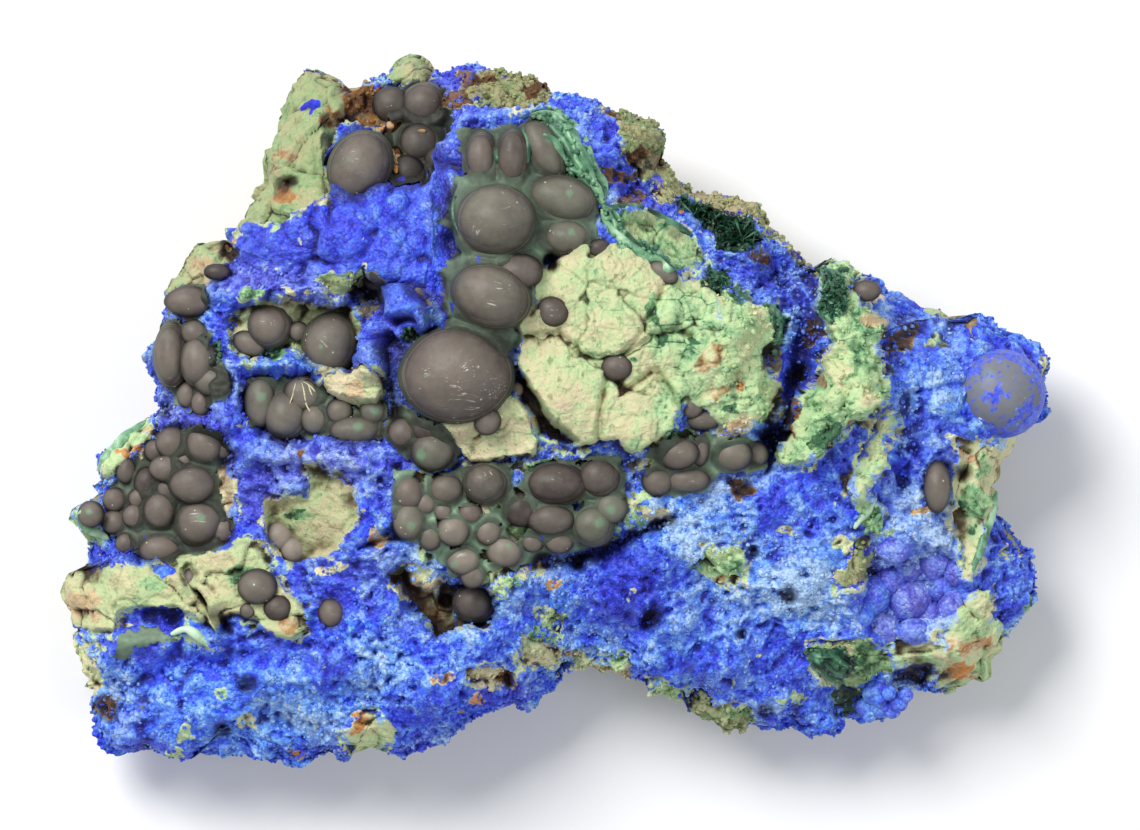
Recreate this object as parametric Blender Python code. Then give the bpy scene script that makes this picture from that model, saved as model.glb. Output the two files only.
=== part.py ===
"""Azurite specimen: a rock whose display face is covered with azurite crust, cream and green slabs,
malachite folds and clusters of small balls. It lies on its flat back with the display face up.

One closed body. The display face is a height over the ground; its edge rounds over into a rough wall
that draws in to the flat back. Lengths in the lists are in millimetres."""

import math

import bpy
import numpy as np

MM = 0.001
LENGTH = 125.4 * MM  # along X
WIDTH = 89.9 * MM  # along Y
HEIGHT = 40.5 * MM  # to the crown of the highest ball
BALL_SINK = (0.12, 0.3)  # how far every ball is sunk: a share of its radius, and millimetres
SHOULDER = 7.0  # how far in from the edge the face starts to round over
RIM_SHARE = 0.56  # height of the widest line, as a share of the face's height there
WALL_ROUGH = 0.8  # lumps on the wall
FACE_LUMPS = 0.9  # nodular swelling of the crust
GRID = 240  # points across the face before it is thinned
WALL_RINGS = 26
TRIANGLES = 9400

CENTRE = (-0.6, 1.0)  # every point of the outline can be seen from here

# The widest line of the rock seen from above, clockwise from the top-left knob.
OUTLINE = [
    (-31.5, 43.2), (-28.5, 42.4), (-26.5, 41.2), (-25.8, 40.3), (-24.3, 41.3), (-21.2, 42.6),
    (-19.5, 44.5), (-18.2, 44.9), (-16, 43.7), (-14.5, 42.8), (-12.5, 43.5), (-7.8, 42.9),
    (-3.8, 41.4), (0.2, 39.3), (4.8, 38.6), (8.5, 37.9), (12.3, 36.8), (14.3, 34.5),
    (13.3, 31.4), (15.3, 30.1), (17.7, 28.1), (22, 27.4), (26, 26.3), (28, 22.3),
    (29.9, 21), (32.4, 16.8), (34.7, 18.7), (37.3, 18.2), (41.2, 15.7), (42.5, 13.3),
    (46.5, 12.1), (50.5, 10.9), (53.7, 12.3), (55.7, 11.2), (57, 9.7), (60.5, 8.2),
    (62.7, 5.2), (61.8, -0.4), (58.5, -4.3), (56, -10), (56.3, -13.3), (59.7, -17),
    (61, -18.5), (60.8, -24), (59.8, -26.3), (57, -29.5), (55.4, -31.3), (55.2, -34),
    (51.8, -36), (48.3, -36.4), (44.2, -35.5), (44.7, -37.5), (41.5, -39.3), (36.2, -38.5),
    (36.6, -40.3), (34, -41.4), (30, -40), (25.4, -40.6), (21.7, -41.4), (18, -39.3),
    (16.2, -36.5), (13.7, -36.1), (10, -33.9), (6.5, -33.2), (1, -32.5), (0.2, -34.2),
    (-3.5, -37.9), (-5.3, -36.9), (-9.5, -38.4), (-14, -41), (-19.8, -43.3), (-25.7, -43.5),
    (-28.2, -44.1), (-32.5, -44.9), (-34.8, -44), (-37.5, -44.9), (-45.3, -43.6), (-48.3, -45),
    (-51.5, -43.4), (-56.8, -43.3), (-58.5, -41), (-59, -35.8), (-60.5, -32), (-61.5, -25.8),
    (-62.7, -23), (-62, -21), (-59, -19), (-59.3, -16.6), (-61.8, -13.8), (-58.8, -10.8),
    (-57.8, -6), (-54.3, -2.7), (-50.7, 0.2), (-51, 4.3), (-52.1, 5.5), (-50.5, 9.8),
    (-49, 13.5), (-49, 15.2), (-46, 20.3), (-45.3, 21.1), (-42, 21.5), (-40.8, 20),
    (-40.6, 23), (-38.5, 27.2), (-36.9, 28.7), (-37, 33), (-34.5, 38.7),
]

# Height of the face over the ground: x, y, z.
LEVELS = [
    (-12, 4, 33), (-8, 14, 34), (-7, 23, 33), (-5, 31, 31), (1, 22, 32), (-10, 38, 27), (0, 35, 29),
    (-33, 22, 31), (-27, 20, 33), (-20, 22, 33), (-35, 15, 30), (-24, 27, 31), (-30, 32, 27),
    (-32, 39, 23), (-19, 35, 26), (-18, 42, 22), (-46, 14, 23), (-48, 5, 21), (-43, 8, 24),
    (-38, 8, 27), (-30, 9, 28), (-35, 0, 25), (-25, 0, 28), (-20, 2, 29), (-45, -8, 22),
    (-50, -14, 19), (-57, -13, 16), (-54, -5, 17), (-40, -21, 22), (-52, -22, 18), (-60, -24, 14),
    (-35, -32, 22), (-45, -36, 18), (-55, -38, 14), (-55, -31, 17), (-25, -30, 24), (-25, -38, 19),
    (-15, -32, 23), (-35, -42, 15), (-22, -12, 28), (-12, -12, 28), (-5, -8, 29), (0, -12, 28),
    (8, -10, 28), (-8, -20, 26), (-10, -25, 23), (0, 3, 33), (4, 15, 33), (10, 12, 33),
    (10, -1, 32), (20, 8, 31), (24, 0, 29), (5, 30, 30), (14, 25, 28), (22, 20, 27),
    (30, 8, 25), (31, 2, 24), (28, -5, 24), (11, 34, 26), (20, 27, 23), (30, 19, 22),
    (37, 10, 27), (36, 2, 28), (33, -4, 26), (45, 4, 24), (48, 10, 19), (56, 2, 20),
    (60, 6, 17), (40, -7, 24), (45, -12, 22), (52, -14, 20), (57, -18, 16), (45, -24, 19),
    (50, -30, 18), (56, -26, 16), (38, -20, 22), (35, -30, 19), (42, -33, 16), (40, -38, 12),
    (50, -35, 13), (15, -15, 27), (25, -10, 26), (30, -18, 24), (15, -25, 24), (5, -22, 26),
    (20, -30, 21), (10, -30, 20), (25, -36, 17), (32, -39, 14), (20, -39, 15), (2, -30, 21),
    (-3, -35, 18),
]

# Slabs that stand proud (+) and pockets that lie deeper (-): offset, softness of the edge, outline.
PATCHES = {
    "cream slab": (1.6, 0.7, [
        (-4.8, 5.5), (-3, 13), (-2.5, 17), (1, 19), (3, 20.5), (8, 20.5), (15, 16.3), (20, 14.5),
        (27.5, 13), (28, 10.5), (26, 7), (28, 3), (27, -1.8), (21.5, -3.3), (17, 0.5), (14.5, -2.5),
        (10, -5.5), (7.5, -3.3), (3, -4), (-2, 1.5)]),
    "raised plate": (1.3, 0.5, [
        (-4.8, 5.5), (-3, 8.8), (0, 9), (2.5, 6), (6, 4), (7, 2), (5, -2.5), (3, -4), (-2, 1.5)]),
    "slab under the great ball": (1.2, 0.6, [
        (-14.5, -1.5), (-8, 0), (-6, 1.7), (-4.3, 0.7), (-2.3, -3.5), (-3, -5.5), (-10.5, -6.5),
        (-13, -3.5)]),
    "dark gap": (-4.5, 0.6, [
        (-5.5, 4), (-4.5, 4.5), (0, -1), (3, -3.5), (1.5, -4.2), (-2, -3), (-2.5, -1), (-4, 0.8)]),
    "green slab": (4.0, 0.6, [
        (33, 17.5), (34.7, 18.7), (37.5, 18), (38, 14), (41, 11.5), (40.8, 8), (41.8, 4.5),
        (41.8, 1.5), (38, -1.3), (34.5, -4.5), (33, -6.3), (28.5, -7.3), (27.8, -6), (30, -1),
        (30.5, 1.5), (33.5, 4.5), (35, 8.5), (32.7, 12)]),
    "left ledge": (2.2, 0.8, [
        (-62.5, -23), (-62, -21.5), (-59, -20), (-50, -19.8), (-44, -18), (-38, -16.7),
        (-36.3, -18.5), (-33.5, -23), (-30.7, -26), (-31.2, -28), (-36, -28), (-38, -26.5),
        (-43, -27.5), (-48, -25), (-55, -25.5), (-56, -28), (-61.4, -27.5)]),
    "corner block": (2.2, 0.8, [
        (6, 37.7), (9, 37.8), (12.3, 36.8), (14.3, 34.5), (13.3, 31.4), (12.5, 29), (10.5, 30),
        (8, 33), (7, 36.5)]),
    "needle cavity": (-4.5, 0.8, [
        (15, 26.5), (18, 25.5), (24.5, 23.3), (25.8, 21), (24, 20.2), (21.5, 20.3), (19.5, 22),
        (17.5, 24)]),
    "tan pocket": (-3.5, 1.0, [
        (-31.5, -7), (-27.5, -8.5), (-24.8, -11), (-24.8, -14.5), (-28, -17.5), (-33, -19.7),
        (-36.2, -16.3), (-36.3, -12), (-31.5, -11)]),
    "left ball pocket": (-2.6, 1.2, [
        (-50, -2.5), (-46, -2), (-41, -3.5), (-40.5, -10), (-40.5, -17), (-46, -18), (-53, -19.5),
        (-57, -16), (-57, -10), (-53.5, -6)]),
    "chain pocket": (-2.8, 1.0, [
        (-39, 5), (-36, 5), (-31, 4.5), (-27, 1.5), (-21, 1), (-21.5, -4.5), (-28, -3.8),
        (-33, -4), (-37, -3), (-39.5, 0)]),
    "middle ball pocket": (-2.8, 1.0, [
        (-41, 11), (-39, 13.5), (-26, 12.8), (-24.3, 8), (-25.5, 4.8), (-33, 8), (-38, 6),
        (-40.5, 7)]),
    "top ball pocket": (-3.2, 1.2, [
        (-28.5, 34), (-26, 39), (-20, 41), (-14, 40.5), (-13, 36), (-13, 29), (-17, 27.5),
        (-22, 28), (-25, 26), (-28, 28)]),
    "rust hollow": (-3.0, 0.8, [(-24.5, -17.5), (-19, -16.5), (-20, -14.2), (-22, -15.5)]),
    "big hole": (-5.0, 1.0, [
        (-20.5, -21), (-19, -20.2), (-15, -22.5), (-13, -22), (-7.5, -23), (-7.5, -27),
        (-12, -27.5), (-15, -28.5), (-18.5, -24.3)]),
    "purple recess": (-3.2, 1.5, [
        (39, -20.5), (46, -17.5), (50, -19), (51, -24), (47, -27), (42, -29.5), (38.5, -26)]),
    "black cavity": (-4.0, 0.7, [(42.5, -33), (47.5, -32.7), (47, -35), (43, -34.7)]),
    "peach ledge": (1.2, 0.9, [
        (49, -29.8), (50, -27.5), (53, -23), (55.5, -23), (57, -28), (55, -34), (50, -35.5),
        (47.5, -32)]),
    "bottom chunk": (1.6, 0.8, [
        (-27.5, -40.7), (-24.2, -38.2), (-21, -38.3), (-20.5, -42), (-24, -43), (-26.5, -42)]),
}

# Ridges (+) and furrows (-): height, half width, course.
COURSES = {
    "channel": (-3.6, 2.4, [
        (8, 29), (12, 25.5), (17, 21.5), (22, 18), (28, 16), (31, 12), (31, 6), (29.3, 0),
        (27.5, -5)]),
    "malachite fold": (1.5, 1.3, [
        (-2.5, 36.8), (1, 35), (2.5, 32.5), (4.5, 28.5), (6, 26), (8, 25), (13, 24), (17, 20.5)]),
    "shell by the top ball": (1.2, 0.9, [(-12.5, 26.5), (-12.8, 22), (-10.5, 18.8), (-6, 18.6)]),
    "great shell": (1.0, 1.0, [
        (-19.8, 6.5), (-19.5, 2), (-16.5, -1.8), (-12, -2.6), (-7, -1)]),
    "blue cup": (2.0, 1.3, [
        (-23.5, 13), (-19, 13.8), (-16.5, 11.5), (-19.8, 9.5), (-22.5, 7), (-23.3, 5)]),
    "dark channel": (-3.0, 1.0, [(-20.8, 8), (-20.5, 4), (-20, -1)]),
    "brown hollow": (-3.5, 1.6, [(-24, 14.3), (-21.5, 13.8), (-19.8, 15.5)]),
    "crevice": (-3.2, 1.3, [(-2, -19), (3, -18.8), (7, -17), (13, -14.5)]),
    "pocket wall a": (1.6, 1.0, [(-40, -4.5), (-33, -6.3), (-26, -5.8), (-21, -8)]),
    "pocket wall b": (1.5, 1.0, [(-44, 14), (-37, 15), (-30, 14.8)]),
    "pocket wall c": (1.3, 1.0, [(-42, 1.5), (-40.8, -2), (-42.5, -2.8), (-48, -0.5)]),
    "ledge crack": (-2.8, 0.6, [(-46, -20), (-45, -22.5), (-43, -25.5), (-41, -27.5)]),
    "slab crack": (-2.2, 0.6, [(-3.5, 9.2), (0.5, 9.3), (3.5, 6.6), (8, 6.6)]),
    "second slab crack": (-2.0, 0.6, [(8, 6.6), (12, 9), (15, 10), (17, 9)]),
    "third slab crack": (-2.0, 0.6, [(6.5, 4.2), (9, 2.2), (12.5, 5), (15.5, 0.5)]),
    "white crest": (1.4, 0.7, [(-48, -28.3), (-46, -27.5), (-43, -30.3)]),
    "pale ridge": (2.0, 1.3, [(41.5, -1.5), (40.5, -6), (38, -10.3)]),
    "right furrow": (-2.4, 1.6, [(44.5, 1), (45, -4), (43.5, -9)]),
    "matrix furrow": (-2.0, 1.5, [(52, -4.5), (51, -10), (51, -16)]),
    "matrix ridge": (1.5, 1.0, [(56, -10), (54.5, -15), (52, -21.5)]),
    "mint rim": (1.0, 0.8, [(-51, -1.2), (-54.5, -3.8), (-57.2, -8)]),
    "lower valley": (-2.0, 3.0, [(0.5, -33), (1, -28), (-3, -24)]),
    "lower left valley": (-1.6, 2.2, [(-58, -34), (-52, -34), (-44, -32), (-38, -31)]),
    "olive lens": (1.6, 1.6, [(-54.5, -29.3), (-48.5, -29.3)]),
    "dark trench": (-1.8, 1.3, [(39.3, -16.5), (40.5, -22)]),
}

# Balls: x, y, radius along, radius across, turn in degrees, height of the centre over the face.
BALLS = [
    (-12.3, 4.3, 7.0, 6.0, 0, 0.8), (-8, 14.1, 5.0, 3.9, -20, 1.2), (-4.5, 17, 2.9, 2.2, 0, 0.9),
    (-7.4, 23.5, 4.9, 4.4, 0, 1.4), (1.4, 21.4, 3.1, 2.3, 0, 0.9), (0.8, 26.2, 4.4, 2.9, -15, 1.0),
    (-9.3, 31.5, 1.9, 3.1, 0, 1.0), (-5, 31.4, 1.9, 3.0, 0, 1.2), (-1.5, 32, 2.0, 3.7, 30, 0.9),
    (-14.8, 12.8, 1.5, 1.5, 0, 0.5), (-8.4, -1.5, 1.6, 1.6, 0, 0.6), (-19, -3, 1.8, 1.8, 0, 0.4),
    (-16, -2.3, 2.0, 2.0, 0, -0.6), (-0.3, 12.1, 2.0, 1.7, 0, 0.8), (7.7, 5.2, 1.8, 1.8, 0, 0.8),
    (13.5, 17, 1.8, 1.0, -35, 0.8), (18.3, -1.3, 2.2, 1.2, 0, 0.6), (17, 0.3, 1.4, 1.4, 0, 0.5),
    (-24.5, 30.8, 3.7, 4.7, -25, 1.2), (-17, 33.3, 2.5, 2.5, 0, 1.0), (-16.5, 38.3, 2.8, 2.8, 0, 1.0),
    (-18.5, 29.5, 2.2, 2.2, 0, 0.3), (-14.5, 31, 2.0, 2.0, 0, 0.3), (-46, 13.5, 2.8, 1.8, 0, 0.8),
    (-42.3, 17.2, 1.5, 0.9, 0, 0.2), (-48.3, 6.8, 2.2, 4.0, 0, 0.8), (-44.8, 6, 2.3, 3.2, 0, 0.9),
    (-42.8, 3.5, 2.3, 1.8, 0, 0.6), (-45.3, 9.6, 1.5, 1.5, 0, 0.5), (-35.8, 10.5, 2.7, 2.8, 0, 1.2),
    (-38.3, 8.2, 2.0, 1.4, 0, 0.8), (-28.2, 8.3, 3.5, 3.7, 0, 1.6), (-37, 1, 1.9, 3.2, 0, 1.2),
    (-33.8, -0.7, 2.9, 3.1, 0, 1.4), (-31.5, 2, 2.4, 2.2, 0, 1.2), (-30, -1.3, 1.8, 1.8, 0, 1.0),
    (-27, -0.3, 1.5, 1.5, 0, 0.9), (-25, -2.7, 3.2, 1.8, 0, 0.9), (-22.7, -0.3, 1.7, 1.7, 0, 0.7),
    (-48.3, -4.3, 1.9, 1.9, 0, 0.8), (-44, -4.4, 2.3, 2.3, 0, 1.0), (-49, -7.5, 2.0, 1.6, 0, 0.8),
    (-45.6, -9.5, 2.8, 2.3, 0, 1.2), (-49.8, -12.8, 2.0, 2.2, 0, 1.0), (-44.7, -14.3, 3.1, 3.1, 0, 1.3),
    (-49.7, -17.8, 2.7, 1.9, 0, 0.9), (-53.2, -13.5, 1.4, 1.4, 0, 0.7), (-55.7, -11.5, 1.4, 1.4, 0, 0.6),
    (-55.8, -14.3, 1.4, 1.4, 0, 0.6), (-58.6, -13.3, 1.5, 1.5, 0, 0.4), (-41.8, -15.3, 1.5, 1.5, 0, 0.6),
    (-37.3, -22.3, 2.3, 2.1, 0, 0.9), (-34.8, -24.9, 1.6, 1.5, 0, 0.5), (-34.9, -16.2, 1.7, 1.7, 0, 1.2),
    (-32.8, -18, 1.5, 1.5, 0, 1.2), (-15.3, -5.2, 2.7, 2.4, 0, 1.0), (-8.7, -9.2, 2.9, 2.6, 0, 1.3),
    (-13.6, -10, 2.1, 1.8, 0, 0.9), (-18.3, -10.5, 1.8, 2.0, 0, 0.8), (-18.3, -14, 1.9, 2.2, 0, 0.8),
    (-12.7, -15.2, 1.9, 1.8, 0, 0.8), (-8.3, -15.3, 1.6, 1.6, 0, 0.7), (-6.3, -17.7, 2.2, 2.0, 0, 0.9),
    (-11.5, -18.8, 2.0, 1.8, 0, 0.8), (-10.3, -20.8, 1.5, 1.5, 0, 0.6), (-10.2, -24.3, 2.8, 2.5, 0, 2.6),
    (0.1, -9.2, 3.9, 2.7, 0, 1.3), (-0.5, -13.8, 2.9, 1.9, 0, 1.0), (-4.3, -12.5, 2.1, 2.1, 0, 0.3),
    (5.5, -8.5, 2.7, 2.6, 0, 1.1), (0.5, -16.5, 1.7, 1.4, 0, 0.6), (4.7, -14.5, 2.6, 2.6, 0, 1.0),
    (7, -12.3, 2.0, 2.0, 0, 0.7), (15.3, -5.5, 2.5, 2.0, 0, 0.9), (18, -5, 1.2, 2.0, 0, 0.7),
    (12.8, -9, 1.8, 1.7, 0, 0.7), (16.5, -8.8, 2.8, 1.6, 0, 0.8), (22.2, -5.7, 2.3, 2.0, 0, 0.9),
    (25, -5.7, 1.6, 1.6, 0, 0.6), (56, 2, 5.4, 5.4, 0, -1.2), (48, -9.8, 1.6, 3.0, 0, 0.8),
    (44.8, -24, 2.4, 2.4, 0, 1.4), (41.2, -27.3, 2.2, 2.2, 0, 1.2), (40, -23.5, 1.8, 1.8, 0, 1.2),
    (48, -19.5, 2.0, 2.0, 0, 1.0), (48.7, -22.5, 1.5, 1.5, 0, 0.9), (40.5, -35.8, 1.6, 1.6, 0, 0.9),
    (41.3, -37.6, 1.4, 1.4, 0, 1.0), (18.5, -19.5, 1.5, 1.5, 0, 0.5), (21, -20.5, 1.6, 1.6, 0, 0.5),
    (-18.3, 42.7, 2.9, 2.2, 0, 0.4), (-37, 23.2, 1.6, 1.6, 0, 0.4),
]

# Pits: x, y, radius, depth.
PITS = [
    (-34, 27.5, 1.4, 2.5), (12.3, -26, 1.8, 3.0), (27, -3, 1.6, 3.0), (-0.5, 18.2, 1.2, 3.5),
    (29.3, -23.3, 1.1, 2.0), (23.5, -9.8, 1.2, 1.5), (-38.7, -34.7, 1.2, 2.0), (-42, -40.5, 1.2, 1.6),
    (-57, -38, 1.6, 2.0), (30.5, 4, 1.8, 1.6), (26.5, -38, 1.2, 1.6), (49, -8, 1.3, 1.6),
]

# Broken faces of the wall: bearing in degrees, how far in the face meets the ground, how far it leans
# out for each millimetre up.
BREAKS = [
    (-2, 6, 0.5), (14, 4, 0.35), (33, 8, 0.9), (52, 5, 0.5), (71, 9, 0.8), (88, 5, 0.4),
    (106, 8, 0.7), (121, 4, 0.45), (139, 10, 0.9), (158, 6, 0.6), (176, 9, 0.8), (194, 5, 0.5),
    (208, 8, 0.7), (222, 4, 0.4), (240, 9, 0.8), (257, 6, 0.5), (272, 9, 0.9), (291, 5, 0.5),
    (308, 8, 0.7), (325, 5, 0.5), (343, 9, 0.8),
]


def sawn(value):
    """A smooth step from 0 to 1."""
    value = np.clip(value, 0, 1)
    return value * value * (3 - 2 * value)


def lattice(cells, seed):
    """A repeatable number from 0 to 1 for every whole cell."""
    i, j, k = (c.astype(np.int64) for c in cells)
    mixed = (i * 73856093) ^ (j * 19349663) ^ (k * 83492791) ^ (seed * 2654435761)
    mixed = (mixed ^ (mixed >> 13)) * 1274126177
    return ((mixed ^ (mixed >> 16)) & 0xFFFFF) / float(0xFFFFF)


def swell(x, y, z, size, seed):
    """Smooth noise from -1 to 1 whose lumps are `size` across."""
    grid = [np.floor(c / size) for c in (x, y, z)]
    part = [c / size - g for c, g in zip((x, y, z), grid)]
    ease = [p * p * (3 - 2 * p) for p in part]
    total = np.zeros_like(x)
    for corner in range(8):
        step = [(corner >> axis) & 1 for axis in range(3)]
        weight = np.ones_like(x)
        for e, s in zip(ease, step):
            weight = weight * (e if s else 1 - e)
        total += weight * lattice([g + s for g, s in zip(grid, step)], seed)
    return total * 2 - 1


def nodules(x, y, size, seed):
    """Rounded lumps about `size` across: 1 on a lump's crown, 0 in the furrows between lumps."""
    i, j = np.floor(x / size), np.floor(y / size)
    nearest = np.full(x.shape, 9.0)
    for across in (-1, 0, 1):
        for along in (-1, 0, 1):
            cell = (i + across, j + along, np.zeros_like(i))
            px = (cell[0] + 0.15 + 0.7 * lattice(cell, seed)) * size
            py = (cell[1] + 0.15 + 0.7 * lattice(cell, seed + 7)) * size
            nearest = np.minimum(nearest, np.hypot(x - px, y - py) / size)
    return np.clip(1 - nearest * nearest * 1.6, 0, 1)


def distance(x, y, course):
    """Shortest way from each point to a line through the points of a course."""
    best = np.full(x.shape, 1e9)
    for (ax, ay), (bx, by) in zip(course[:-1], course[1:]):
        dx, dy = bx - ax, by - ay
        share = np.clip(((x - ax) * dx + (y - ay) * dy) / (dx * dx + dy * dy), 0, 1)
        best = np.minimum(best, np.hypot(x - ax - share * dx, y - ay - share * dy))
    return best


def inside(x, y, outline):
    """True where a point lies within a closed outline."""
    odd = np.zeros(x.shape, bool)
    for (ax, ay), (bx, by) in zip(outline, outline[1:] + outline[:1]):
        if ay == by:
            continue
        crosses = (ay > y) != (by > y)
        odd ^= crosses & (x < ax + (y - ay) / (by - ay) * (bx - ax))
    return odd


def depth_in(x, y, outline):
    """Way to an outline's edge: positive within it, negative outside."""
    way = distance(x, y, outline + outline[:1])
    return np.where(inside(x, y, outline), way, -way)


def macro(x, y):
    """The face's broad height, carried smoothly through the levels."""
    total = np.zeros_like(x)
    weights = np.zeros_like(x)
    for lx, ly, lz in LEVELS:
        weight = 1 / ((x - lx) ** 2 + (y - ly) ** 2 + 6.0) ** 2
        total += weight * lz
        weights += weight
    return total / weights


def ground_height(x, y):
    """The face without its balls: broad height, slabs, pockets, ridges, furrows and pits."""
    z = macro(x, y)
    for offset, soft, outline in PATCHES.values():
        z += offset * sawn(depth_in(x, y, outline) / (2 * soft) + 0.5)
    for height, half, course in COURSES.values():
        z += height * np.exp(-((distance(x, y, course) / half) ** 2))
    for px, py, radius, deep in PITS:
        z -= deep * np.exp(-((np.hypot(x - px, y - py) / radius) ** 4))
    return z


def face_height(x, y):
    """Height of the display face: the ground with nodular swellings and the balls."""
    z = ground_height(x, y)
    crust = nodules(x, y, 7.0, 3) * 0.9 + nodules(x, y, 4.0, 11) * 0.5
    z += FACE_LUMPS * (crust - 0.55) + 0.7 * swell(x, y, z * 0, 9.0, 5)
    for bx, by, along, across, turn, lift in BALLS:
        c, s = math.cos(math.radians(turn)), math.sin(math.radians(turn))
        u = ((x - bx) * c + (y - by) * s) / along
        v = ((y - by) * c - (x - bx) * s) / across
        q = np.hypot(u, v)
        near = q < 1.6
        if not near.any():
            continue
        tall = 0.5 * (along + across)
        seat = float(ground_height(np.array([bx, 0.0]), np.array([by, 0.0]))[0])
        floor = z - 0.9 * np.exp(-(((q - 1.05) / 0.3) ** 2)) * np.where(q < 1.6, 1, 0)
        crown = seat + lift - BALL_SINK[0] * tall - BALL_SINK[1] + tall * np.sqrt(np.clip(1 - q * q, 0, 1))
        z = np.where(near, np.where(q < 1, np.maximum(floor, crown), floor), z)
    return z


def radius_at(angle, outline):
    """Outermost crossing of the outline with the ray at each angle from the centre."""
    dx, dy = np.cos(angle), np.sin(angle)
    reach = np.zeros_like(angle)
    for (ax, ay), (bx, by) in zip(outline, outline[1:] + outline[:1]):
        ax, ay, bx, by = ax - CENTRE[0], ay - CENTRE[1], bx - CENTRE[0], by - CENTRE[1]
        ex, ey = bx - ax, by - ay
        cross = dx * ey - dy * ex
        cross = np.where(np.abs(cross) < 1e-9, 1e-9, cross)
        way = (ax * ey - ay * ex) / cross
        share = (ax * dy - ay * dx) / cross
        hit = (way > 0) & (share >= -1e-6) & (share <= 1 + 1e-6)
        reach = np.maximum(reach, np.where(hit, way, 0))
    return reach


def disc_from_square(a, b):
    """Carry the square -1..1 onto the unit disc in rings: returns the ring's radius and its angle."""
    ring = np.maximum(np.abs(a), np.abs(b))
    safe = np.where(ring == 0, 1, ring)
    turn = np.select(
        [(a >= np.abs(b)) & (ring > 0), (b >= np.abs(a)) & (ring > 0), (-a >= np.abs(b)) & (ring > 0)],
        [b / safe, 2 - a / safe, 4 - b / safe],
        6 + a / safe,
    )
    return ring, turn * math.pi / 4


def eased_reach(angle):
    """The outline's reach averaged over a few degrees to either side, without its notches."""
    turns = np.radians(np.arange(-7, 8))
    return sum(radius_at(angle + turn, OUTLINE) for turn in turns) / len(turns)


def broken_wall(turn, z, where):
    """Reach of the wall at each bearing and height once its broken faces have cut it back."""
    ux, uy = np.cos(turn), np.sin(turn)
    for bearing, inset, lean in BREAKS:
        angles = np.radians(np.array([bearing - 6.0, float(bearing), bearing + 6.0]))
        reach = eased_reach(angles)
        px, py = reach * np.cos(angles), reach * np.sin(angles)
        nx, ny = py[2] - py[0], px[0] - px[2]
        size = math.hypot(nx, ny)
        nx, ny = nx / size, ny / size
        facing = nx * ux + ny * uy
        aside = np.abs(np.angle(np.exp(1j * (turn - angles[1]))))
        limit = (nx * px[1] + ny * py[1] - inset + lean * z) / np.maximum(facing, 0.35)
        limit += 45 * np.clip(aside - 0.2, 0, None)
        where = np.where(facing > 0.35, np.minimum(where, limit), where)
    return where


def rim_height(x, y):
    """Height of the widest line of the rock."""
    return RIM_SHARE * macro(x, y) + 2.4 * swell(x, y, x * 0, 13.0, 21)


def shaped_points():
    """Points and faces of the closed body: face grid, wall rings and one point for the flat back."""
    n = GRID
    steps = np.linspace(-1, 1, n)
    a, b = np.meshgrid(steps, steps, indexing="ij")
    ring, angle = disc_from_square(a.ravel(), b.ravel())
    spread = np.sin(ring * math.pi / 2) * 0.35 + ring * 0.65
    reach, eased = radius_at(angle, OUTLINE), eased_reach(angle)
    near_edge = spread**4
    where = eased + (reach - eased) * near_edge
    rim_z = rim_height(CENTRE[0] + reach * np.cos(angle), CENTRE[1] + reach * np.sin(angle))
    x = CENTRE[0] + spread * where * np.cos(angle)
    y = CENTRE[1] + spread * where * np.sin(angle)
    way = distance(x, y, OUTLINE + OUTLINE[:1])
    rounded = np.sqrt(np.clip(1 - (1 - np.clip(way / SHOULDER, 0, 1)) ** 2, 0, 1))
    rounded = np.where(ring > 0.9999, 0, rounded)
    z = rim_z + (face_height(x, y) - rim_z) * rounded
    points = [np.stack([x, y, z], 1)]
    index = np.arange(n * n).reshape(n, n)
    quads = [np.stack([index[:-1, :-1], index[1:, :-1], index[1:, 1:], index[:-1, 1:]], -1).reshape(-1, 4)]

    edge = np.concatenate([index[:-1, 0], index[-1, :-1], index[:0:-1, -1], index[0, :0:-1]])
    top = points[0][edge]
    out = top[:, :2] - np.array(CENTRE)
    reach = np.hypot(out[:, 0], out[:, 1])
    turn = np.arctan2(out[:, 1], out[:, 0])
    eased = eased_reach(turn)
    start = n * n
    previous = edge
    for level in range(1, WALL_RINGS + 1):
        down = level / WALL_RINGS
        z = top[:, 2] * (1 - down)
        upper = reach + (eased - reach) * sawn(down / 0.6)
        where = reach + (broken_wall(turn, z, upper) - reach) * sawn(down / 0.25)
        x = CENTRE[0] + out[:, 0] / reach * where
        y = CENTRE[1] + out[:, 1] / reach * where
        fade = math.sin(math.pi * min(down, 0.999)) ** 0.7
        rough = 1.5 * swell(x, y, z, 13.0, 35) + swell(x, y, z, 6.0, 31) + 0.6 * swell(x, y, z, 3.2, 33)
        push = WALL_ROUGH * fade * (rough - 0.9)
        x += out[:, 0] / reach * push
        y += out[:, 1] / reach * push
        points.append(np.stack([x, y, z], 1))
        current = start + np.arange(len(edge))
        start += len(edge)
        ahead, after = np.roll(previous, -1), np.roll(current, -1)
        quads.append(np.stack([previous, current, after, ahead], 1))
        previous = current
    points.append(np.array([[CENTRE[0], CENTRE[1], 0.0]]))
    fan = np.stack([previous, np.full(len(edge), start), np.roll(previous, -1)], 1)
    return np.concatenate(points), np.concatenate(quads).tolist() + fan.tolist()


def clear_scene():
    for item in list(bpy.data.objects):
        bpy.data.objects.remove(item, do_unlink=True)


def crust_material():
    """Velvety azurite blue, the colour that most of the rock shows."""
    material = bpy.data.materials.new("azurite")
    material.use_nodes = True
    shader = material.node_tree.nodes["Principled BSDF"]
    shader.inputs["Base Color"].default_value = (0.05, 0.10, 0.62, 1)
    shader.inputs["Roughness"].default_value = 0.75
    shader.inputs["Metallic"].default_value = 0.0
    return material


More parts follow.
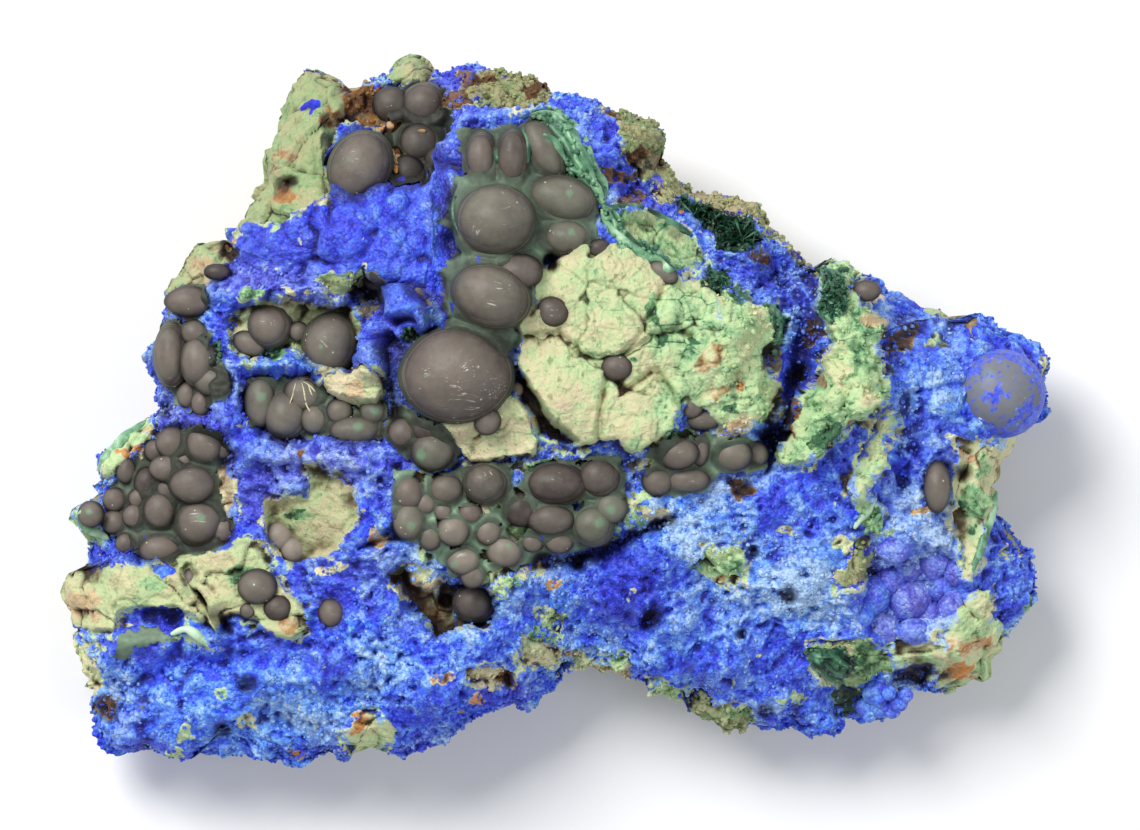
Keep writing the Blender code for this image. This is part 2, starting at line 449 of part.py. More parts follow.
def thinned(item):
    """Keep the shape with few triangles, larger where it is flat, and lay the back flat on the ground."""
    thin = item.modifiers.new("Thin", "DECIMATE")
    thin.decimate_type = "COLLAPSE"
    thin.use_collapse_triangulate = True
    item.data.calc_loop_triangles()
    thin.ratio = TRIANGLES / len(item.data.loop_triangles)
    shape = bpy.data.meshes.new_from_object(item.evaluated_get(bpy.context.evaluated_depsgraph_get()))
    item.modifiers.clear()
    co = np.empty(len(shape.vertices) * 3)
    shape.vertices.foreach_get("co", co)
    co = co.reshape(-1, 3)
    co[co[:, 2] < 0.05 * MM, 2] = 0
    middle = (co.min(axis=0) + co.max(axis=0)) / 2
    middle[2] = 0
    co = (co - middle) * np.array([LENGTH, WIDTH, HEIGHT]) / np.ptp(co, axis=0)
    shape.vertices.foreach_set("co", co.ravel())
    shape.update()
    item.data = shape


def main():
    clear_scene()
    points, faces = shaped_points()
    mesh = bpy.data.meshes.new("azurite_specimen")
    mesh.from_pydata((points * MM).tolist(), [], faces)
    mesh.update()
    specimen = bpy.data.objects.new("azurite_specimen", mesh)
    bpy.context.collection.objects.link(specimen)
    thinned(specimen)
    specimen.data.materials.clear()
    specimen.data.materials.append(crust_material())


main()
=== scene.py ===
"""Azurite specimen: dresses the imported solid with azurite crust, pale slabs, malachite, balls and
broken matrix rock. Lists are in millimetres; meshes are in metres."""

import math

import bpy
import numpy as np
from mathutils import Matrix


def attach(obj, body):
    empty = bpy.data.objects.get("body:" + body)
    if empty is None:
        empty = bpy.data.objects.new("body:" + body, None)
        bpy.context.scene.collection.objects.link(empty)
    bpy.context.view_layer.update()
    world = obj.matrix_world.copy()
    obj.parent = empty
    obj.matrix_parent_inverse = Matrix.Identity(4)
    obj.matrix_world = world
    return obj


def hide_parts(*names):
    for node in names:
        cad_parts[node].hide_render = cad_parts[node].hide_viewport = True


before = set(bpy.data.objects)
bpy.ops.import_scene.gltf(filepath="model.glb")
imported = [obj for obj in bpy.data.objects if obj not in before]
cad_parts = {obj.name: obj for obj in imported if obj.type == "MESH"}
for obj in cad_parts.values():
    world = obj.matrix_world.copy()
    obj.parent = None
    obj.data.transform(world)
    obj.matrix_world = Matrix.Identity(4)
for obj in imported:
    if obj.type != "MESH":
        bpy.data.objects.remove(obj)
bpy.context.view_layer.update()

MM = 0.001
NODE = "azurite_specimen"
FACE_POINTS = 780  # across the display face and its shoulders
BODY_POINTS = 190
WALL_RINGS = 52

CENTRE = (-0.6, 1.0)  # every point of the outline can be seen from here
SHOULDER = 7.0  # how far in from the edge the face rounds over
SHOULDER_WAY = 13.0  # the way over the shoulder, along the surface
SKIRT = 13.0  # how far the crust can reach down the wall
RIM_SHARE = 0.56  # height of the widest line, as a share of the face's height there
WALL_ROUGH = 0.8  # lumps on the wall
BALL_SINK = (0.12, 0.3)  # how far every ball is sunk: a share of its radius, and millimetres
INSET = 1.4  # how far the bare rock lies behind the crust at the rim

# The widest line of the rock seen from above, clockwise from the top-left knob.
OUTLINE = [
    (-31.5, 43.2), (-30, 42.9), (-28.5, 42.4), (-27.2, 42), (-26.5, 41.2), (-25.8, 40.3), (-25, 40.5),
    (-24.3, 41.3), (-23, 41.7), (-21.2, 42.6), (-20.3, 43.6), (-19.5, 44.5), (-18.2, 44.9), (-17, 44.5),
    (-16, 43.7), (-15.3, 43), (-14.5, 42.8), (-12.5, 43.5), (-10, 43.4), (-7.8, 42.9), (-6, 42.5),
    (-3.8, 41.4), (-2.5, 41.1), (-0.8, 40), (0.2, 39.3), (1.5, 39.1), (3.5, 38.7), (4.8, 38.6),
    (6, 37.7), (8.5, 37.9), (10, 37.4), (12.3, 36.8), (13.3, 36.2), (14, 35.2), (14.3, 34.5),
    (14.1, 33.8), (13.9, 32.4), (13.3, 31.4), (13.8, 31.1), (14.8, 30.8), (15.3, 30.1), (16.2, 29.2),
    (17.7, 28.1), (20, 27.8), (22, 27.4), (23.5, 26.9), (25, 26.8), (26, 26.3), (26.2, 25.2),
    (27.3, 23.5), (28, 22.3), (28.8, 21.9), (29.9, 21), (30.8, 19.2), (31.7, 17.8), (32.4, 16.8),
    (33.5, 18.2), (34.7, 18.7), (36, 18.4), (37.3, 18.2), (38.3, 16.8), (40, 16.4), (41.2, 15.7),
    (41.7, 14), (42.5, 13.3), (43.7, 12.9), (45.5, 12.4), (48.5, 12.1), (49.5, 11.8), (50.5, 10.9),
    (51, 11.4), (52.2, 11.2), (53, 11.7), (53.7, 12.3), (54.8, 11.9), (55.7, 11.2), (56.2, 10.3),
    (57, 9.7), (58.7, 9.3), (60.5, 8.2), (61.8, 7.3), (62.5, 6.5), (62.7, 5.2), (61.8, 4),
    (61.9, 3), (61.8, -0.4), (61, -1.2), (59.8, -2.2), (58.5, -4.3), (57.8, -5.8), (57, -6.8),
    (56.5, -8.5), (56, -10), (56, -11.5), (56.4, -12.5), (56.3, -13.3), (57.5, -14.3), (58.7, -15.7),
    (60.7, -17.9), (61, -18.5), (60.5, -19.2), (60.8, -21.5), (60.5, -23.6), (60.8, -24), (60.7, -25.2),
    (59.8, -26.3), (58.5, -27), (57.7, -28), (57, -29.5), (56.5, -30.8), (55.4, -31.3), (55.2, -34),
    (54.2, -34.6), (53, -35.5), (51.8, -36), (50, -36), (48.3, -36.4), (46.5, -35.5), (45.5, -35.3),
    (44.2, -35.5), (44, -36), (44.7, -36.8), (44.7, -37.5), (44, -38.2), (43, -38.4), (42.3, -39),
    (41.5, -39.3), (40.5, -39), (39, -39.1), (37.5, -38.9), (36.2, -38.5), (36.7, -39.5), (36.6, -40.3),
    (35.5, -41.1), (34, -41.4), (32, -41.4), (31, -40.5), (30, -40), (28.7, -40.5), (27, -40.6),
    (25, -40.2), (23.7, -40.4), (22.7, -40.8), (21.7, -41.4), (20.5, -40.5), (19.8, -39.7), (18, -39.3),
    (17, -38.4), (16.2, -36.5), (15.3, -36.9), (14.5, -36.5), (13.7, -36.1), (12.2, -36.2), (11.3, -34.5),
    (10, -33.9), (8.5, -33.5), (6.5, -33.2), (5.5, -33.5), (4, -32.7), (2.5, -32.8), (1, -32.5),
    (0.2, -34.2), (-1, -35.5), (-2, -36.3), (-2.6, -37.3), (-3.5, -37.9), (-4.5, -37.6), (-5.3, -36.9),
    (-6.5, -37.6), (-8, -37.7), (-9.5, -38.4), (-11, -39.3), (-12.5, -40.3), (-15, -41.7), (-16.5, -42.2),
    (-19.8, -43.3), (-21, -43.3), (-23, -43), (-25.7, -43.5), (-26, -44.2), (-27.2, -44.7), (-28.2, -44.1),
    (-30, -44.1), (-31.2, -44.7), (-32.5, -44.9), (-34.8, -44), (-36, -44.8), (-37.5, -44.9), (-39, -44.3),
    (-43.5, -43.6), (-45.3, -43.6), (-46.5, -44.8), (-48.3, -45), (-49.5, -44.4), (-51.5, -43.4),
    (-53.5, -43.9), (-55.8, -43.8), (-56.8, -43.3), (-57.8, -42.3), (-58.5, -41), (-58.4, -38.5),
    (-59, -35.8), (-60, -35.3), (-59.5, -34.3), (-60.3, -33.5), (-60.8, -30), (-61.3, -28.5),
    (-61.5, -25.8),
    (-62.3, -24.5), (-62.7, -23), (-62, -21), (-60.5, -20.7), (-59.2, -19.6), (-59, -19), (-59.3, -16.6),
    (-60.2, -16), (-60.8, -15), (-61.8, -13.8), (-61.2, -12.5), (-59.8, -11.5), (-58.8, -10.8), (-59, -9.7),
    (-58, -9), (-58.2, -7.2), (-57.8, -6), (-56.8, -4.8), (-55.5, -3), (-54.3, -2.7), (-53, -2),
    (-51.3, -0.5), (-50.7, 0.2), (-50.8, 2), (-50.7, 3.7), (-51, 4.3), (-52.1, 5.5), (-51.8, 7),
    (-51, 8.3), (-50.5, 9.8), (-49.5, 12.7), (-49, 13.5), (-49.5, 14.5), (-48, 17), (-46, 20.3),
    (-45.3, 21.1), (-42, 21.5), (-40.8, 20), (-41, 21.7), (-40, 24.5), (-39.5, 26), (-38.5, 27.2),
    (-36.9, 28.7), (-37.3, 31.5), (-37, 33), (-36.2, 33.5), (-35.5, 36), (-34.5, 38.7), (-33, 41.5),
]

# Height of the face over the ground: x, y, z.
LEVELS = [
    (-12, 4, 33), (-8, 14, 34), (-7, 23, 33), (-5, 31, 31), (1, 22, 32), (-10, 38, 27), (0, 35, 29),
    (-33, 22, 31), (-27, 20, 33), (-20, 22, 33), (-35, 15, 30), (-24, 27, 31), (-30, 32, 27),
    (-32, 39, 23), (-19, 35, 26), (-18, 42, 22), (-46, 14, 23), (-48, 5, 21), (-43, 8, 24),
    (-38, 8, 27), (-30, 9, 28), (-35, 0, 25), (-25, 0, 28), (-20, 2, 29), (-45, -8, 22),
    (-50, -14, 19), (-57, -13, 16), (-54, -5, 17), (-40, -21, 22), (-52, -22, 18), (-60, -24, 14),
    (-35, -32, 22), (-45, -36, 18), (-55, -38, 14), (-55, -31, 17), (-25, -30, 24), (-25, -38, 19),
    (-15, -32, 23), (-35, -42, 15), (-22, -12, 28), (-12, -12, 28), (-5, -8, 29), (0, -12, 28),
    (8, -10, 28), (-8, -20, 26), (-10, -25, 23), (0, 3, 33), (4, 15, 33), (10, 12, 33),
    (10, -1, 32), (20, 8, 31), (24, 0, 29), (5, 30, 30), (14, 25, 28), (22, 20, 27),
    (30, 8, 25), (31, 2, 24), (28, -5, 24), (11, 34, 26), (20, 27, 23), (30, 19, 22),
    (37, 10, 27), (36, 2, 28), (33, -4, 26), (45, 4, 24), (48, 10, 19), (56, 2, 20),
    (60, 6, 17), (40, -7, 24), (45, -12, 22), (52, -14, 20), (57, -18, 16), (45, -24, 19),
    (50, -30, 18), (56, -26, 16), (38, -20, 22), (35, -30, 19), (42, -33, 16), (40, -38, 12),
    (50, -35, 13), (15, -15, 27), (25, -10, 26), (30, -18, 24), (15, -25, 24), (5, -22, 26),
    (20, -30, 21), (10, -30, 20), (25, -36, 17), (32, -39, 14), (20, -39, 15), (2, -30, 21),
    (-3, -35, 18),
]

# Slabs that stand proud (+) and pockets that lie deeper (-): offset, softness of the edge, outline.
PATCHES = {
    "cream slab": (1.6, 0.45, [
        (-4.8, 5.5), (-4.3, 9), (-5, 11), (-3, 13), (-2.5, 17), (1, 19), (3, 20.5), (8, 20.5), (12.5, 18),
        (15, 16.3), (18, 16), (20, 14.5), (25, 13), (27.5, 13), (28, 10.5), (26, 7), (26.2, 5), (28, 3),
        (27, -1.8), (24, -3), (21.5, -3.3), (20, -1.5), (17, 0.5), (15, -0.5), (14.5, -2.5), (10, -5.5),
        (7.5, -3.3), (3, -4), (0.5, -1.5), (-2, 1.5)]),
    "slab under the great ball": (1.2, 0.4, [
        (-14.5, -1.5), (-11, -1.3), (-8, 0), (-6, 1.7), (-4.3, 0.7), (-2.3, -3.5), (-3, -5.5),
        (-10.5, -6.5), (-11.5, -5.5), (-13, -3.5)]),
    "dark gap": (-4.5, 0.5, [
        (-5.5, 4), (-4.5, 4.5), (0, -1), (3, -3.5), (1.5, -4.2), (-2, -3), (-2.5, -1), (-4, 0.8)]),
    "green slab": (4.0, 0.45, [
        (33, 17.5), (34.7, 18.7), (37.5, 18), (38, 16.5), (37, 15.5), (38, 14), (40, 13), (41, 11.5),
        (40.8, 8), (41.8, 4.5), (41.8, 1.5), (40.5, 0), (38, -1.3), (34.5, -4.5), (33, -6.3),
        (28.5, -7.3), (27.8, -6), (29, -4), (30, -1), (30.5, 1.5), (33.5, 4.5), (33.5, 6.5), (35, 8.5),
        (34, 10.5), (32.7, 12), (32.8, 14)]),
    "left ledge": (2.2, 0.5, [
        (-62.5, -23), (-62, -21.5), (-59, -20), (-53, -20), (-47.5, -18.5), (-44, -18), (-38, -16.7),
        (-36.3, -18.5), (-35.2, -21), (-33.5, -23), (-30.7, -26), (-31.2, -28), (-33.5, -29), (-36, -28),
        (-38, -26.5), (-41, -26), (-43, -27.5), (-45, -26), (-48, -25), (-55, -25.5), (-56, -28),
        (-59, -28), (-61.4, -27.5)]),
    "corner block": (2.2, 0.5, [
        (6, 37.7), (9, 37.8), (12.3, 36.8), (14.3, 34.5), (13.3, 31.4), (12.5, 29), (11, 28), (10.5, 30),
        (8, 33), (8, 35)]),
    "needle cavity": (-4.5, 0.8, [
        (15, 26.5), (18, 25.5), (24.5, 23.3), (25.8, 21), (24, 20.2), (21.5, 20.3), (19.5, 22),
        (17.5, 24)]),
    "tan pocket": (-3.5, 0.7, [
        (-31.5, -7), (-29, -7.2), (-27.5, -8.5), (-25.5, -9), (-24.8, -11), (-24.8, -14.5), (-26, -15.5),
        (-28, -17.5), (-30.5, -18.5), (-33, -19.7), (-34.7, -18.5), (-36.2, -16.3), (-36.3, -12),
        (-34, -11.5), (-31.5, -11), (-30.5, -9)]),
    "left ball pocket": (-2.6, 1.0, [
        (-50, -2.5), (-46, -2), (-41, -3.5), (-40.5, -10), (-40.5, -17), (-46, -18), (-53, -19.5),
        (-57, -16), (-57, -10), (-53.5, -6)]),
    "chain pocket": (-2.8, 0.8, [
        (-39, 5), (-36, 5), (-31, 4.5), (-27, 1.5), (-21, 1), (-21.5, -4.5), (-28, -3.8),
        (-33, -4), (-37, -3), (-39.5, 0)]),
    "middle ball pocket": (-2.8, 0.7, [
        (-41, 11), (-39, 13.5), (-34, 13.3), (-26, 12.8), (-24.3, 8), (-25.5, 4.8), (-33, 8),
        (-35.5, 6), (-38, 6), (-40.5, 7)]),
    "top ball pocket": (-3.2, 0.9, [
        (-28.5, 34), (-26, 39), (-20, 41), (-14, 40.5), (-13, 36), (-13, 29), (-17, 27.5),
        (-22, 28), (-25, 26), (-28, 28)]),
    "rust hollow": (-3.0, 0.6, [(-24.5, -17.5), (-19, -16.5), (-20, -14.2), (-22, -15.5)]),
    "big hole": (-5.0, 0.8, [
        (-20.5, -21), (-19, -20.2), (-18, -22.3), (-15, -23.3), (-14, -21.5), (-7.5, -23), (-7.5, -27),
        (-12, -27.5), (-13.5, -28.5), (-15, -28.5), (-16, -27), (-18.5, -24.3)]),
    "purple recess": (-3.2, 1.2, [
        (39, -20.5), (46, -17.5), (50, -19), (51, -24), (47, -27), (42, -29.5), (38.5, -26)]),
    "black cavity": (-4.0, 0.6, [(42.5, -33), (47.5, -32.7), (47, -35), (43, -34.7)]),
    "peach ledge": (1.2, 0.7, [
        (49, -29.8), (50, -27.5), (50.5, -25), (53, -23), (55.5, -23), (57, -28), (55, -34), (50, -35.5),
        (47.5, -32)]),
    "bottom chunk": (1.6, 0.6, [
        (-27.5, -40.7), (-26, -39.5), (-24.2, -38.2), (-21, -38.3), (-20.5, -42), (-24, -43),
        (-26.5, -42)]),
    "column web": (1.8, 1.6, [
        (-13.9, 10), (-13.2, 14), (-12.8, 18), (-13, 22), (-13.3, 26), (-11.5, 28.8), (-7, 29.2),
        (-3.5, 28.5), (-1.5, 25), (-1.3, 20.5), (-2, 15.5), (-3.4, 12), (-4.8, 8.5), (-6.5, 6),
        (-10, 8), (-12.5, 9.3)]),
}

# Ridges (+) and furrows (-): height, half width, course.
COURSES = {
    "channel": (-3.6, 2.4, [
        (8, 29), (12, 25.5), (17, 21.5), (22, 18), (28, 16), (31, 12), (31, 6), (29.3, 0),
        (27.5, -5)]),
    "malachite fold": (1.5, 1.3, [
        (-2.5, 36.8), (1, 35), (2.5, 32.5), (4.5, 28.5), (6, 26), (8, 25), (13, 24), (17, 20.5)]),
    "shell by the top ball": (1.2, 0.9, [(-12.5, 26.5), (-12.8, 22), (-10.5, 18.8), (-6, 18.6)]),
    "great shell": (1.0, 1.0, [
        (-19.8, 6.5), (-19.5, 2), (-16.5, -1.8), (-12, -2.6), (-7, -1)]),
    "blue cup": (2.0, 1.3, [
        (-23.5, 13), (-19, 13.8), (-16.5, 11.5), (-19.8, 9.5), (-22.5, 7), (-23.3, 5)]),
    "dark channel": (-3.0, 1.0, [(-20.8, 8), (-20.5, 4), (-20, -1)]),
    "brown hollow": (-3.5, 1.6, [(-24, 14.3), (-21.5, 13.8), (-19.8, 15.5)]),
    "crevice": (-3.2, 1.3, [(-2, -19), (3, -18.8), (7, -17), (13, -14.5)]),
    "pocket wall a": (1.6, 1.0, [(-40, -4.5), (-33, -6.3), (-26, -5.8), (-21, -8)]),
    "pocket wall b": (1.5, 1.0, [(-44, 14), (-37, 15), (-30, 14.8)]),
    "pocket wall c": (1.3, 1.0, [(-42, 1.5), (-40.8, -2), (-42.5, -2.8), (-48, -0.5)]),
    "ledge crack": (-2.8, 0.5, [(-46, -20), (-45, -22.5), (-43, -25.5), (-41, -27.5)]),
    "white crest": (1.4, 0.7, [(-48, -28.3), (-46, -27.5), (-43, -30.3)]),
    "pale ridge": (2.0, 1.3, [(41.5, -1.5), (40.5, -6), (38, -10.3)]),
    "right furrow": (-2.4, 1.6, [(44.5, 1), (45, -4), (43.5, -9)]),
    "matrix furrow": (-2.0, 1.5, [(52, -4.5), (51, -10), (51, -16)]),
    "matrix ridge": (1.5, 1.0, [(56, -10), (54.5, -15), (52, -21.5)]),
    "mint rim": (1.0, 0.8, [(-51, -1.2), (-54.5, -3.8), (-57.2, -8)]),
    "lower valley": (-2.0, 3.0, [(0.5, -33), (1, -28), (-3, -24)]),
    "lower left valley": (-1.6, 2.2, [(-58, -34), (-52, -34), (-44, -32), (-38, -31)]),
    "olive lens": (1.6, 1.6, [(-54.5, -29.3), (-48.5, -29.3)]),
    "dark trench": (-1.8, 1.1, [(39.3, -16.5), (40.5, -22)]),
    "top blue ridge": (1.4, 0.8, [(-11, 36.5), (-8, 36.2), (-3, 37)]),
    "slab edge a": (-1.0, 0.45, [(-3.5, 9.2), (0.5, 9.3), (3.5, 6.6), (8, 6.6)]),
    "slab edge b": (-1.2, 0.5, [(8, 6.6), (12, 9), (15, 10), (17, 9)]),
    "slab edge c": (-1.2, 0.45, [(6.5, 4.2), (9, 2.2), (12.5, 5), (15.5, 0.5)]),
    "slab edge d": (-1.0, 0.4, [(6.5, 4.2), (5.5, -0.5), (5.5, -3.6)]),
    "slab edge e": (-0.8, 0.4, [(13.8, 15.5), (11, 10), (8, 6.6)]),
}

# Pits: x, y, radius, depth.
PITS = [
    (-34, 27.5, 1.4, 2.5), (12.3, -26, 1.8, 3.0), (27, -3, 1.6, 3.0), (-0.5, 18.2, 1.2, 3.5),
    (29.3, -23.3, 1.1, 2.0), (23.5, -9.8, 1.2, 1.5), (-38.7, -34.7, 1.2, 2.0), (-42, -40.5, 1.2, 1.6),
    (-57, -38, 1.6, 2.0), (30.5, 4, 1.8, 1.6), (26.5, -38, 1.2, 1.6), (49, -8, 1.3, 1.6),
    (14.5, -14, 1.0, 1.6), (25, -18, 0.7, 1.5), (23.3, -28.3, 0.7, 1.5), (-13.8, -24.3, 0.8, 1.5),
    (-49.3, -0.2, 1.0, 1.6), (-28.5, 36, 0.9, 1.5), (-32.7, 28.3, 0.8, 1.4), (51.3, -8, 1.2, 1.6),
    (3, -19, 1.2, 1.6), (-22.5, 15.5, 1.8, 2.0),
]

# Broken faces of the wall: bearing in degrees, how far in the face meets the ground, how far it leans
# out for each millimetre up.
BREAKS = [
    (-2, 6, 0.5), (14, 4, 0.35), (33, 8, 0.9), (52, 5, 0.5), (71, 9, 0.8), (88, 5, 0.4),
    (106, 8, 0.7), (121, 4, 0.45), (139, 10, 0.9), (158, 6, 0.6), (176, 9, 0.8), (194, 5, 0.5),
    (208, 8, 0.7), (222, 4, 0.4), (240, 9, 0.8), (257, 6, 0.5), (272, 9, 0.9), (291, 5, 0.5),
    (308, 8, 0.7), (325, 5, 0.5), (343, 9, 0.8),
]

# Balls by cluster: x, y, radius along, radius across, turn in degrees, height of the centre over the
# face, darkness, greenness.
BALLS = {
    "ball_column": [
        (-12.3, 4.3, 7.0, 6.0, 0, 0.8, 0, 0.0), (-8, 14.1, 5.0, 3.9, -20, 1.2, 0, 0.2),
        (-4.5, 17, 2.9, 2.2, 0, 0.9, 0.2, 0), (-7.4, 23.5, 4.9, 4.4, 0, 1.4, 0, 0.35),
        (1.4, 21.4, 3.1, 2.3, 0, 0.9, 0, 0.4), (0.8, 26.2, 4.4, 2.9, -15, 1.0, 0, 0.45),
        (-9.2, 31.2, 2.0, 3.4, 0, 1.0, 0.1, 0.1), (-5.3, 31.4, 2.0, 3.6, 0, 1.2, 0.2, 0),
        (-1.4, 32.2, 2.1, 4.2, 28, 0.9, 0, 0.3), (-16.8, 14.5, 1.2, 1.2, 0, 0.5, 0.4, 0),
        (-14.8, 12.8, 1.5, 1.5, 0, 0.5, 0.2, 0), (-8.4, -1.5, 1.6, 1.6, 0, 0.6, 0, 0),
        (-4.9, 2.4, 0.8, 0.8, 0, 0.3, -0.3, 0)],
    "balls_under_great_ball": [
        (-19, -3, 1.8, 1.8, 0, 0.4, 0.2, 0), (-16, -2.3, 2.0, 2.0, 0, -0.6, 0.6, 0),
        (-15.3, -5.2, 2.7, 2.4, 0, 1.0, 0.2, 0.4)],
    "balls_on_slab": [
        (-0.3, 12.1, 2.0, 1.8, -30, 0.1, 0.3, 0), (7.7, 5.2, 1.8, 1.6, 0, 0.2, 0.3, 0),
        (13.5, 17, 1.8, 1.0, -35, 0.8, 0, 0.2), (5.5, 20, 1.2, 1.0, 0, 0.3, 0.5, 0.3),
        (18.3, -1.3, 2.2, 1.2, 0, 0.6, 0, 0.2), (17, 0.3, 1.4, 1.4, 0, 0.5, 0, 0.1)],
    "balls_in_top_pocket": [
        (-24.5, 30.3, 3.8, 4.8, -25, 2.2, 0.1, 0.15), (-17, 33.3, 2.5, 2.5, 0, 1.0, 0.4, 0.2),
        (-16.5, 38.3, 2.8, 2.8, 0, 1.0, 0.25, 0), (-18.5, 29.5, 2.2, 2.2, 0, 0.3, 0.6, 0.4),
        (-14.5, 31, 2.0, 2.0, 0, 0.3, 0.6, 0.3), (-20.6, 38.2, 2.2, 2.2, 0, 0.2, 0.5, 0.1)],
    "balls_upper_left": [
        (-46, 13.5, 2.8, 1.8, 0, 0.8, 0.1, 0), (-42.3, 17.2, 1.5, 0.9, 0, 0.2, 0.5, 0),
        (-48.3, 6.8, 2.2, 4.0, 0, 0.8, 0, 0.1), (-44.8, 6, 2.3, 3.2, 0, 0.9, 0, 0.1),
        (-42.8, 3.5, 2.3, 1.8, 0, 0.6, 0.1, 0.3), (-45.3, 9.6, 1.5, 1.5, 0, 0.5, 0.1, 0.2),
        (-46.2, 1.8, 1.2, 1.5, 0, 0.3, 0, 0), (-44.4, 0.8, 1.2, 1.6, 0, 0.3, 0, 0)],
    "balls_middle_left": [
        (-35.8, 10.5, 2.7, 2.8, 0, 1.2, 0, 0), (-38.3, 8.2, 2.0, 1.4, -25, 0.8, 0, 0),
        (-32.1, 9.7, 1.1, 1.1, 0, 0.7, 0, 0), (-28.2, 8.3, 3.5, 3.7, 0, 1.6, 0, 0.15)],
    "balls_in_chain": [
        (-37, 1, 1.9, 3.2, 0, 1.2, 0, 0.35), (-33.8, -0.7, 2.9, 3.1, 0, 1.4, 0, 0.3),
        (-31.5, 2, 2.4, 2.2, 0, 1.2, 0, 0.25), (-30, -1.3, 1.8, 1.8, 0, 1.0, 0, 0.25),
        (-27, -0.3, 1.5, 1.5, 0, 0.9, 0, 0.2), (-25, -2.7, 3.2, 1.8, 0, 0.9, 0, 0.3),
        (-22.7, -0.3, 1.7, 1.7, 0, 0.7, 0, 0.5)],
    "balls_left_cluster": [
        (-48.3, -4.3, 1.9, 1.9, 0, 0.8, 0, 0), (-44, -4.4, 2.3, 2.3, 0, 1.0, 0, 0),
        (-50.5, -5.3, 1.3, 1.3, 0, 0.5, 0.1, 0), (-49, -7.5, 2.0, 1.6, 0, 0.8, 0, 0),
        (-46.6, -6.5, 0.9, 0.9, 0, 0.5, 0, 0), (-45.6, -9.5, 2.8, 2.3, 0, 1.2, 0, 0),
        (-49, -10, 1.1, 1.1, 0, 0.5, 0, 0), (-51.5, -9.3, 1.6, 1.9, 0, 0.2, 0.4, 0),
        (-49.8, -12.8, 2.0, 2.2, 0, 1.0, 0, 0), (-44.7, -14.3, 3.1, 3.1, 0, 1.3, 0, 0.05),
        (-49.7, -17.8, 2.7, 1.9, 0, 0.9, 0, 0), (-53.2, -13.5, 1.4, 1.4, 0, 0.7, 0, 0),
        (-52.7, -11.3, 1.1, 1.1, 0, 0.5, 0, 0), (-55.7, -11.5, 1.4, 1.4, 0, 0.6, 0, 0),
        (-55.8, -14.3, 1.4, 1.4, 0, 0.6, 0, 0), (-58.6, -13.3, 1.5, 1.5, 0, 0.4, 0.1, 0.1),
        (-54.3, -17, 1.2, 1.2, 0, 0.5, 0, 0), (-54.2, -7.8, 1.2, 1.5, 0, 0.4, 0.2, 0),
        (-41.8, -15.3, 1.5, 1.5, 0, 0.6, 0, 0), (-41.8, -4.8, 1.3, 1.3, 0, 0.5, 0.1, 0)],
    "balls_on_ledge": [
        (-37.3, -22.3, 2.3, 2.1, 0, 0.9, 0, 0.1), (-34.8, -24.9, 1.6, 1.5, 0, 0.5, 0.4, 0),
        (-38.6, -25.3, 0.8, 0.8, 0, 0.4, 0.1, 0), (-45.8, -21.7, 1.0, 1.5, 0, 0.3, 0.1, 0),
        (-28.1, -25.6, 1.5, 1.7, 0, 0.4, 0, -0.5), (-34.7, -16, 1.8, 1.8, 0, 1.5, -0.4, 0),
        (-32.8, -17.7, 1.6, 1.6, 0, 1.5, -0.4, 0)],
    "balls_lower_centre": [
        (-8.7, -9.2, 2.9, 2.6, 0, 1.3, 0.2, 0.25), (-13.6, -10, 2.1, 1.8, 0, 0.9, 0.1, 0.2),
        (-18.3, -10.5, 1.8, 2.0, 0, 0.8, 0, 0), (-18.3, -14, 1.9, 2.2, 0, 0.8, -0.2, 0.3),
        (-14, -12.8, 1.0, 1.0, 0, 0.6, 0, 0), (-12.7, -15.2, 1.9, 1.8, 0, 0.8, -0.25, 0.1),
        (-8.3, -15.3, 1.6, 1.6, 0, 0.7, -0.15, 0.2), (-6.3, -17.7, 2.2, 2.0, 0, 0.9, -0.3, 0.1),
        (-11.5, -18.8, 2.0, 1.8, 0, 0.8, -0.35, 0.2), (-10.3, -20.8, 1.5, 1.5, 0, 0.6, 0, 0.2),
        (-10.2, -24.3, 2.8, 2.5, 0, 2.6, 0.45, 0), (0.1, -9.2, 3.9, 2.7, 0, 1.3, 0.4, 0),
        (-0.5, -13.8, 2.9, 1.9, 0, 1.0, 0.2, 0.2), (-4.3, -12.5, 2.1, 2.1, 0, 0.3, 0.5, 0),
        (5.5, -8.5, 2.7, 2.6, 0, 1.1, 0.3, 0.1), (0.5, -16.5, 1.7, 1.4, 0, 0.6, 0, 0),
        (4.7, -14.5, 2.6, 2.6, 0, 1.0, 0.1, 0.6), (7, -12.3, 2.0, 2.0, 0, 0.7, 0, 0.6),
        (-16.2, -11.8, 1.3, 1.3, 0, 0.6, 0, 0.1), (-15.6, -15.9, 1.4, 1.6, 0, 0.6, 0, 0.1),
        (-10.6, -13, 1.4, 1.2, 0, 0.5, 0.1, 0), (-2.8, -16.6, 1.3, 1.2, 0, 0.5, 0.1, 0)],
    "balls_right_of_slab": [
        (15.3, -5.5, 2.5, 2.0, 0, 0.9, 0, 0.1), (18, -5, 1.2, 2.0, 0, 0.7, 0, 0.1),
        (12.8, -9, 1.8, 1.7, 0, 0.7, 0, 0.1), (16.5, -8.8, 2.8, 1.6, 0, 0.8, 0, 0.1),
        (22.2, -5.7, 2.3, 2.0, 0, 0.9, 0, 0.15), (25, -5.7, 1.6, 1.6, 0, 0.6, 0, 0.1),
        (39, 14.8, 1.6, 1.2, 0, 0.5, 0.1, 0), (48, -9.8, 1.6, 3.0, 0, 0.8, 0, 0.1)],
}

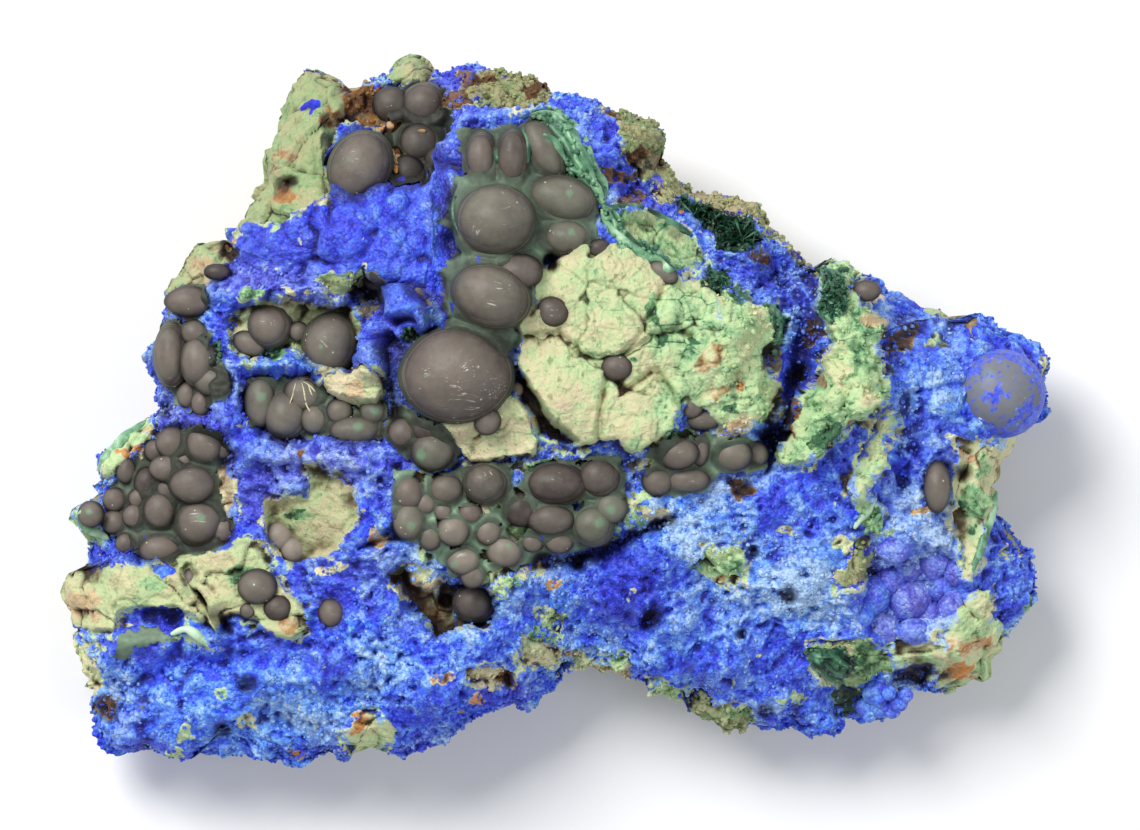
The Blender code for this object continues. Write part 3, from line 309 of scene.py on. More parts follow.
# A grey ball dusted with azurite, and balls that are azurite.
DUSTED_BALL = [(56, 2, 5.4, 5.4, 0, -1.2)]
BLUE_BALLS = {
    "azurite_botryoids": [
        (44.8, -24, 2.8, 2.5, 20, 1.4, 0.9), (41.2, -27.3, 2.5, 2.1, -30, 1.2, 0.9),
        (40, -23.5, 2.0, 2.2, 0, 1.3, 0.1), (48, -19.5, 2.4, 2.0, 40, 1.0, 0.8),
        (42.6, -17.8, 1.9, 1.5, 0, 0.6, 0.7),
        (50, -25, 2.0, 1.5, 70, 0.7, 0.8), (45.2, -28, 2.0, 1.5, 0, 0.9, 0.6),
        (42.2, -21.6, 1.9, 1.7, 0, 1.1, 0.5),
        (50.6, -20.6, 1.6, 1.3, 80, 0.6, 0.8), (38.4, -26.2, 1.5, 1.3, 0, 0.9, 0.1),
        (48.7, -22.5, 1.9, 1.6, 30, 0.9, 0.5), (44.3, -20.3, 1.9, 1.5, 0, 0.8, 0.8),
        (47.2, -25.8, 1.7, 1.4, 0, 0.8, 0.7)],
    "azurite_nugget": [
        (40.5, -35.8, 1.6, 1.6, 0, 0.9, 0.1), (41.3, -37.6, 1.5, 1.3, 0, 1.0, 0.1),
        (43.4, -37.0, 1.1, 1.1, 0, 0.8, 0.0), (39.3, -37.7, 1.1, 1.0, 0, 0.6, 0.1),
        (42.2, -35.9, 0.8, 0.8, 0, 1.2, 0.0),
        (39.8, -38.8, 0.7, 0.7, 0, 0.8, 0.1), (42.6, -38.3, 0.8, 0.7, 0, 1.0, 0.1),
        (40.9, -36.7, 0.8, 0.8, 0, 2.0, 0.0),
        (44.4, -36.2, 0.7, 0.7, 0, 0.8, 0.2)],
}


# ---------------------------------------------------------------- shapes


def sawn(value):
    """A smooth step: 0 below 0, 1 above 1, 3v^2 - 2v^3 between."""
    value = np.clip(value, 0, 1)
    return value * value * (3 - 2 * value)


def lattice(cells, seed):
    """A repeatable number from 0 to 1 for every whole cell: a hash of its three indices."""
    i, j, k = (np.asarray(c).astype(np.int64) for c in cells)
    mixed = (i * 73856093) ^ (j * 19349663) ^ (k * 83492791) ^ (seed * 2654435761)
    mixed = (mixed ^ (mixed >> 13)) * 1274126177
    return ((mixed ^ (mixed >> 16)) & 0xFFFFF) / float(0xFFFFF)


def swell(x, y, z, size, seed):
    """Smooth noise from -1 to 1 with lumps `size` across: cell corners' numbers, eased between."""
    grid = [np.floor(c / size) for c in (x, y, z)]
    part = [c / size - g for c, g in zip((x, y, z), grid)]
    ease = [p * p * (3 - 2 * p) for p in part]
    total = np.zeros_like(x)
    for corner in range(8):
        step = [(corner >> axis) & 1 for axis in range(3)]
        weight = np.ones_like(x)
        for e, s in zip(ease, step):
            weight = weight * (e if s else 1 - e)
        total += weight * lattice([g + s for g, s in zip(grid, step)], seed)
    return total * 2 - 1


def ripple(x, y, size, seed):
    """Flat noise from -1 to 1 with lumps `size` across, for sheets laid out flat."""
    i, j = np.floor(x / size), np.floor(y / size)
    u, v = x / size - i, y / size - j
    u, v = u * u * (3 - 2 * u), v * v * (3 - 2 * v)
    flat = np.zeros_like(i)
    near = lattice((i, j, flat), seed) * (1 - u) + lattice((i + 1, j, flat), seed) * u
    far = lattice((i, j + 1, flat), seed) * (1 - u) + lattice((i + 1, j + 1, flat), seed) * u
    return 2 * (near * (1 - v) + far * v) - 1


def rippled(base, x, y, *waves):
    """A base with flat noise added, each wave given as amount, size and seed."""
    for amount, size, seed in waves:
        base = base + amount * ripple(x, y, size, seed)
    return base


def bell(way, power=2):
    """A bell: 1 where the way is 0, next to nothing from 2 out."""
    return np.exp(-(way**power))


def cells(x, y, size, seed):
    """Scattered points about `size` apart: way to the nearest, way to the second, nearest one's number."""
    i, j = np.floor(x / size), np.floor(y / size)
    first = np.full(x.shape, 9.0)
    second = np.full(x.shape, 9.0)
    number = np.zeros(x.shape)
    for across in (-1, 0, 1):
        for along in (-1, 0, 1):
            cell = (i + across, j + along, np.zeros_like(i))
            own = lattice(cell, seed)
            px = cell[0] + 0.12 + 0.76 * own
            py = cell[1] + 0.12 + 0.76 * lattice(cell, seed + 7)
            way = np.hypot(x / size - px, y / size - py)
            closer = way < first
            second = np.where(closer, first, np.minimum(second, way))
            number = np.where(closer, own, number)
            first = np.where(closer, way, first)
    return first, second, number


def seams(x, y, size, seed, width):
    """The seams midway between scattered points, 1 on a seam, and the nearest point's number."""
    first, second, number = cells(x, y, size, seed)
    return bell((second - first) * size / width), number


def domes(x, y, size, seed):
    """Rounded lumps that meet in creases: the upper part of a ball on each scattered point."""
    first, _, number = cells(x, y, size, seed)
    return np.sqrt(np.clip(1 - (first / 0.85) ** 2, 0, 1)) * (0.6 + 0.4 * number)


def distance(x, y, course):
    """Shortest way from each point to a line through the points of a course."""
    best = np.full(x.shape, 1e9)
    for (ax, ay), (bx, by) in zip(course[:-1], course[1:]):
        dx, dy = bx - ax, by - ay
        share = np.clip(((x - ax) * dx + (y - ay) * dy) / (dx * dx + dy * dy), 0, 1)
        best = np.minimum(best, np.hypot(x - ax - share * dx, y - ay - share * dy))
    return best


def inside(x, y, outline):
    """True where a point lies within a closed outline: it crosses the outline an odd number of times."""
    odd = np.zeros(x.shape, bool)
    for (ax, ay), (bx, by) in zip(outline, outline[1:] + outline[:1]):
        if ay == by:
            continue
        crosses = (ay > y) != (by > y)
        odd ^= crosses & (x < ax + (y - ay) / (by - ay) * (bx - ax))
    return odd


def close_to(x, y, points, margin):
    """Indices of the points that lie within a margin of the box round a list of points."""
    px, py = zip(*points)
    near = (x > min(px) - margin) & (x < max(px) + margin) & (y > min(py) - margin) & (y < max(py) + margin)
    return np.nonzero(near)


def depth_in(x, y, outline, margin=4.0):
    """Way to an outline's edge, positive within it; further out than the margin it stays at -margin."""
    depth = np.full(x.shape, -margin)
    near = close_to(x, y, outline, margin)
    if near[0].size:
        way = distance(x[near], y[near], outline + outline[:1])
        depth[near] = np.where(inside(x[near], y[near], outline), way, -np.minimum(way, margin))
    return depth


def macro(x, y):
    """The face's broad height: the levels' mean, weighed by one over the squared square of the way."""
    total = np.zeros_like(x)
    weights = np.zeros_like(x)
    for lx, ly, lz in LEVELS:
        weight = 1 / ((x - lx) ** 2 + (y - ly) ** 2 + 6.0) ** 2
        total += weight * lz
        weights += weight
    return total / weights


def ground_height(x, y):
    """The face without its balls: broad height, slabs, pockets, ridges, furrows and pits."""
    z = macro(x, y)
    for offset, soft, outline in PATCHES.values():
        z += offset * sawn(depth_in(x, y, outline) / (2 * soft) + 0.5)
    for height, half, course in COURSES.values():
        near = close_to(x, y, course, half * 3)
        if near[0].size:
            z[near] += height * np.exp(-((distance(x[near], y[near], course) / half) ** 2))
    for px, py, radius, deep in PITS:
        near = close_to(x, y, [(px, py)], radius * 2)
        if near[0].size:
            z[near] -= deep * np.exp(-((np.hypot(x[near] - px, y[near] - py) / radius) ** 4))
    return z


TURNS = np.linspace(0, 2 * math.pi, 5760, endpoint=False)


def outline_reach():
    """Outermost crossing of the outline with the ray at each bearing from the centre."""
    dx, dy = np.cos(TURNS), np.sin(TURNS)
    reach = np.zeros_like(TURNS)
    for (ax, ay), (bx, by) in zip(OUTLINE, OUTLINE[1:] + OUTLINE[:1]):
        ax, ay, bx, by = ax - CENTRE[0], ay - CENTRE[1], bx - CENTRE[0], by - CENTRE[1]
        ex, ey = bx - ax, by - ay
        cross = dx * ey - dy * ex
        cross = np.where(np.abs(cross) < 1e-9, 1e-9, cross)
        way = (ax * ey - ay * ex) / cross
        share = (ax * dy - ay * dx) / cross
        hit = (way > 0) & (share >= -1e-6) & (share <= 1 + 1e-6)
        reach = np.maximum(reach, np.where(hit, way, 0))
    return reach


REACH = outline_reach()
EASED = np.mean([np.roll(REACH, shift * 16) for shift in range(-7, 8)], axis=0)


def reach_at(turn, table):
    """A value from a table by bearing."""
    return np.interp(turn, TURNS, table, period=2 * math.pi)


def broken_wall(turn, z, where):
    """Reach of the wall once its broken faces, each a leaning plane, have cut it back."""
    ux, uy = np.cos(turn), np.sin(turn)
    for bearing, inset, lean in BREAKS:
        angles = np.radians(np.array([bearing - 6.0, float(bearing), bearing + 6.0]))
        reach = reach_at(angles, EASED)
        px, py = reach * np.cos(angles), reach * np.sin(angles)
        nx, ny = py[2] - py[0], px[0] - px[2]
        size = math.hypot(nx, ny)
        nx, ny = nx / size, ny / size
        facing = nx * ux + ny * uy
        aside = np.abs(np.angle(np.exp(1j * (turn - angles[1]))))
        limit = (nx * px[1] + ny * py[1] - inset + lean * z) / np.maximum(facing, 0.35)
        limit += 45 * np.clip(aside - 0.2, 0, None)
        where = np.where(facing > 0.35, np.minimum(where, limit), where)
    return where


def disc_from_square(a, b):
    """Carry the square -1..1 onto the unit disc in rings: returns the ring's radius and its bearing."""
    ring = np.maximum(np.abs(a), np.abs(b))
    safe = np.where(ring == 0, 1, ring)
    turn = np.select(
        [(a >= np.abs(b)) & (ring > 0), (b >= np.abs(a)) & (ring > 0), (-a >= np.abs(b)) & (ring > 0)],
        [b / safe, 2 - a / safe, 4 - b / safe],
        6 + a / safe,
    )
    return ring, (turn * math.pi / 4) % (2 * math.pi)


def rim_height(turn):
    """Height of the widest line of the rock at each bearing."""
    table = RIM_SHARE * macro(RIM_X, RIM_Y) + 2.4 * swell(RIM_X, RIM_Y, RIM_X * 0, 13.0, 21)
    return reach_at(turn, table)


RIM_X = CENTRE[0] + REACH * np.cos(TURNS)
RIM_Y = CENTRE[1] + REACH * np.sin(TURNS)


def wall_point(turn, z, rim_z):
    """Reach of the wall at a height under the rim, as the solid's wall has it."""
    down = np.clip(1 - z / rim_z, 0, 1)
    reach, eased = reach_at(turn, REACH), reach_at(turn, EASED)
    upper = reach + (eased - reach) * sawn(down / 0.6)
    where = reach + (broken_wall(turn, z, upper) - reach) * sawn(down / 0.25)
    x, y = CENTRE[0] + where * np.cos(turn), CENTRE[1] + where * np.sin(turn)
    fade = np.sin(math.pi * np.clip(down, 0, 0.999)) ** 0.7
    rough = 1.5 * swell(x, y, z, 13.0, 35) + swell(x, y, z, 6.0, 31) + 0.6 * swell(x, y, z, 3.2, 33)
    return where + WALL_ROUGH * fade * (rough - 0.9)


class Sheet:
    """The face and upper wall on a square grid carried onto a disc: places, normals, flat places."""

    def __init__(self, count):
        steps = np.linspace(-1, 1, count)
        a, b = np.meshgrid(steps, steps, indexing="ij")
        ring, turn = disc_from_square(a, b)
        reach = reach_at(turn, REACH)
        eased = reach_at(turn, EASED)
        reach_here = eased + (reach - eased) * np.clip(ring / 0.75, 0, 1) ** 4
        spread = reach_here - SHOULDER + SHOULDER_WAY + SKIRT
        out = ring * spread
        inner = reach_here - SHOULDER
        over = np.clip((out - inner) / SHOULDER_WAY, 0, 1)
        self.turn = turn
        self.below = np.maximum(out - inner - SHOULDER_WAY, 0)
        level = np.minimum(out, inner) + SHOULDER * np.sin(over * math.pi / 2)
        x, y = CENTRE[0] + level * np.cos(turn), CENTRE[1] + level * np.sin(turn)
        self.flat = CENTRE[0] + out * np.cos(turn), CENTRE[1] + out * np.sin(turn)
        rim_z = rim_height(turn)
        way = distance_table(x, y)
        rounded = np.sqrt(np.clip(1 - (1 - np.clip(way / SHOULDER, 0, 1)) ** 2, 0, 1))
        rounded = np.where(self.below > 0, 0, rounded)
        self.plan = x.copy(), y.copy()
        z = rim_z + (ground_height(x, y) - rim_z) * rounded
        wall_z = np.maximum(rim_z - self.below, 0.4)
        on_wall = self.below > 0
        where = level.copy()
        where[on_wall] = wall_point(turn[on_wall], wall_z[on_wall], rim_z[on_wall])
        self.x, self.y = CENTRE[0] + where * np.cos(turn), CENTRE[1] + where * np.sin(turn)
        self.z = np.where(on_wall, wall_z, z)
        self.way = way
        index = np.arange(count * count).reshape(count, count)
        self.quads = np.stack(
            [index[:-1, :-1], index[1:, :-1], index[1:, 1:], index[:-1, 1:]], -1).reshape(-1, 4)
        normals = grid_normals(self.x, self.y, self.z)
        soft = np.stack([blurred(normals[..., axis], count // 90) for axis in range(3)], -1)
        self.normals = soft / np.linalg.norm(soft, axis=-1, keepdims=True)


def distance_table(x, y):
    """Way to the outline's edge, from a half-millimetre table."""
    step = 0.5
    gx, gy = np.arange(-66, 66 + step, step), np.arange(-48, 48 + step, step)
    tx, ty = np.meshgrid(gx, gy, indexing="ij")
    table = distance(tx.ravel(), ty.ravel(), OUTLINE + OUTLINE[:1]).reshape(tx.shape)
    u = np.clip((x - gx[0]) / step, 0, len(gx) - 1.001)
    v = np.clip((y - gy[0]) / step, 0, len(gy) - 1.001)
    i, j = u.astype(int), v.astype(int)
    u, v = u - i, v - j
    near = table[i, j] * (1 - u) + table[i + 1, j] * u
    far = table[i, j + 1] * (1 - u) + table[i + 1, j + 1] * u
    return near * (1 - v) + far * v


def grid_normals(x, y, z):
    """Unit normals of a grid, from the cross product of its two slopes."""
    place = np.stack([x, y, z], -1)
    normal = np.cross(np.gradient(place, axis=0), np.gradient(place, axis=1))
    size = np.linalg.norm(normal, axis=-1, keepdims=True)
    return normal / np.maximum(size, 1e-9)


def blurred(values, radius):
    """A grid's running mean over a square, taken twice."""
    for _ in range(2):
        for axis in (0, 1):
            padded = np.concatenate(
                [np.repeat(values.take([0], axis), radius + 1, axis), values,
                 np.repeat(values.take([-1], axis), radius, axis)], axis)
            total = np.cumsum(padded, axis=axis)
            count = values.shape[axis]
            high = total.take(range(2 * radius + 1, 2 * radius + 1 + count), axis)
            low = total.take(range(0, count), axis)
            values = (high - low) / (2 * radius + 1)
    return values


# ---------------------------------------------------------------- where each finish lies

# Pale rock: name, greenness, rust, peach, roughness of the surface, outline.
PALE_PLACES = [
    ("top left knob", 0.55, 0.12, 0.1, 0.3, [
        (-31.5, 43.6), (-27.2, 42.4), (-26.5, 40.2), (-26.7, 37), (-27.5, 35), (-28, 33), (-28.8, 30.5),
        (-28.5, 26.3), (-32, 24.5), (-34.5, 23.3), (-38.5, 22.7), (-43, 22.8), (-41, 27), (-38, 34),
        (-35, 41)]),
    ("top knob", 0.55, 0.1, 0.0, 0.3, [
        (-21.2, 43), (-19.5, 45), (-16.5, 45), (-15.2, 43), (-16, 41), (-19, 40.5), (-21, 41.5)]),
    ("pocket wall", 0.1, 0.9, 0.2, 0.7, [
        (-27, 41.5), (-22, 41.5), (-20.5, 39.5), (-21, 36), (-24, 35.5), (-27, 36)]),
    ("top ridge", 0.45, 0.35, 0.0, 0.8, [
        (-8, 43.5), (-4.7, 42.8), (0.8, 40), (-1.5, 38.5), (-4, 37.5), (-7, 37.2), (-9.5, 38.3),
        (-11.3, 38), (-12, 40), (-10.5, 40.3)]),
    ("corner block", 0.55, 0.3, 0.0, 0.7, [
        (6, 38.5), (9, 38.6), (13, 37.5), (15.3, 34.5), (14.5, 31.4), (12.5, 29), (11, 28), (10.5, 30),
        (9, 31), (8, 33), (8, 35)]),
    ("right rim", 0.35, 0.3, 0.25, 0.7, [
        (13, 31.8), (16, 31), (17.5, 29), (23.5, 28), (27, 27), (27.5, 24.5), (31, 21.5), (33, 18.3),
        (31.5, 17.2), (28, 21), (25.5, 23), (24, 24.3), (21, 25), (18.5, 25.5), (17, 27), (15, 26.5),
        (13, 25.2), (12.2, 27.5)]),
    ("central slab", 0.42, 0.0, 0.0, 0.15, [
        (3, 20.5), (8, 20.5), (10, 19.2), (12.5, 18), (15, 16.3), (18, 16), (20, 14.5), (20.5, 9),
        (19, 3), (19.5, -1), (17, 0.5), (15, -0.5), (14.5, -2.5), (12.5, -4.8), (10, -5.5), (8, -4.5),
        (7.5, -3.3), (5.5, -4), (3, -4), (0.5, -1.5), (-2, 1.5), (-4.5, 5), (-5, 6), (-4.3, 9),
        (-5, 11), (-3, 13), (-2.8, 15.5), (-2.5, 17), (0.5, 17.7), (1, 19)]),
    ("slab's green half", 0.66, 0.0, 0.0, 0.35, [
        (12.5, 18.5), (15, 16.3), (18, 16), (20, 14.5), (20.5, 9), (19, 3), (19.5, -1), (17, 0.5),
        (15, -0.5), (14.5, -2.5), (13.5, -4.5), (12.3, 0), (12.8, 4), (11.8, 8), (11, 11), (12.5, 14.5)]),
    ("slab's rough end", 0.62, 0.06, 0.0, 0.6, [
        (20, 14.5), (22.5, 14.5), (25, 13), (27.5, 13), (28, 10.5), (27.5, 8.5), (26, 7), (26.2, 5),
        (28, 3), (28, 0), (27, -1.8), (25, -1.5), (24, -3), (21.5, -3.3), (19.5, -1), (19, 3),
        (20.5, 9)]),
    ("slab under the great ball", 0.25, 0.0, 0.1, 0.3, [
        (-14.5, -1.5), (-11, -1.3), (-8, 0), (-6, 1.7), (-4.3, 0.7), (-3.3, -0.8), (-2.3, -3.5),
        (-3, -5.5), (-6, -5.8), (-10.5, -6.5), (-11.5, -5.5), (-13, -3.5)]),
    ("gap's floor", 0.45, 0.5, 0.1, 0.5, [
        (-5.2, 4.5), (-3.8, 4.8), (-1.6, 1.6), (0.8, -1.6), (3, -3.9), (5.5, -3.9), (2, -5.3), (-2, -3.4),
        (-4.4, 1)]),
    ("slab fold", 0.82, 0.06, 0.0, 0.4, [
        (7, 25.2), (9, 25.3), (12, 24.7), (15, 23.2), (17.7, 21.4), (18.7, 19), (17.7, 16.8), (15.3, 17),
        (13, 18.6), (10.8, 19.8), (8.8, 21.4), (7.6, 23)]),
    ("green slab", 0.75, 0.15, 0.0, 0.9, [
        (33, 17.5), (34.7, 19.2), (37.5, 18.8), (38.3, 16.5), (37, 15.5), (38, 14), (40, 13), (41, 11.5),
        (41.3, 9.5), (40.8, 8), (41.2, 6), (41.8, 4.5), (41.8, 1.5), (40.5, 0), (38, -1.3), (36, -3),
        (34.5, -4.5), (33, -6.3), (30.5, -7), (28.5, -7.3), (27.8, -6), (29, -4), (30, -1),
        (30.5, 1.5), (32, 3.3), (33.5, 4.5), (33.5, 6.5), (35, 8.5), (34, 10.5), (32.7, 12),
        (32.8, 14)]),
    ("pale ridge", 0.55, 0.1, 0.0, 0.6, [
        (40, -1), (43, -0.5), (43.2, -2.5), (42, -5), (41.5, -7.5), (40, -9.5), (38.5, -11.2),
        (37, -10.8), (36.7, -9.5), (38, -6), (39.5, -3.5)]),
    ("fibrous patch", 0.9, 0.0, 0.0, 0.8, [
        (37, -11), (39.5, -10.5), (41.3, -13), (41.3, -15.5), (39, -15.8), (37.5, -13.5)]),
    ("olive patch", 0.45, 0.35, 0.0, 0.6, [
        (37, -16.3), (39.3, -16), (39.8, -19), (39, -21), (37.5, -22.8), (35.3, -22.5), (35.3, -20.8),
        (36.8, -19)]),
    ("green knot", 0.72, 0.06, 0.0, 0.7, [
        (17.6, -18.2), (18.6, -16.9), (20.6, -17.2), (22, -16.8), (24, -17.9), (24.2, -19.6), (23, -20.2),
        (22.6, -21.8), (20.2, -22.2), (18.4, -21), (17.4, -20)]),
    ("right matrix", 0.32, 0.0, 0.12, 0.4, [
        (50.3, -3), (54, -3.5), (55, -4.5), (59.5, -2), (59, -6), (57.5, -8), (57, -11), (54.5, -15),
        (53.5, -19), (52, -21.8), (51, -21), (51.5, -18.5), (50.5, -16), (49.5, -15.5), (49.5, -13),
        (50.5, -12), (49.5, -10), (49.8, -7.5), (51, -6)]),
    ("peach ledge", 0.6, 0.0, 0.22, 0.5, [
        (49, -29.8), (47.5, -28.5), (50, -27.5), (50.5, -25), (53, -23), (55.5, -23), (55.5, -26),
        (57, -28), (59, -31), (57.5, -34), (54, -37.5), (50, -37.5), (48, -34.5), (47, -33), (43, -33),
        (41.5, -30), (43, -28.7), (46, -29.5)]),
    ("green bottom", 0.8, 0.25, 0.0, 0.9, [
        (31.5, -29), (36, -28.8), (39.5, -28.8), (41.5, -31), (42.5, -33), (39.7, -34), (38.3, -35.8),
        (35, -35.3), (34, -34), (32.3, -32.5), (31.5, -31)]),
    ("left ledge", 0.45, 0.2, 0.25, 0.4, [
        (-65, -23.5), (-64, -21.5), (-59, -20), (-53, -20), (-50, -19.8), (-47.5, -18.5), (-44, -18),
        (-41, -17.3), (-38, -16.7), (-36.3, -18.5), (-35.2, -21), (-33.5, -23), (-31.5, -24.3),
        (-30.7, -26), (-31.2, -28), (-33.5, -29), (-36, -28), (-38, -26.5), (-41, -26), (-43, -27.5),
        (-45, -26), (-48, -25), (-52, -25), (-55, -25.5), (-56, -28), (-59, -28), (-63.4, -28)]),
    ("tan pocket", 0.36, 0.2, 0.12, 0.06, [
        (-31.5, -7), (-29, -7.2), (-27.5, -8.5), (-25.5, -9), (-24.8, -11), (-24.8, -14.5), (-26, -15.5),
        (-28, -17.5), (-30.5, -18.5), (-33, -19.7), (-34.7, -18.5), (-36.2, -16.3), (-36.3, -12),
        (-34, -11.5), (-31.5, -11), (-30.5, -9)]),
    ("hole's wall", 0.35, 0.5, 0.1, 0.25, [
        (-20.5, -21), (-19, -20.2), (-18, -22.3), (-15, -23.3), (-14, -21.5), (-13, -23), (-13, -26),
        (-8, -27), (-12, -27.6), (-13.5, -28.5), (-15, -28.5), (-16, -27), (-18.5, -24.3)]),
    ("middle pocket floor", 0.45, 0.1, 0.0, 0.4, [
        (-40.5, 11), (-39, 13.3), (-34, 13.3), (-30, 13.3), (-26, 12.5), (-24.5, 11), (-24, 8),
        (-25, 5.5), (-28, 5.5), (-33, 8), (-38, 6.5), (-40.5, 8)]),
    ("green island", 0.6, 0.35, 0.0, 0.7, [
        (-29.5, 16.5), (-28, 17.2), (-25, 17), (-23.5, 18), (-23.2, 15.5), (-25, 14), (-27.5, 14),
        (-29, 15.3)]),
    ("chain's cream", 0.3, 0.15, 0.15, 0.2, [
        (-28.8, 4.2), (-26, 5.4), (-23.5, 5.6), (-21.5, 4), (-21.2, 2), (-22.2, 0.4), (-24.5, -0.2),
        (-27, 0.6), (-28.6, 1.6)]),
    ("left knob", 0.4, 0.25, 0.05, 0.3, [
        (-45.3, 22.5), (-42, 22.7), (-40.5, 20.5), (-39.5, 19.5), (-41, 18), (-43, 17.5), (-44, 16),
        (-45, 15.2), (-50.5, 14.6), (-49.5, 17.5), (-47, 21)]),
    ("mint band", 0.55, 0.25, 0.05, 0.5, [
        (-50.8, -1), (-53, -2.2), (-56.2, -4.6), (-58.8, -8), (-57, -9.3), (-55.5, -7.9), (-53, -5.2),
        (-50.7, -3.2)]),
    ("mint tip", 0.7, 0.0, 0.0, 0.5, [
        (-60, -11.3), (-63, -13.8), (-61.5, -16), (-59, -16.9), (-57, -17), (-56.8, -15.5), (-58, -15),
        (-60, -14.5)]),
    ("cream strip", 0.15, 0.35, 0.3, 0.5, [
        (-42, -6.5), (-40.5, -5.5), (-40, -9), (-40.2, -13), (-41, -14), (-42.3, -12), (-42.8, -9)]),
    ("bottom chunk", 0.5, 0.25, 0.15, 0.4, [
        (-27.5, -40.7), (-26, -39.5), (-24.2, -38.2), (-21, -38.3), (-20.3, -39.5), (-20.5, -42),
        (-21.5, -44.6), (-24, -44.6), (-25.8, -44), (-26.5, -42)]),
    ("olive bits", 0.35, 0.4, 0.0, 0.8, [
        (-11, -32.5), (-8, -32), (-5.5, -32.5), (-5.8, -34.5), (-8.5, -35), (-10.5, -34.5)]),
    ("yellow bits", 0.3, 0.25, 0.1, 0.8, [
        (-4.7, -29), (-1.5, -28.8), (0.3, -30), (0, -33), (-2.5, -32.5), (-4.3, -31.5)]),
    ("yellow green bits", 0.6, 0.15, 0.0, 0.8, [
        (-3, -25.5), (0, -24.5), (1.5, -26), (0.5, -27.7), (-2, -27.5)]),
    ("bottom edge", 0.6, 0.25, 0.05, 0.8, [
        (16.5, -35.3), (20, -36.5), (24, -37), (25, -39.5), (24, -42.5), (20, -43), (17, -40)]),
    ("bottom bulges", 0.55, 0.2, 0.0, 0.8, [
        (11.5, -34.3), (14, -34.8), (16, -35.3), (16.5, -37.8), (13, -38), (11.5, -36.5)]),
    ("bay's rim", 0.4, 0.35, 0.0, 0.8, [
        (2, -30.8), (6, -31.5), (9.5, -31.3), (10, -34.8), (5, -35), (1.5, -34)]),
    ("outer edge", 0.35, 0.2, 0.2, 0.6, [
        (-61.5, -29), (-59, -29), (-57.2, -34), (-58.5, -36.5), (-61, -35), (-63, -30)]),
    ("lens crest", 0.5, 0.05, 0.0, 0.4, [
        (-48.6, -28.9), (-46, -27.3), (-43.8, -28.3), (-42.6, -30.6), (-44.6, -29.4), (-46.4, -28.4)]),
]

FLAKE_MARGIN = 0.6  # how far a flake reaches past its outline, over or under the next
# Flakes of the central slab: how far each stands up, its tilt along x and y, outline.
FLAKES = [
    (0.9, 0.05, -0.09, [(-4.8, 5.5), (-3, 8.8), (0, 9), (2.5, 6), (6, 4), (7, 2), (6, -0.3), (5, -2.5),
                        (3, -4), (1, -1.8), (-2, 1.5)]),
    (0.5, 0.08, 0.05, [(-2.7, 16.5), (0.5, 17.5), (3, 20.3), (4.2, 18.2), (3.4, 15.4), (1.8, 13.4),
                       (-1, 12.2),
                       (-3.2, 11.6), (-3, 13.5)]),
    (0.8, -0.08, 0.06, [(-3.4, 11.2), (-1, 11.8), (2, 13.2), (4, 12.4), (4.6, 10), (3.2, 8.2), (0.6, 9.8),
                        (-3.5, 9.6)]),
    (1.1, 0.06, -0.06, [(4.4, 15.2), (7, 15), (8.2, 12.5), (10, 10.5), (11, 8.5), (8, 7), (4, 7.2),
                        (3.8, 8),
                        (5.2, 10.2), (4.4, 12.6)]),
    (0.9, -0.05, 0.1, [(5, 18.5), (6.8, 19.6), (9.5, 20), (12.5, 17.5), (13.5, 15), (10.5, 14.4), (7, 15.4),
                       (4.8, 16.2)]),
    (0.7, 0.08, 0.0, [(8.6, 12.8), (11, 14), (13.6, 14.6), (16, 13.6), (16.4, 11), (14, 10), (11.6, 9.2)]),
    (0.6, 0.0, 0.1, [(7, 6.6), (9.5, 7.4), (12, 8.3), (12.5, 5), (11, 3), (8.5, 2.5), (9.5, 5)]),
    (0.9, 0.1, 0.05, [(12.4, 5.8), (15, 4.6), (16.2, 2.5), (15, 1.5), (13, 3.5)]),
    (1.2, -0.06, -0.05, [(7, 1), (9.2, 1.6), (11.5, 1), (12.2, -1.2), (11.4, -3.4), (10, -5), (8, -3.7),
                         (5.8, -3),
                         (6.4, -1)]),
    (0.8, 0.08, 0.06, [(12.2, 1), (13, 2.8), (15, 1), (15, -2), (13, -4.3), (11.9, -3), (12.7, -1.2)]),
    (0.7, 0.05, -0.1, [(13.2, 8.8), (16, 10), (19, 9), (19.6, 6.4), (17, 4.6), (15.4, 5.2), (13.2, 6.4)]),
    (0.8, -0.08, 0.0, [(17, 13.2), (19.4, 14.6), (21.6, 13.2), (21, 10.6), (18.4, 10)]),
    (0.9, 0.0, 0.08, [(16.6, 3.8), (19, 5.4), (21.6, 4.2), (21, 1.4), (18, 0.6), (16.8, 1.8)]),
    (0.8, 0.06, 0.06, [(21.6, 9.8), (24.4, 11.4), (26.6, 10), (25.4, 7.2), (22, 6.8)]),
    (0.6, -0.1, 0.1, [(-13.5, -2), (-11, -1.7), (-8.4, -0.4), (-6, 1.2), (-4.6, -0.4), (-6.6, -2.6),
                      (-9.4, -3.4),
                      (-12, -3.4)]),
    (0.8, 0.05, -0.1, [(-12.4, -3.9), (-9.4, -3.8), (-6.4, -3), (-4.2, -0.9), (-3, -3.6), (-3.4, -5.2),
                       (-6, -5.5),
                       (-10.3, -6)]),
]

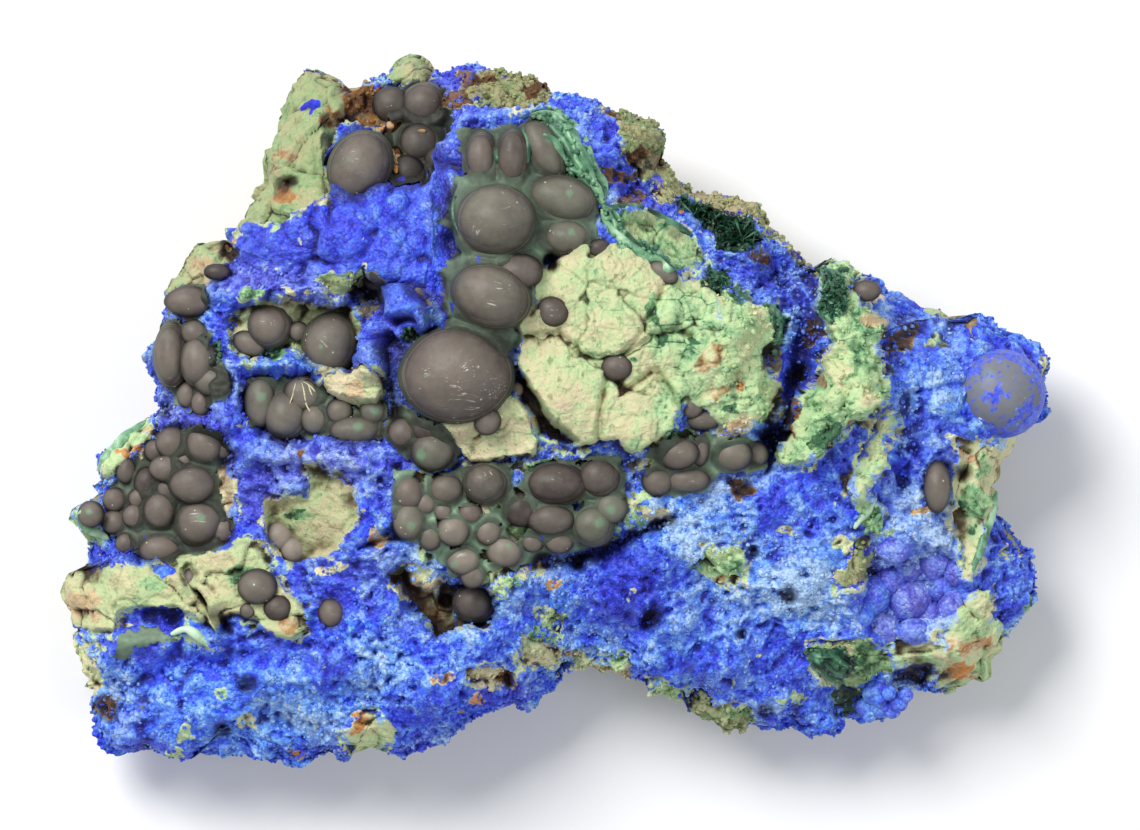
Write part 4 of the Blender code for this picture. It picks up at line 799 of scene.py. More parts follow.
# Crests (+) and grooves (-) of the crust itself: height, half width, course.
RIMS = [
    (1.7, 0.85, [(-15.4, 11.5), (-16.9, 12.9), (-19.2, 12.7), (-21.6, 10.8), (-22.7, 8.4), (-22.3, 6.2),
                 (-20.9, 4.8)]),
    (-2.4, 0.8, [(-20.6, 9.6), (-19.6, 8.0)]), (-1.6, 0.5, [(-19.4, 11.0), (-17.0, 11.5)]),
    (-1.8, 1.3, [(-25.4, 13.2), (-22.4, 13.6)]),
    (1.5, 1.0, [(-10.6, 35.4), (-11.6, 32.6), (-13.6, 30.4), (-14.4, 27.8), (-15.8, 25.6), (-14.6, 23.0),
                (-14.9, 20.6), (-13.4, 18.0)]),
    (-0.9, 0.5, [(-13.2, 27.6), (-13.8, 24.8), (-13, 22), (-12.2, 19.4)]),
    (0.8, 0.6, [(-45, 7), (-42.4, 3), (-41, -2)]), (0.8, 0.6, [(-38, -6.4), (-32, -6), (-25, -6.8)]),
    (0.9, 0.7, [(-39, -8), (-37.6, -13), (-36.8, -17)]), (0.9, 0.7, [(-23.8, -9), (-22.8, -13.6)]),
    (1.9, 0.55, COURSES["ledge crack"][2]),
]

# Lines of deep shadow: darkness, half width, course.
SHADOWS = [
    (0.9, 1.0, COURSES["dark channel"][2]), (0.9, 1.6, COURSES["brown hollow"][2]),
    (0.85, 1.3, COURSES["crevice"][2]), (0.55, 0.5, COURSES["ledge crack"][2]),
    (0.5, 1.1, COURSES["dark trench"][2]), (0.8, 0.5, [(-13.9, 24.6), (-12.6, 23.4)]),
    (0.6, 0.4, [(-12.4, 30.2), (-13.0, 27.6), (-13.8, 25), (-13, 22), (-12.2, 19.4), (-12.4, 16.4)]),
    (0.55, 0.5, [(-19.8, 5.4), (-19.7, 2), (-17.6, -1.2), (-14.6, -2.6)]), (0.5, 0.4, [(-5.1, 7),
    (-4.9, 3.4)]),
    (0.5, 0.35, [(-41.2, 11.4), (-38.4, 13.4), (-33, 13.5), (-26.4, 13)]),
    (0.5, 0.4, [(-36.4, -12), (-34, -11.3), (-31.6, -10.6), (-31.2, -7.4), (-27.6, -8.3)]),
]

# Painted shade on the pale rock, partly its own darker tone: how light it is where it isn't at its lightest.
SHADED = {
    "top left knob": 0.32, "top knob": 0.35, "top ridge": 0.2, "corner block": 0.2, "right rim": 0.3,
    "slab fold": 0.55, "pocket wall": 0.2, "left knob": 0.4, "tan pocket": 0.45, "peach ledge": 1.0,
    "olive patch": 0.3, "green bottom": 0.4, "left ledge": 0.6, "bottom edge": 0.4,
    "hole's wall": 0.9, "central slab": 0.62, "slab under the great ball": 0.85, "slab's rough end": 0.95,
    "slab's green half": 0.9, "green island": 0.4, "right matrix": 1.0,
}

# Malachite: name, lightness, outline.
MALACHITE_PLACES = [
    ("column fold", 0.55, [
        (-2.8, 37.3), (0, 37.5), (2, 36), (3.5, 33.5), (4, 31.5), (5.5, 29), (6.3, 26.5), (6, 24.8),
        (5, 26.5), (3.5, 28), (1.5, 29), (0.5, 30.5), (-0.5, 33), (-1.8, 34.5), (-3, 36)]),
    ("slab fold's rim", 0.6, [
        (5.8, 25.2), (7.5, 25.3), (8, 23.5), (9.3, 21.6), (11.5, 20.2), (13.8, 18.9), (15.5, 17.6),
        (15, 16), (12.8, 17.2), (10.2, 18.5), (8, 20), (6.4, 22)]),
    ("needle cavity", 0.08, [
        (15, 26.8), (18, 25.8), (21, 24.9), (24.5, 23.8), (26, 21), (24, 20), (21.5, 20), (19.5, 21.7),
        (17.3, 24)]),
    ("tuft", 0.25, [(18.7, 17.6), (21.3, 17.2), (22, 15.5), (20, 14.6), (18.5, 15.6)]),
    ("slab's right edge", 0.45, [
        (25.3, 13.4), (27.9, 13.4), (28.6, 10.5), (28, 8), (26.7, 6.5), (26.9, 9), (26.8, 11.5)]),
    ("green slab's head", 0.3, [
        (33.3, 17.5), (36.5, 17.6), (36.8, 15), (35.5, 12.5), (34.8, 10.5), (33.2, 12), (33, 14.5)]),
    ("ledge slope", 0.2, [
        (31.5, -30), (35.5, -29.8), (37.8, -32), (36.8, -34.8), (34.3, -34), (32, -32)]),
    ("middle pocket's green", 0.6, [(-37.3, 7.6), (-34.5, 7.9), (-33.3, 7), (-35, 5.9), (-37, 6.3)]),
    ("left shelf's green", 0.5, [(-43.4, 8), (-41.8, 8.6), (-41.2, 6), (-42.4, 5)]),
    ("cup's green", 0.25, [(-18.9, 10.3), (-17.2, 10.6), (-16.5, 9.6), (-17.6, 8.4), (-18.9, 8.8)]),
]

# Greenish grey skin that joins the balls of a cluster: softness, lightness, outline.
WEB_PLACES = [
    (0.8, 0.66, PATCHES["column web"][2]),
    (0.7, 0.66, [(-6.5, 29), (0, 30), (4, 27.5), (5.5, 24.5), (4.5, 20), (0, 19), (-2.5, 19.5), (-2, 24),
                 (-4, 28)]),
    (0.7, 0.5, [(-11.5, 34.5), (-6, 35), (-1.5, 36), (1, 33), (0.5, 30), (-4, 28.5), (-11, 28.8)]),
    (0.7, 0.3, [(-18, 41), (-14, 40), (-13, 36), (-13.5, 29), (-17, 27.5), (-21, 28.5), (-21.5, 34),
                (-21, 37.5)]),
    (0.6, 0.5, [(-38.8, 3.8), (-34, 4), (-29.5, 3.2), (-26.5, 0.8), (-21.5, 1), (-21.8, -3.6), (-28, -3.3),
                (-34, -3.4), (-38, -1.6)]),
    (0.6, 0.42, [(-49.5, -3), (-44, -2.2), (-41, -4), (-42.5, -9), (-41, -15), (-43, -17.5), (-49, -19.3),
                 (-52.5, -18), (-56.5, -15), (-56.5, -10.5), (-53.5, -7), (-51.5, -5)]),
    (0.6, 0.42, [(-50.3, 10.5), (-46.5, 11), (-43.5, 9), (-41, 4.5), (-42, 1), (-46, -0.3), (-48.5, 2.5),
                 (-50.3, 5.5)]),
    (0.6, 0.66, [(-19.8, -8), (-16, -8.3), (-9, -6.5), (-3, -6.8), (3, -6), (8, -6), (9, -9.5), (8, -13.5),
                 (6.5, -16.8), (0, -18), (-4, -19.5), (-9, -22), (-13, -20.5), (-16.5, -17), (-20, -16),
                 (-20.3, -11)]),
    (0.6, 0.6, [(12.5, -3.8), (17, -3), (21, -3.6), (26, -4.3), (26.5, -7), (21, -8), (18, -10.3),
                (12, -10.8), (11, -7)]),
    (0.5, 0.4, [(-21, 0), (-17, -0.7), (-13, -2.5), (-12, -6), (-15.5, -7.8), (-19, -6), (-21.5, -3)]),
    (0.5, 0.4, [(-48.5, 15), (-44.5, 15.6), (-43, 13.5), (-45, 11.6), (-49, 12)]),
    (0.1, 0.6, [(-56.2, -31.6), (-54.6, -29), (-52.4, -27.6), (-49.8, -27.6), (-47.6, -29), (-48.8, -29.4),
                (-51.4, -29.6), (-53.4, -30.4), (-54.8, -32)]),
]

# How the azurite looks from place to place: x, y, half length, half width, brightness, violet, velvety
# lumps, open boxwork.
BLUE_PLACES = [
    (-27, 24, 15, 11, 0.34, 0.05, 1.0, 0.0), (-33, 20, 8, 4, 0.48, 0.3, 0.9, 0.0),
    (-19, 27, 5, 8, 0.48, 0.2, 0.9, 0.0), (-14, 31, 4, 6, 0.5, 0.4, 0.7, 0.0),
    (-37, 16, 8, 2.4, 0.6, 0.8, 0.0, 1.0), (-29, 14.5, 5, 2, 0.62, 0.7, 0.0, 0.8),
    (-45.5, -0.5, 6, 4, 0.5, 0.7, 0.1, 1.0), (-41, 4, 2.5, 6, 0.45, 0.4, 0.0, 0.6),
    (-30, -6.5, 11, 3.2, 0.5, 0.75, 0.0, 1.0), (-37, -10, 4, 5, 0.5, 0.7, 0.0, 0.9),
    (-20.5, -9, 3, 5, 0.5, 0.5, 0.0, 0.9), (-39, -5, 4, 3, 0.45, 0.2, 0.6, 0.0),
    (-16.5, -20, 5, 3.5, 0.82, 0.15, 0.0, 0.9), (-23, -20, 5, 4, 0.5, 0.5, 0.0, 0.9),
    (-22, -31.5, 9, 4, 0.74, 0.1, 0.0, 0.6), (-47, -37, 5, 5, 0.72, 0.0, 0.3, 0.3),
    (-38, -33, 6, 4, 0.62, 0.1, 0.3, 0.4), (-53.5, -36.5, 3, 3, 0.55, 0.2, 0.2, 0.4),
    (-28, -31.5, 3, 2.5, 0.3, 0.3, 0.2, 0.5), (-36, -39, 9, 5, 0.8, 0.0, 0.3, 0.3),
    (-15, -37, 5, 3, 0.35, 0.1, 0.2, 0.4), (-8, -30, 5, 4, 0.5, 0.1, 0.2, 0.5),
    (19, -15, 7, 6, 0.8, 0.15, 0.0, 0.7), (31, -23.5, 8, 6, 0.94, 0.1, 0.0, 0.5),
    (10, -21, 6, 5, 0.26, 0.1, 0.5, 0.2), (25, -9, 6, 4, 0.62, 0.25, 0.2, 0.3),
    (33, -10, 4, 5, 0.5, 0.1, 0.4, 0.2), (30, -14, 5, 4, 0.55, 0.2, 0.2, 0.4),
    (20, -25, 6, 4, 0.7, 0.2, 0.1, 0.5), (30, -30, 7, 3, 0.45, 0.2, 0.3, 0.4),
    (5, -31, 6, 3, 0.74, 0.1, 0.0, 0.6), (15, -30, 8, 3, 0.66, 0.1, 0.2, 0.5),
    (26, -33, 7, 4, 0.5, 0.2, 0.2, 0.4), (30.5, 4.5, 3, 4, 0.2, 0.1, 0.3, 0.3),
    (25, 17, 8, 3, 0.5, 0.4, 0.2, 0.6), (12, 27, 8, 4, 0.45, 0.4, 0.2, 0.6),
    (6, 33, 4, 6, 0.48, 0.3, 0.2, 0.6), (-12, 40, 5, 4, 0.35, 0.5, 0.2, 0.5),
    (46.5, 4, 5, 6, 0.82, 0.2, 0.2, 0.3), (45, 9, 6, 4, 0.6, 0.1, 0.4, 0.2),
    (47, -20, 4, 3, 0.8, 0.4, 0.1, 0.6),
    (53, 9, 6, 3, 0.55, 0.2, 0.3, 0.3), (46, -4, 4, 5, 0.62, 0.35, 0.0, 0.8),
    (44.5, -16, 7, 6, 0.95, 0.4, 0.1, 0.6), (43, -24, 7, 6, 0.68, 0.5, 0.2, 0.5),
    (57, -17, 5, 6, 0.5, 0.2, 0.2, 0.6), (58, -24, 4, 4, 0.55, 0.2, 0.2, 0.6),
    (33, -37, 5, 4, 0.45, 0.1, 0.3, 0.3), (-20, 8, 4, 6, 0.4, 0.45, 0.5, 0.2),
    (-18, 15, 3, 5, 0.42, 0.15, 0.9, 0.0), (-18, 21, 5, 4, 0.5, 0.1, 0.9, 0.0),
    (-44, -36, 12, 5, 0.62, 0.05, 0.2, 0.4), (38, -4, 4, 4, 0.5, 0.3, 0.2, 0.4),
    (-55, -20, 4, 2, 0.5, 0.4, 0.2, 0.5), (-30, -22, 4, 4, 0.5, 0.3, 0.1, 0.6),
    (7, 2, 4, 4, 0.5, 0.2, 0.2, 0.2), (9, -8, 3, 3, 0.6, 0.2, 0.1, 0.4),
]

# Small stains and bits: x, y, half length, half width, kind.
STAINS = [
    (-33.4, 26.8, 1.9, 1.1, "orange"), (-33.4, 27.6, 0.6, 0.6, "brown"), (-34.3, 31.6, 1.2, 0.6, "rust"),
    (-35.5, 30.3, 1.2, 0.8, "peach"),
    (-28.5, 36, 1.0, 1.0, "rust"), (-30.2, 37.6, 0.9, 0.6, "blue"),
    (-20, 31.5, 0.8, 1.4, "orange"), (-20.7, 35.6, 1.2, 0.7, "orange"), (-24, 38, 2.2, 1.6, "brown"),
    (-12.5, 38.5, 2.0, 1.2, "brown"), (-10, 41, 2.5, 1.0, "brown"), (-3, 40, 1.2, 0.8, "brown"),
    (7.5, 36.5, 1.2, 0.8, "brown"), (10, 31.8, 1.4, 0.7, "brown"), (10.3, 29.3, 1.2, 1.0, "dark"),
    (16.5, 25, 1.3, 0.5, "orange"), (7, 29.5, 1.6, 0.9, "brown"), (10, 26.5, 1.4, 0.8, "brown"),
    (32.2, 9.5, 1.0, 1.6, "brown"), (26, 19, 1.5, 0.8, "brown"), (20.3, 6.9, 2.1, 1.2, "ochre"),
    (18.2, 5.6, 1.1, 0.8, "ochre"),
    (23.2, 2.6, 1.4, 1.0, "orange"), (20.8, 2.2, 1.5, 0.6, "ochre"), (27, 6.5, 1.2, 1.5, "dark"),
    (25.5, 1, 1.4, 1.2, "mint"),
    (10, -4.3, 1.2, 0.9, "mint"), (22.6, -2.7, 2.0, 1.1, "ochre"), (24.6, -1.2, 1.4, 0.8, "tan"),
    (40, 10.8, 1.4, 1.2, "peach"),
    (39, 1.5, 1.4, 1.2, "cream"), (40.5, 14.3, 1.0, 0.7, "peach"), (43.3, 8.5, 1.2, 1.7, "cream"),
    (43.3, 8.5, 1.7, 2.2, "brown"), (48.2, 8.5, 1.2, 0.8, "mint"), (49, 12, 2.0, 0.8, "grey"),
    (62, 5.8, 1.0, 1.2, "cream"), (59.8, -18.3, 0.8, 0.8, "cream"), (57, -18, 1.2, 0.8, "cream"),
    (60.3, -24.8, 0.8, 1.2, "mint"), (55, -25, 1.5, 1.0, "cream"), (53, -30, 2.5, 1.4, "rust"),
    (51.5, -33.5, 2.2, 1.2, "orange"), (46, -30.8, 2.5, 0.8, "cream"), (36, -30.5, 1.8, 0.9, "cream"),
    (37.3, -36.8, 1.8, 1.4, "darkgreen"), (29.5, -36.3, 1.3, 0.9, "mint"), (24, -38, 1.2, 0.9, "mint"),
    (18.8, -18.6, 1.0, 1.1, "green"), (22.4, -20.2, 1.1, 0.9, "green"),
    (20.4, -21.3, 1.5, 0.8, "ochre"), (29.7, -15.2, 1.6, 0.6, "cream"), (36, -16.8, 0.9, 1.2, "cream"),
    (23.5, -9.8, 1.4, 1.3, "brown"), (-0.5, -21.5, 1.2, 0.8, "rust"), (10, -13.5, 2.0, 1.6, "mint"),
    (10.5, -7, 1.5, 0.5, "cream"), (10.5, -10.8, 1.0, 0.8, "mint"), (-2.3, -28, 1.3, 1.2, "mint"),
    (-14, -34.3, 1.4, 0.9, "rust"), (-39, -38.8, 1.3, 1.1, "cream"), (-10.5, -36.3, 1.2, 0.8, "orange"),
    (1.5, -31.3, 1.2, 0.7, "orange"), (8, -32, 1.1, 0.9, "mint"), (-6.5, -33.8, 1.2, 0.8, "brown"),
    (-25, -39.4, 1.0, 1.2, "orange"), (-57, -38, 1.6, 1.6, "brown"), (-48.5, -43.2, 1.3, 0.8, "mint"),
    (-32.5, -43.6, 1.0, 0.6, "orange"), (-47, -40.6, 1.0, 0.7, "mint"), (-42, -35.5, 0.8, 0.6, "mint"),
    (-53.5, -5.3, 3.4, 0.8, "orange"), (-50.5, -3.4, 1.5, 0.6, "rust"), (-60, -24.5, 2.5, 1.6, "peach"),
    (-55, -19.6, 1.8, 0.7, "blue"), (-49.5, -20.5, 1.2, 0.8, "blue"), (-51.5, -22.3, 2.2, 0.7, "mint"),
    (-44, -21.5, 1.6, 1.2, "cream"), (-39.5, -20.5, 1.8, 1.0, "green"), (-33.5, -27, 1.6, 0.9, "rust"),
    (-32, -13, 3.0, 0.7, "green"), (-22, -16, 2.2, 1.2, "rust"), (-28.6, -19.8, 1.8, 0.7, "tan"),
    (-31.7, -5.4, 0.9, 0.5, "brown"),
    (-17.6, -22.6, 3.2, 2.4, "ochre"), (-15.4, -25.2, 2.0, 1.6, "ochre"), (-41, 20.5, 1.6, 0.8, "rust"),
    (-45, 18, 1.4, 1.2, "peach"),
    (-14, -14.3, 1.0, 0.7, "mint"), (-9.8, -11.8, 1.0, 0.6, "mint"), (-4, -10.8, 0.8, 0.6, "cream"),
    (-8, -18.3, 0.9, 0.7, "mint"), (2.5, -12, 1.2, 0.7, "mint"), (7.3, -15.3, 1.4, 0.9, "green"),
    (-9.6, -12.8, 1.8, 0.8, "tan"),
    (-4.6, -14.8, 1.2, 1.2, "mint"), (-6.2, -21.0, 2.2, 1.3, "mint"), (-3.2, -20.2, 1.6, 0.9, "cream"),
    (11.5, -10.4, 1.3, 0.9, "mint"), (13, -13, 1.6, 0.9, "tan"), (-1.6, -6.9, 1.8, 0.8, "moss"),
    (-15.2, -8.6, 1.1, 0.7, "mint"), (-16.3, -18.4, 1.1, 1.0, "mint"), (6.6, -9.9, 0.7, 1.6, "blue"),
    (2.4, -11.7, 0.9, 1.3, "blue"), (-5.2, -8.6, 0.7, 1.3, "blue"), (-7.6, -12.5, 1.0, 0.6, "moss"),
    (-17, -8.5, 1.0, 0.8, "cream"), (-5.7, -15, 1.0, 0.6, "mint"), (-12.3, -17, 0.8, 0.6, "mint"),
    (3.2, -6.8, 1.2, 0.6, "green"), (-5, -7.2, 1.2, 0.5, "mint"), (9, -12, 1.0, 0.8, "cream"),
    (-22.3, 15.3, 2.0, 1.8, "dark"), (-24, 12.6, 1.8, 1.0, "dark"),
    (-25, 3, 1.2, 0.9, "peach"), (-26, -0.8, 0.7, 0.9, "orange"), (-29, 4.8, 1.5, 0.5, "cream"),
    (1, 2.5, 3.2, 2.0, "tan"), (9, 17.6, 3.4, 1.4, "tan"), (13, 15.2, 1.6, 1.0, "tan"),
    (11.9, 12.2, 0.7, 1.5, "moss"), (15, 9.4, 1.3, 0.5, "moss"), (13.2, 8.9, 0.7, 0.5, "moss"),
    (12.4, 14, 0.5, 0.5, "moss"), (17, 8.2, 0.7, 0.4, "moss"), (9.4, 5.8, 1.2, 0.35, "moss"),
    (23.5, 14.2, 2.2, 0.8, "moss"), (26.6, 12, 0.8, 1.6, "moss"), (22, 0.2, 0.9, 0.5, "moss"),
    (25.4, 0.8, 1.3, 1.5, "mint"), (-38, 14.2, 2.6, 0.6, "mint"), (-33.5, 14.7, 1.6, 0.5, "cream"),
    (-30.4, 14.8, 1.0, 0.7, "cream"), (15.8, -3.4, 1.6, 0.5, "moss"), (10, -4.6, 1.8, 0.6, "mint"),
    (12, 23.8, 2.4, 0.7, "plumrock"), (14.6, 22.2, 1.6, 0.8, "plumrock"), (10, 22.6, 1.2, 0.8, "mint"),
    (-20.4, 8.8, 0.8, 1.7, "plum"), (-17.6, 11.3, 1.4, 0.4, "plum"), (-15.6, 24.5, 0.8, 3.4, "plum"),
    (-13.0, 31, 0.8, 3.0, "plum"), (-14.2, 20, 0.6, 2.4, "plum"), (-19, 27.6, 1.4, 0.5, "plum"),
    (35, 6, 1.6, 3, "cream"), (38.5, 5, 1.5, 2.5, "green"), (34, -3.5, 2.5, 1.0, "moss"),
    (39, -1.6, 2.4, 0.6, "grey"), (53, -12, 1.4, 3, "green"), (52, -6, 1.4, 1.0, "rust"),
    (54.5, -7.5, 0.8, 2.0, "green"), (47.3, -12.5, 1.4, 1.0, "rust"), (30, -1, 0.8, 2.4, "brown"),
]

# What a stain does: green, rust, mix with the other finish, peach, dark.
STAIN_KINDS = {
    "rust": (0.05, 0.68, 1, 0.4, 0), "brown": (0, 1.0, 1, 0, 0.62), "orange": (0, 0.9, 1, 1.0, 0),
    "peach": (0.1, 0.2, 1, 0.75, 0), "cream": (0.35, 0, 1, 0.05, 0), "mint": (0.75, 0, 1, 0, 0),
    "green": (0.85, 0, 1, 0, 0.05), "darkgreen": (1.0, 0.1, 1, 0, 0.6), "dark": (0.1, 0.5, 1, 0, 0.92),
    "grey": (0.4, 0.1, 1, 0, 0.3), "blue": (0, 0, 0, 0, 0), "tan": (0.2, 0.25, 1, 0.2, 0),
    "ochre": (0.3, 0.66, 1, 0, 0), "moss": (1.0, 0, 1, 0, 0.12), "plumrock": (0.6, 0.2, 1, 0, 0.4),
    "plum": (0, 0.4, 0.3, 0, 0.2),
}

BLUE, PALE, GREEN, WEB = range(4)  # the finishes
OUTSIDE = -4.0  # the depth of a point that lies in no outline
EDGE_SOFT = 0.8  # how wide the change at a finish's edge is
PLAIN_LIGHT = 0.8  # how light pale rock is where SHADED doesn't name it
CLEAN_PLACES = (  # pale rock with little dust on it
    "central slab", "slab's rough end", "slab under the great ball", "chain's cream", "tan pocket",
    "left ledge", "middle pocket floor", "top left knob", "top knob", "left knob")
DEEP_PLACES = {  # patches that lie in shadow, and how dark
    "dark gap": 0.5, "needle cavity": 0.75, "black cavity": 0.95, "big hole": 0.1, "rust hollow": 0.3}


def raise_to(values, near, level):
    """Raises some of an array's values, in place, to a level where they are lower."""
    values[near] = np.maximum(values[near], level)


class Looks:
    """What each point of a sheet is made of, and the numbers that its shaders read."""

    def __init__(self, sheet):
        fx, fy = sheet.flat
        px, py = sheet.plan
        x = rippled(px, fx, fy, (0.55, 2.6, 71), (0.3, 1.0, 72), (0.25, 0.5, 75))
        y = rippled(py, fx, fy, (0.55, 2.6, 73), (0.3, 1.0, 74), (0.25, 0.5, 76))

        def even(level):
            return np.full(x.shape, level)

        self.depths = {}
        self.green, self.rust, self.peach, self.coarse = even(0.5), even(0.0), even(0.0), even(0.5)
        self.light_pale, pale = even(PLAIN_LIGHT), even(OUTSIDE)
        for name, green, rust, peach, coarse, outline in PALE_PLACES:
            depth = self.depths[name] = depth_in(x, y, outline)
            part = sawn(depth / EDGE_SOFT + 0.5)
            for values, level in (
                    (self.light_pale, SHADED.get(name, PLAIN_LIGHT)), (self.green, green),
                    (self.rust, rust), (self.peach, peach), (self.coarse, coarse)):
                values += (level - values) * part
            pale = np.maximum(pale, depth)
        self.light, malachite = even(0.4), even(OUTSIDE)
        self.light_web, web = even(0.5), even(OUTSIDE)
        for _, light, outline in MALACHITE_PLACES:
            depth = depth_in(x, y, outline)
            self.light += (light - self.light) * sawn(depth / EDGE_SOFT + 0.5)
            malachite = np.maximum(malachite, depth)
        for soft, light, outline in WEB_PLACES:
            depth = depth_in(x, y, outline)
            self.light_web += (light - self.light_web) * sawn(depth / EDGE_SOFT + 0.5)
            web = np.maximum(web, depth + 0.3 * soft)
        # way in from the edge of the malachite, unwarped, so that folds can follow the edges
        self.fold = np.max([depth_in(px, py, outline) for _, _, outline in MALACHITE_PLACES], axis=0)
        self.beside_ball, self.fillet = even(0.0), even(0.0)
        for cluster in BALLS.values():
            for bx, by, along, across, turn, *_ in cluster:
                reach, narrow = max(along, across), min(along, across)
                near = close_to(px, py, [(bx, by)], reach * 1.7)
                if near[0].size:
                    q = ball_share(px[near], py[near], bx, by, along, across, turn)
                    raise_to(self.beside_ball, near, sawn((1.4 - q) / 0.4))
                    lip = sawn((1 + 1.3 / narrow - q) * narrow / 1.6)
                    raise_to(self.fillet, near, lip * min(1.0, reach / 2.2))
        spotty = rippled(0, fx, fy, (1, 1.6, 81), (0.6, 0.7, 82))
        self.kind = even(BLUE)
        self.kind[pale > 0] = PALE
        self.kind[web > 0] = WEB
        self.kind[(pale > 0) & (web > 0) & (self.depths["middle pocket floor"] > 0)] = PALE
        self.kind[malachite > 0] = GREEN
        for name in ("central slab", "slab under the great ball", "chain's cream"):
            self.kind[(self.depths[name] > 0) & (malachite <= 0)] = PALE
        self.blue_shades(sheet, x, y)
        # the other finish that dusts this one: pale bits on blue, blue dust on pale
        on_blue, on_pale = self.kind == BLUE, self.kind == PALE
        edge = np.where(on_blue, pale, -pale)
        self.mix = sawn((edge + 1.2 + 0.9 * spotty) / 1.6) * 0.7 * (edge > -3)
        self.mix = np.maximum(self.mix, sawn((spotty - 1.05) / 0.25) * np.where(on_blue, 0.75, 0.3))
        clean = np.max([self.depths[name] for name in CLEAN_PLACES], axis=0)
        self.mix *= 1 - 0.8 * sawn(clean / 0.6 + 0.3) * on_pale
        self.mix = np.where(on_blue | on_pale, self.mix, sawn((spotty - 0.9) / 0.5) * 0.7)
        # Painted shade beside the balls, deeper on blue than on pale rock.
        self.dark = np.where(on_pale, 0.22, 0.65) * self.beside_ball
        for name, amount in DEEP_PLACES.items():
            depth = depth_in(px, py, PATCHES[name][2])
            self.dark = np.maximum(self.dark, amount * sawn(depth / 1.2 + 0.4))
        # Painted shade in the pits.
        for bx, by, radius, _ in PITS:
            near = close_to(px, py, [(bx, by)], radius * 2)
            if near[0].size:
                way = np.hypot(px[near] - bx, py[near] - by) / radius
                raise_to(self.dark, near, 0.8 * bell(way, 4))
        for amount, half, course in SHADOWS:
            near = close_to(x, y, course, half * 3)
            if near[0].size:
                way = distance(x[near], y[near], course) / (half * 0.9)
                raise_to(self.dark, near, amount * bell(way))
        for sx, sy, half, wide, kind in STAINS:
            near = close_to(x, y, [(sx, sy)], max(half, wide) * 2.3)
            if near[0].size:
                self.stain(near, np.hypot((x[near] - sx) / half, (y[near] - sy) / wide), spotty, kind)

    def blue_shades(self, sheet, x, y):
        """Tone, violet, velvet and boxwork: scraps of their own, drawn towards each place's values."""
        fx, fy = sheet.flat
        wide_x = rippled(fx, fx, fy, (1.1, 2.4, 51), (0.5, 0.9, 53))
        wide_y = fy + 1.1 * ripple(fx, fy, 2.4, 52)
        patch, scrap = cells(wide_x, wide_y, 3.6, 55)[2] - 0.5, cells(wide_x, wide_y, 1.4, 57)[2] - 0.5
        drift = rippled(0, fx, fy, (0.12, 5.5, 83), (0.1, 2.0, 84), (0.08, 0.8, 86))
        drift = blurred(drift + 0.24 * patch + 0.18 * scrap, 1)
        self.tone = 0.62 + drift
        self.violet = rippled(0.18, fx, fy, (0.2, 5.0, 85)) + 0.3 * scrap + 0.12 * ripple(fx, fy, 1.5, 87)
        self.velvet, self.boxwork = np.full(x.shape, 0.25), np.full(x.shape, 0.3)
        for bx, by, half, wide, level, violet, velvet, boxwork in BLUE_PLACES:
            part = 0.85 * bell(((x - bx) / half) ** 2 + ((y - by) / wide) ** 2, 1.5)
            tone = level + 0.09 * (1 - velvet) + (0.95 - 0.7 * velvet) * drift
            for values, aim in (
                    (self.tone, tone), (self.violet, violet + 0.3 * drift), (self.velvet, velvet),
                    (self.boxwork, boxwork)):
                values += (aim - values) * part

    def stain(self, near, way, spotty, kind):
        """Stains the points near a spot, ragged at its edge: on web and malachite it covers them."""
        part = sawn((1.15 - way + 0.5 * spotty[near]) / 0.4)
        green, rust, mix, peach, dark = STAIN_KINDS[kind]
        for values, level, share in (
                (self.green, green, 1), (self.rust, rust, 1), (self.peach, peach, 1),
                (self.dark, dark, 0.9 if dark > 0 else 0.6)):
            values[near] += (level - values[near]) * part * share
        aim = np.where(self.kind[near] == PALE, 1.0 - mix, mix)
        bare = (self.kind[near] == WEB) & (part > 0.4)
        self.kind[near] = np.where(bare, PALE if mix == 1 else BLUE, self.kind[near])
        aim = np.where(bare, 0.0, np.where(self.kind[near] == GREEN, 1.0 - mix, aim))
        self.mix[near] += (aim - self.mix[near]) * part

    def relief(self, sheet):
        """How far the surface stands off the broad shape, in millimetres, from the finish at each point."""
        x, y = sheet.flat
        wx = rippled(x, x, y, (0.8, 3.4, 91), (0.35, 1.2, 93))
        wy = rippled(y, x, y, (0.8, 3.4, 92), (0.35, 1.2, 94))
        big, mid, small = (domes(wx, wy, size, seed) - 0.5 for size, seed in ((6.0, 3), (3.1, 5), (1.5, 7)))
        crease, scrap = seams(wx, wy, 0.8, 8, 0.13)
        block, scrap = cells(wx, wy, 1.7, 98)[2] - 0.5, scrap - 0.5
        velvet = 3.2 * big + 2.4 * mid + 0.6 * small - 0.12 * crease
        velvet += rippled(0, x, y, (0.3, 1.3, 89), (0.09, 0.4, 96))
        ridge = 1 - np.abs(rippled(0, wx, wy, (1, 2.3, 9), (0.45, 1.1, 10)))
        fine_ridge = 1 - np.abs(rippled(0, wx, wy, (1, 1.0, 11), (0.4, 0.5, 12)))
        boxwork = 1.5 * (np.clip(ridge, 0, 1) ** 2 - 0.5) + 0.75 * (np.clip(fine_ridge, 0, 1) ** 2 - 0.5)
        boxwork += rippled(0, x, y, (0.3, 0.5, 14)) + 0.3 * scrap
        grain = rippled(0, x, y, (0.6, 3.1, 13), (0.5, 1.4, 15))
        grain = rippled(grain + 0.7 * block + 0.5 * scrap + 0.4 * mid, x, y, (0.4, 0.55, 17))
        pits = ripple(wx, wy, 1.3, 16) + 0.6 * ripple(x, y, 0.7, 18)
        rough = 1 - self.velvet
        # Tone varies by grain on rough crust; the velvet's creases get painted shade, darker and duller violet.
        self.tone += rough * (0.2 * block + 0.14 * scrap) - 0.05 * crease * self.velvet
        self.violet += 0.35 * crease * self.velvet
        blue = grain + self.velvet * (velvet - grain) + self.boxwork * (boxwork - grain) * 0.85
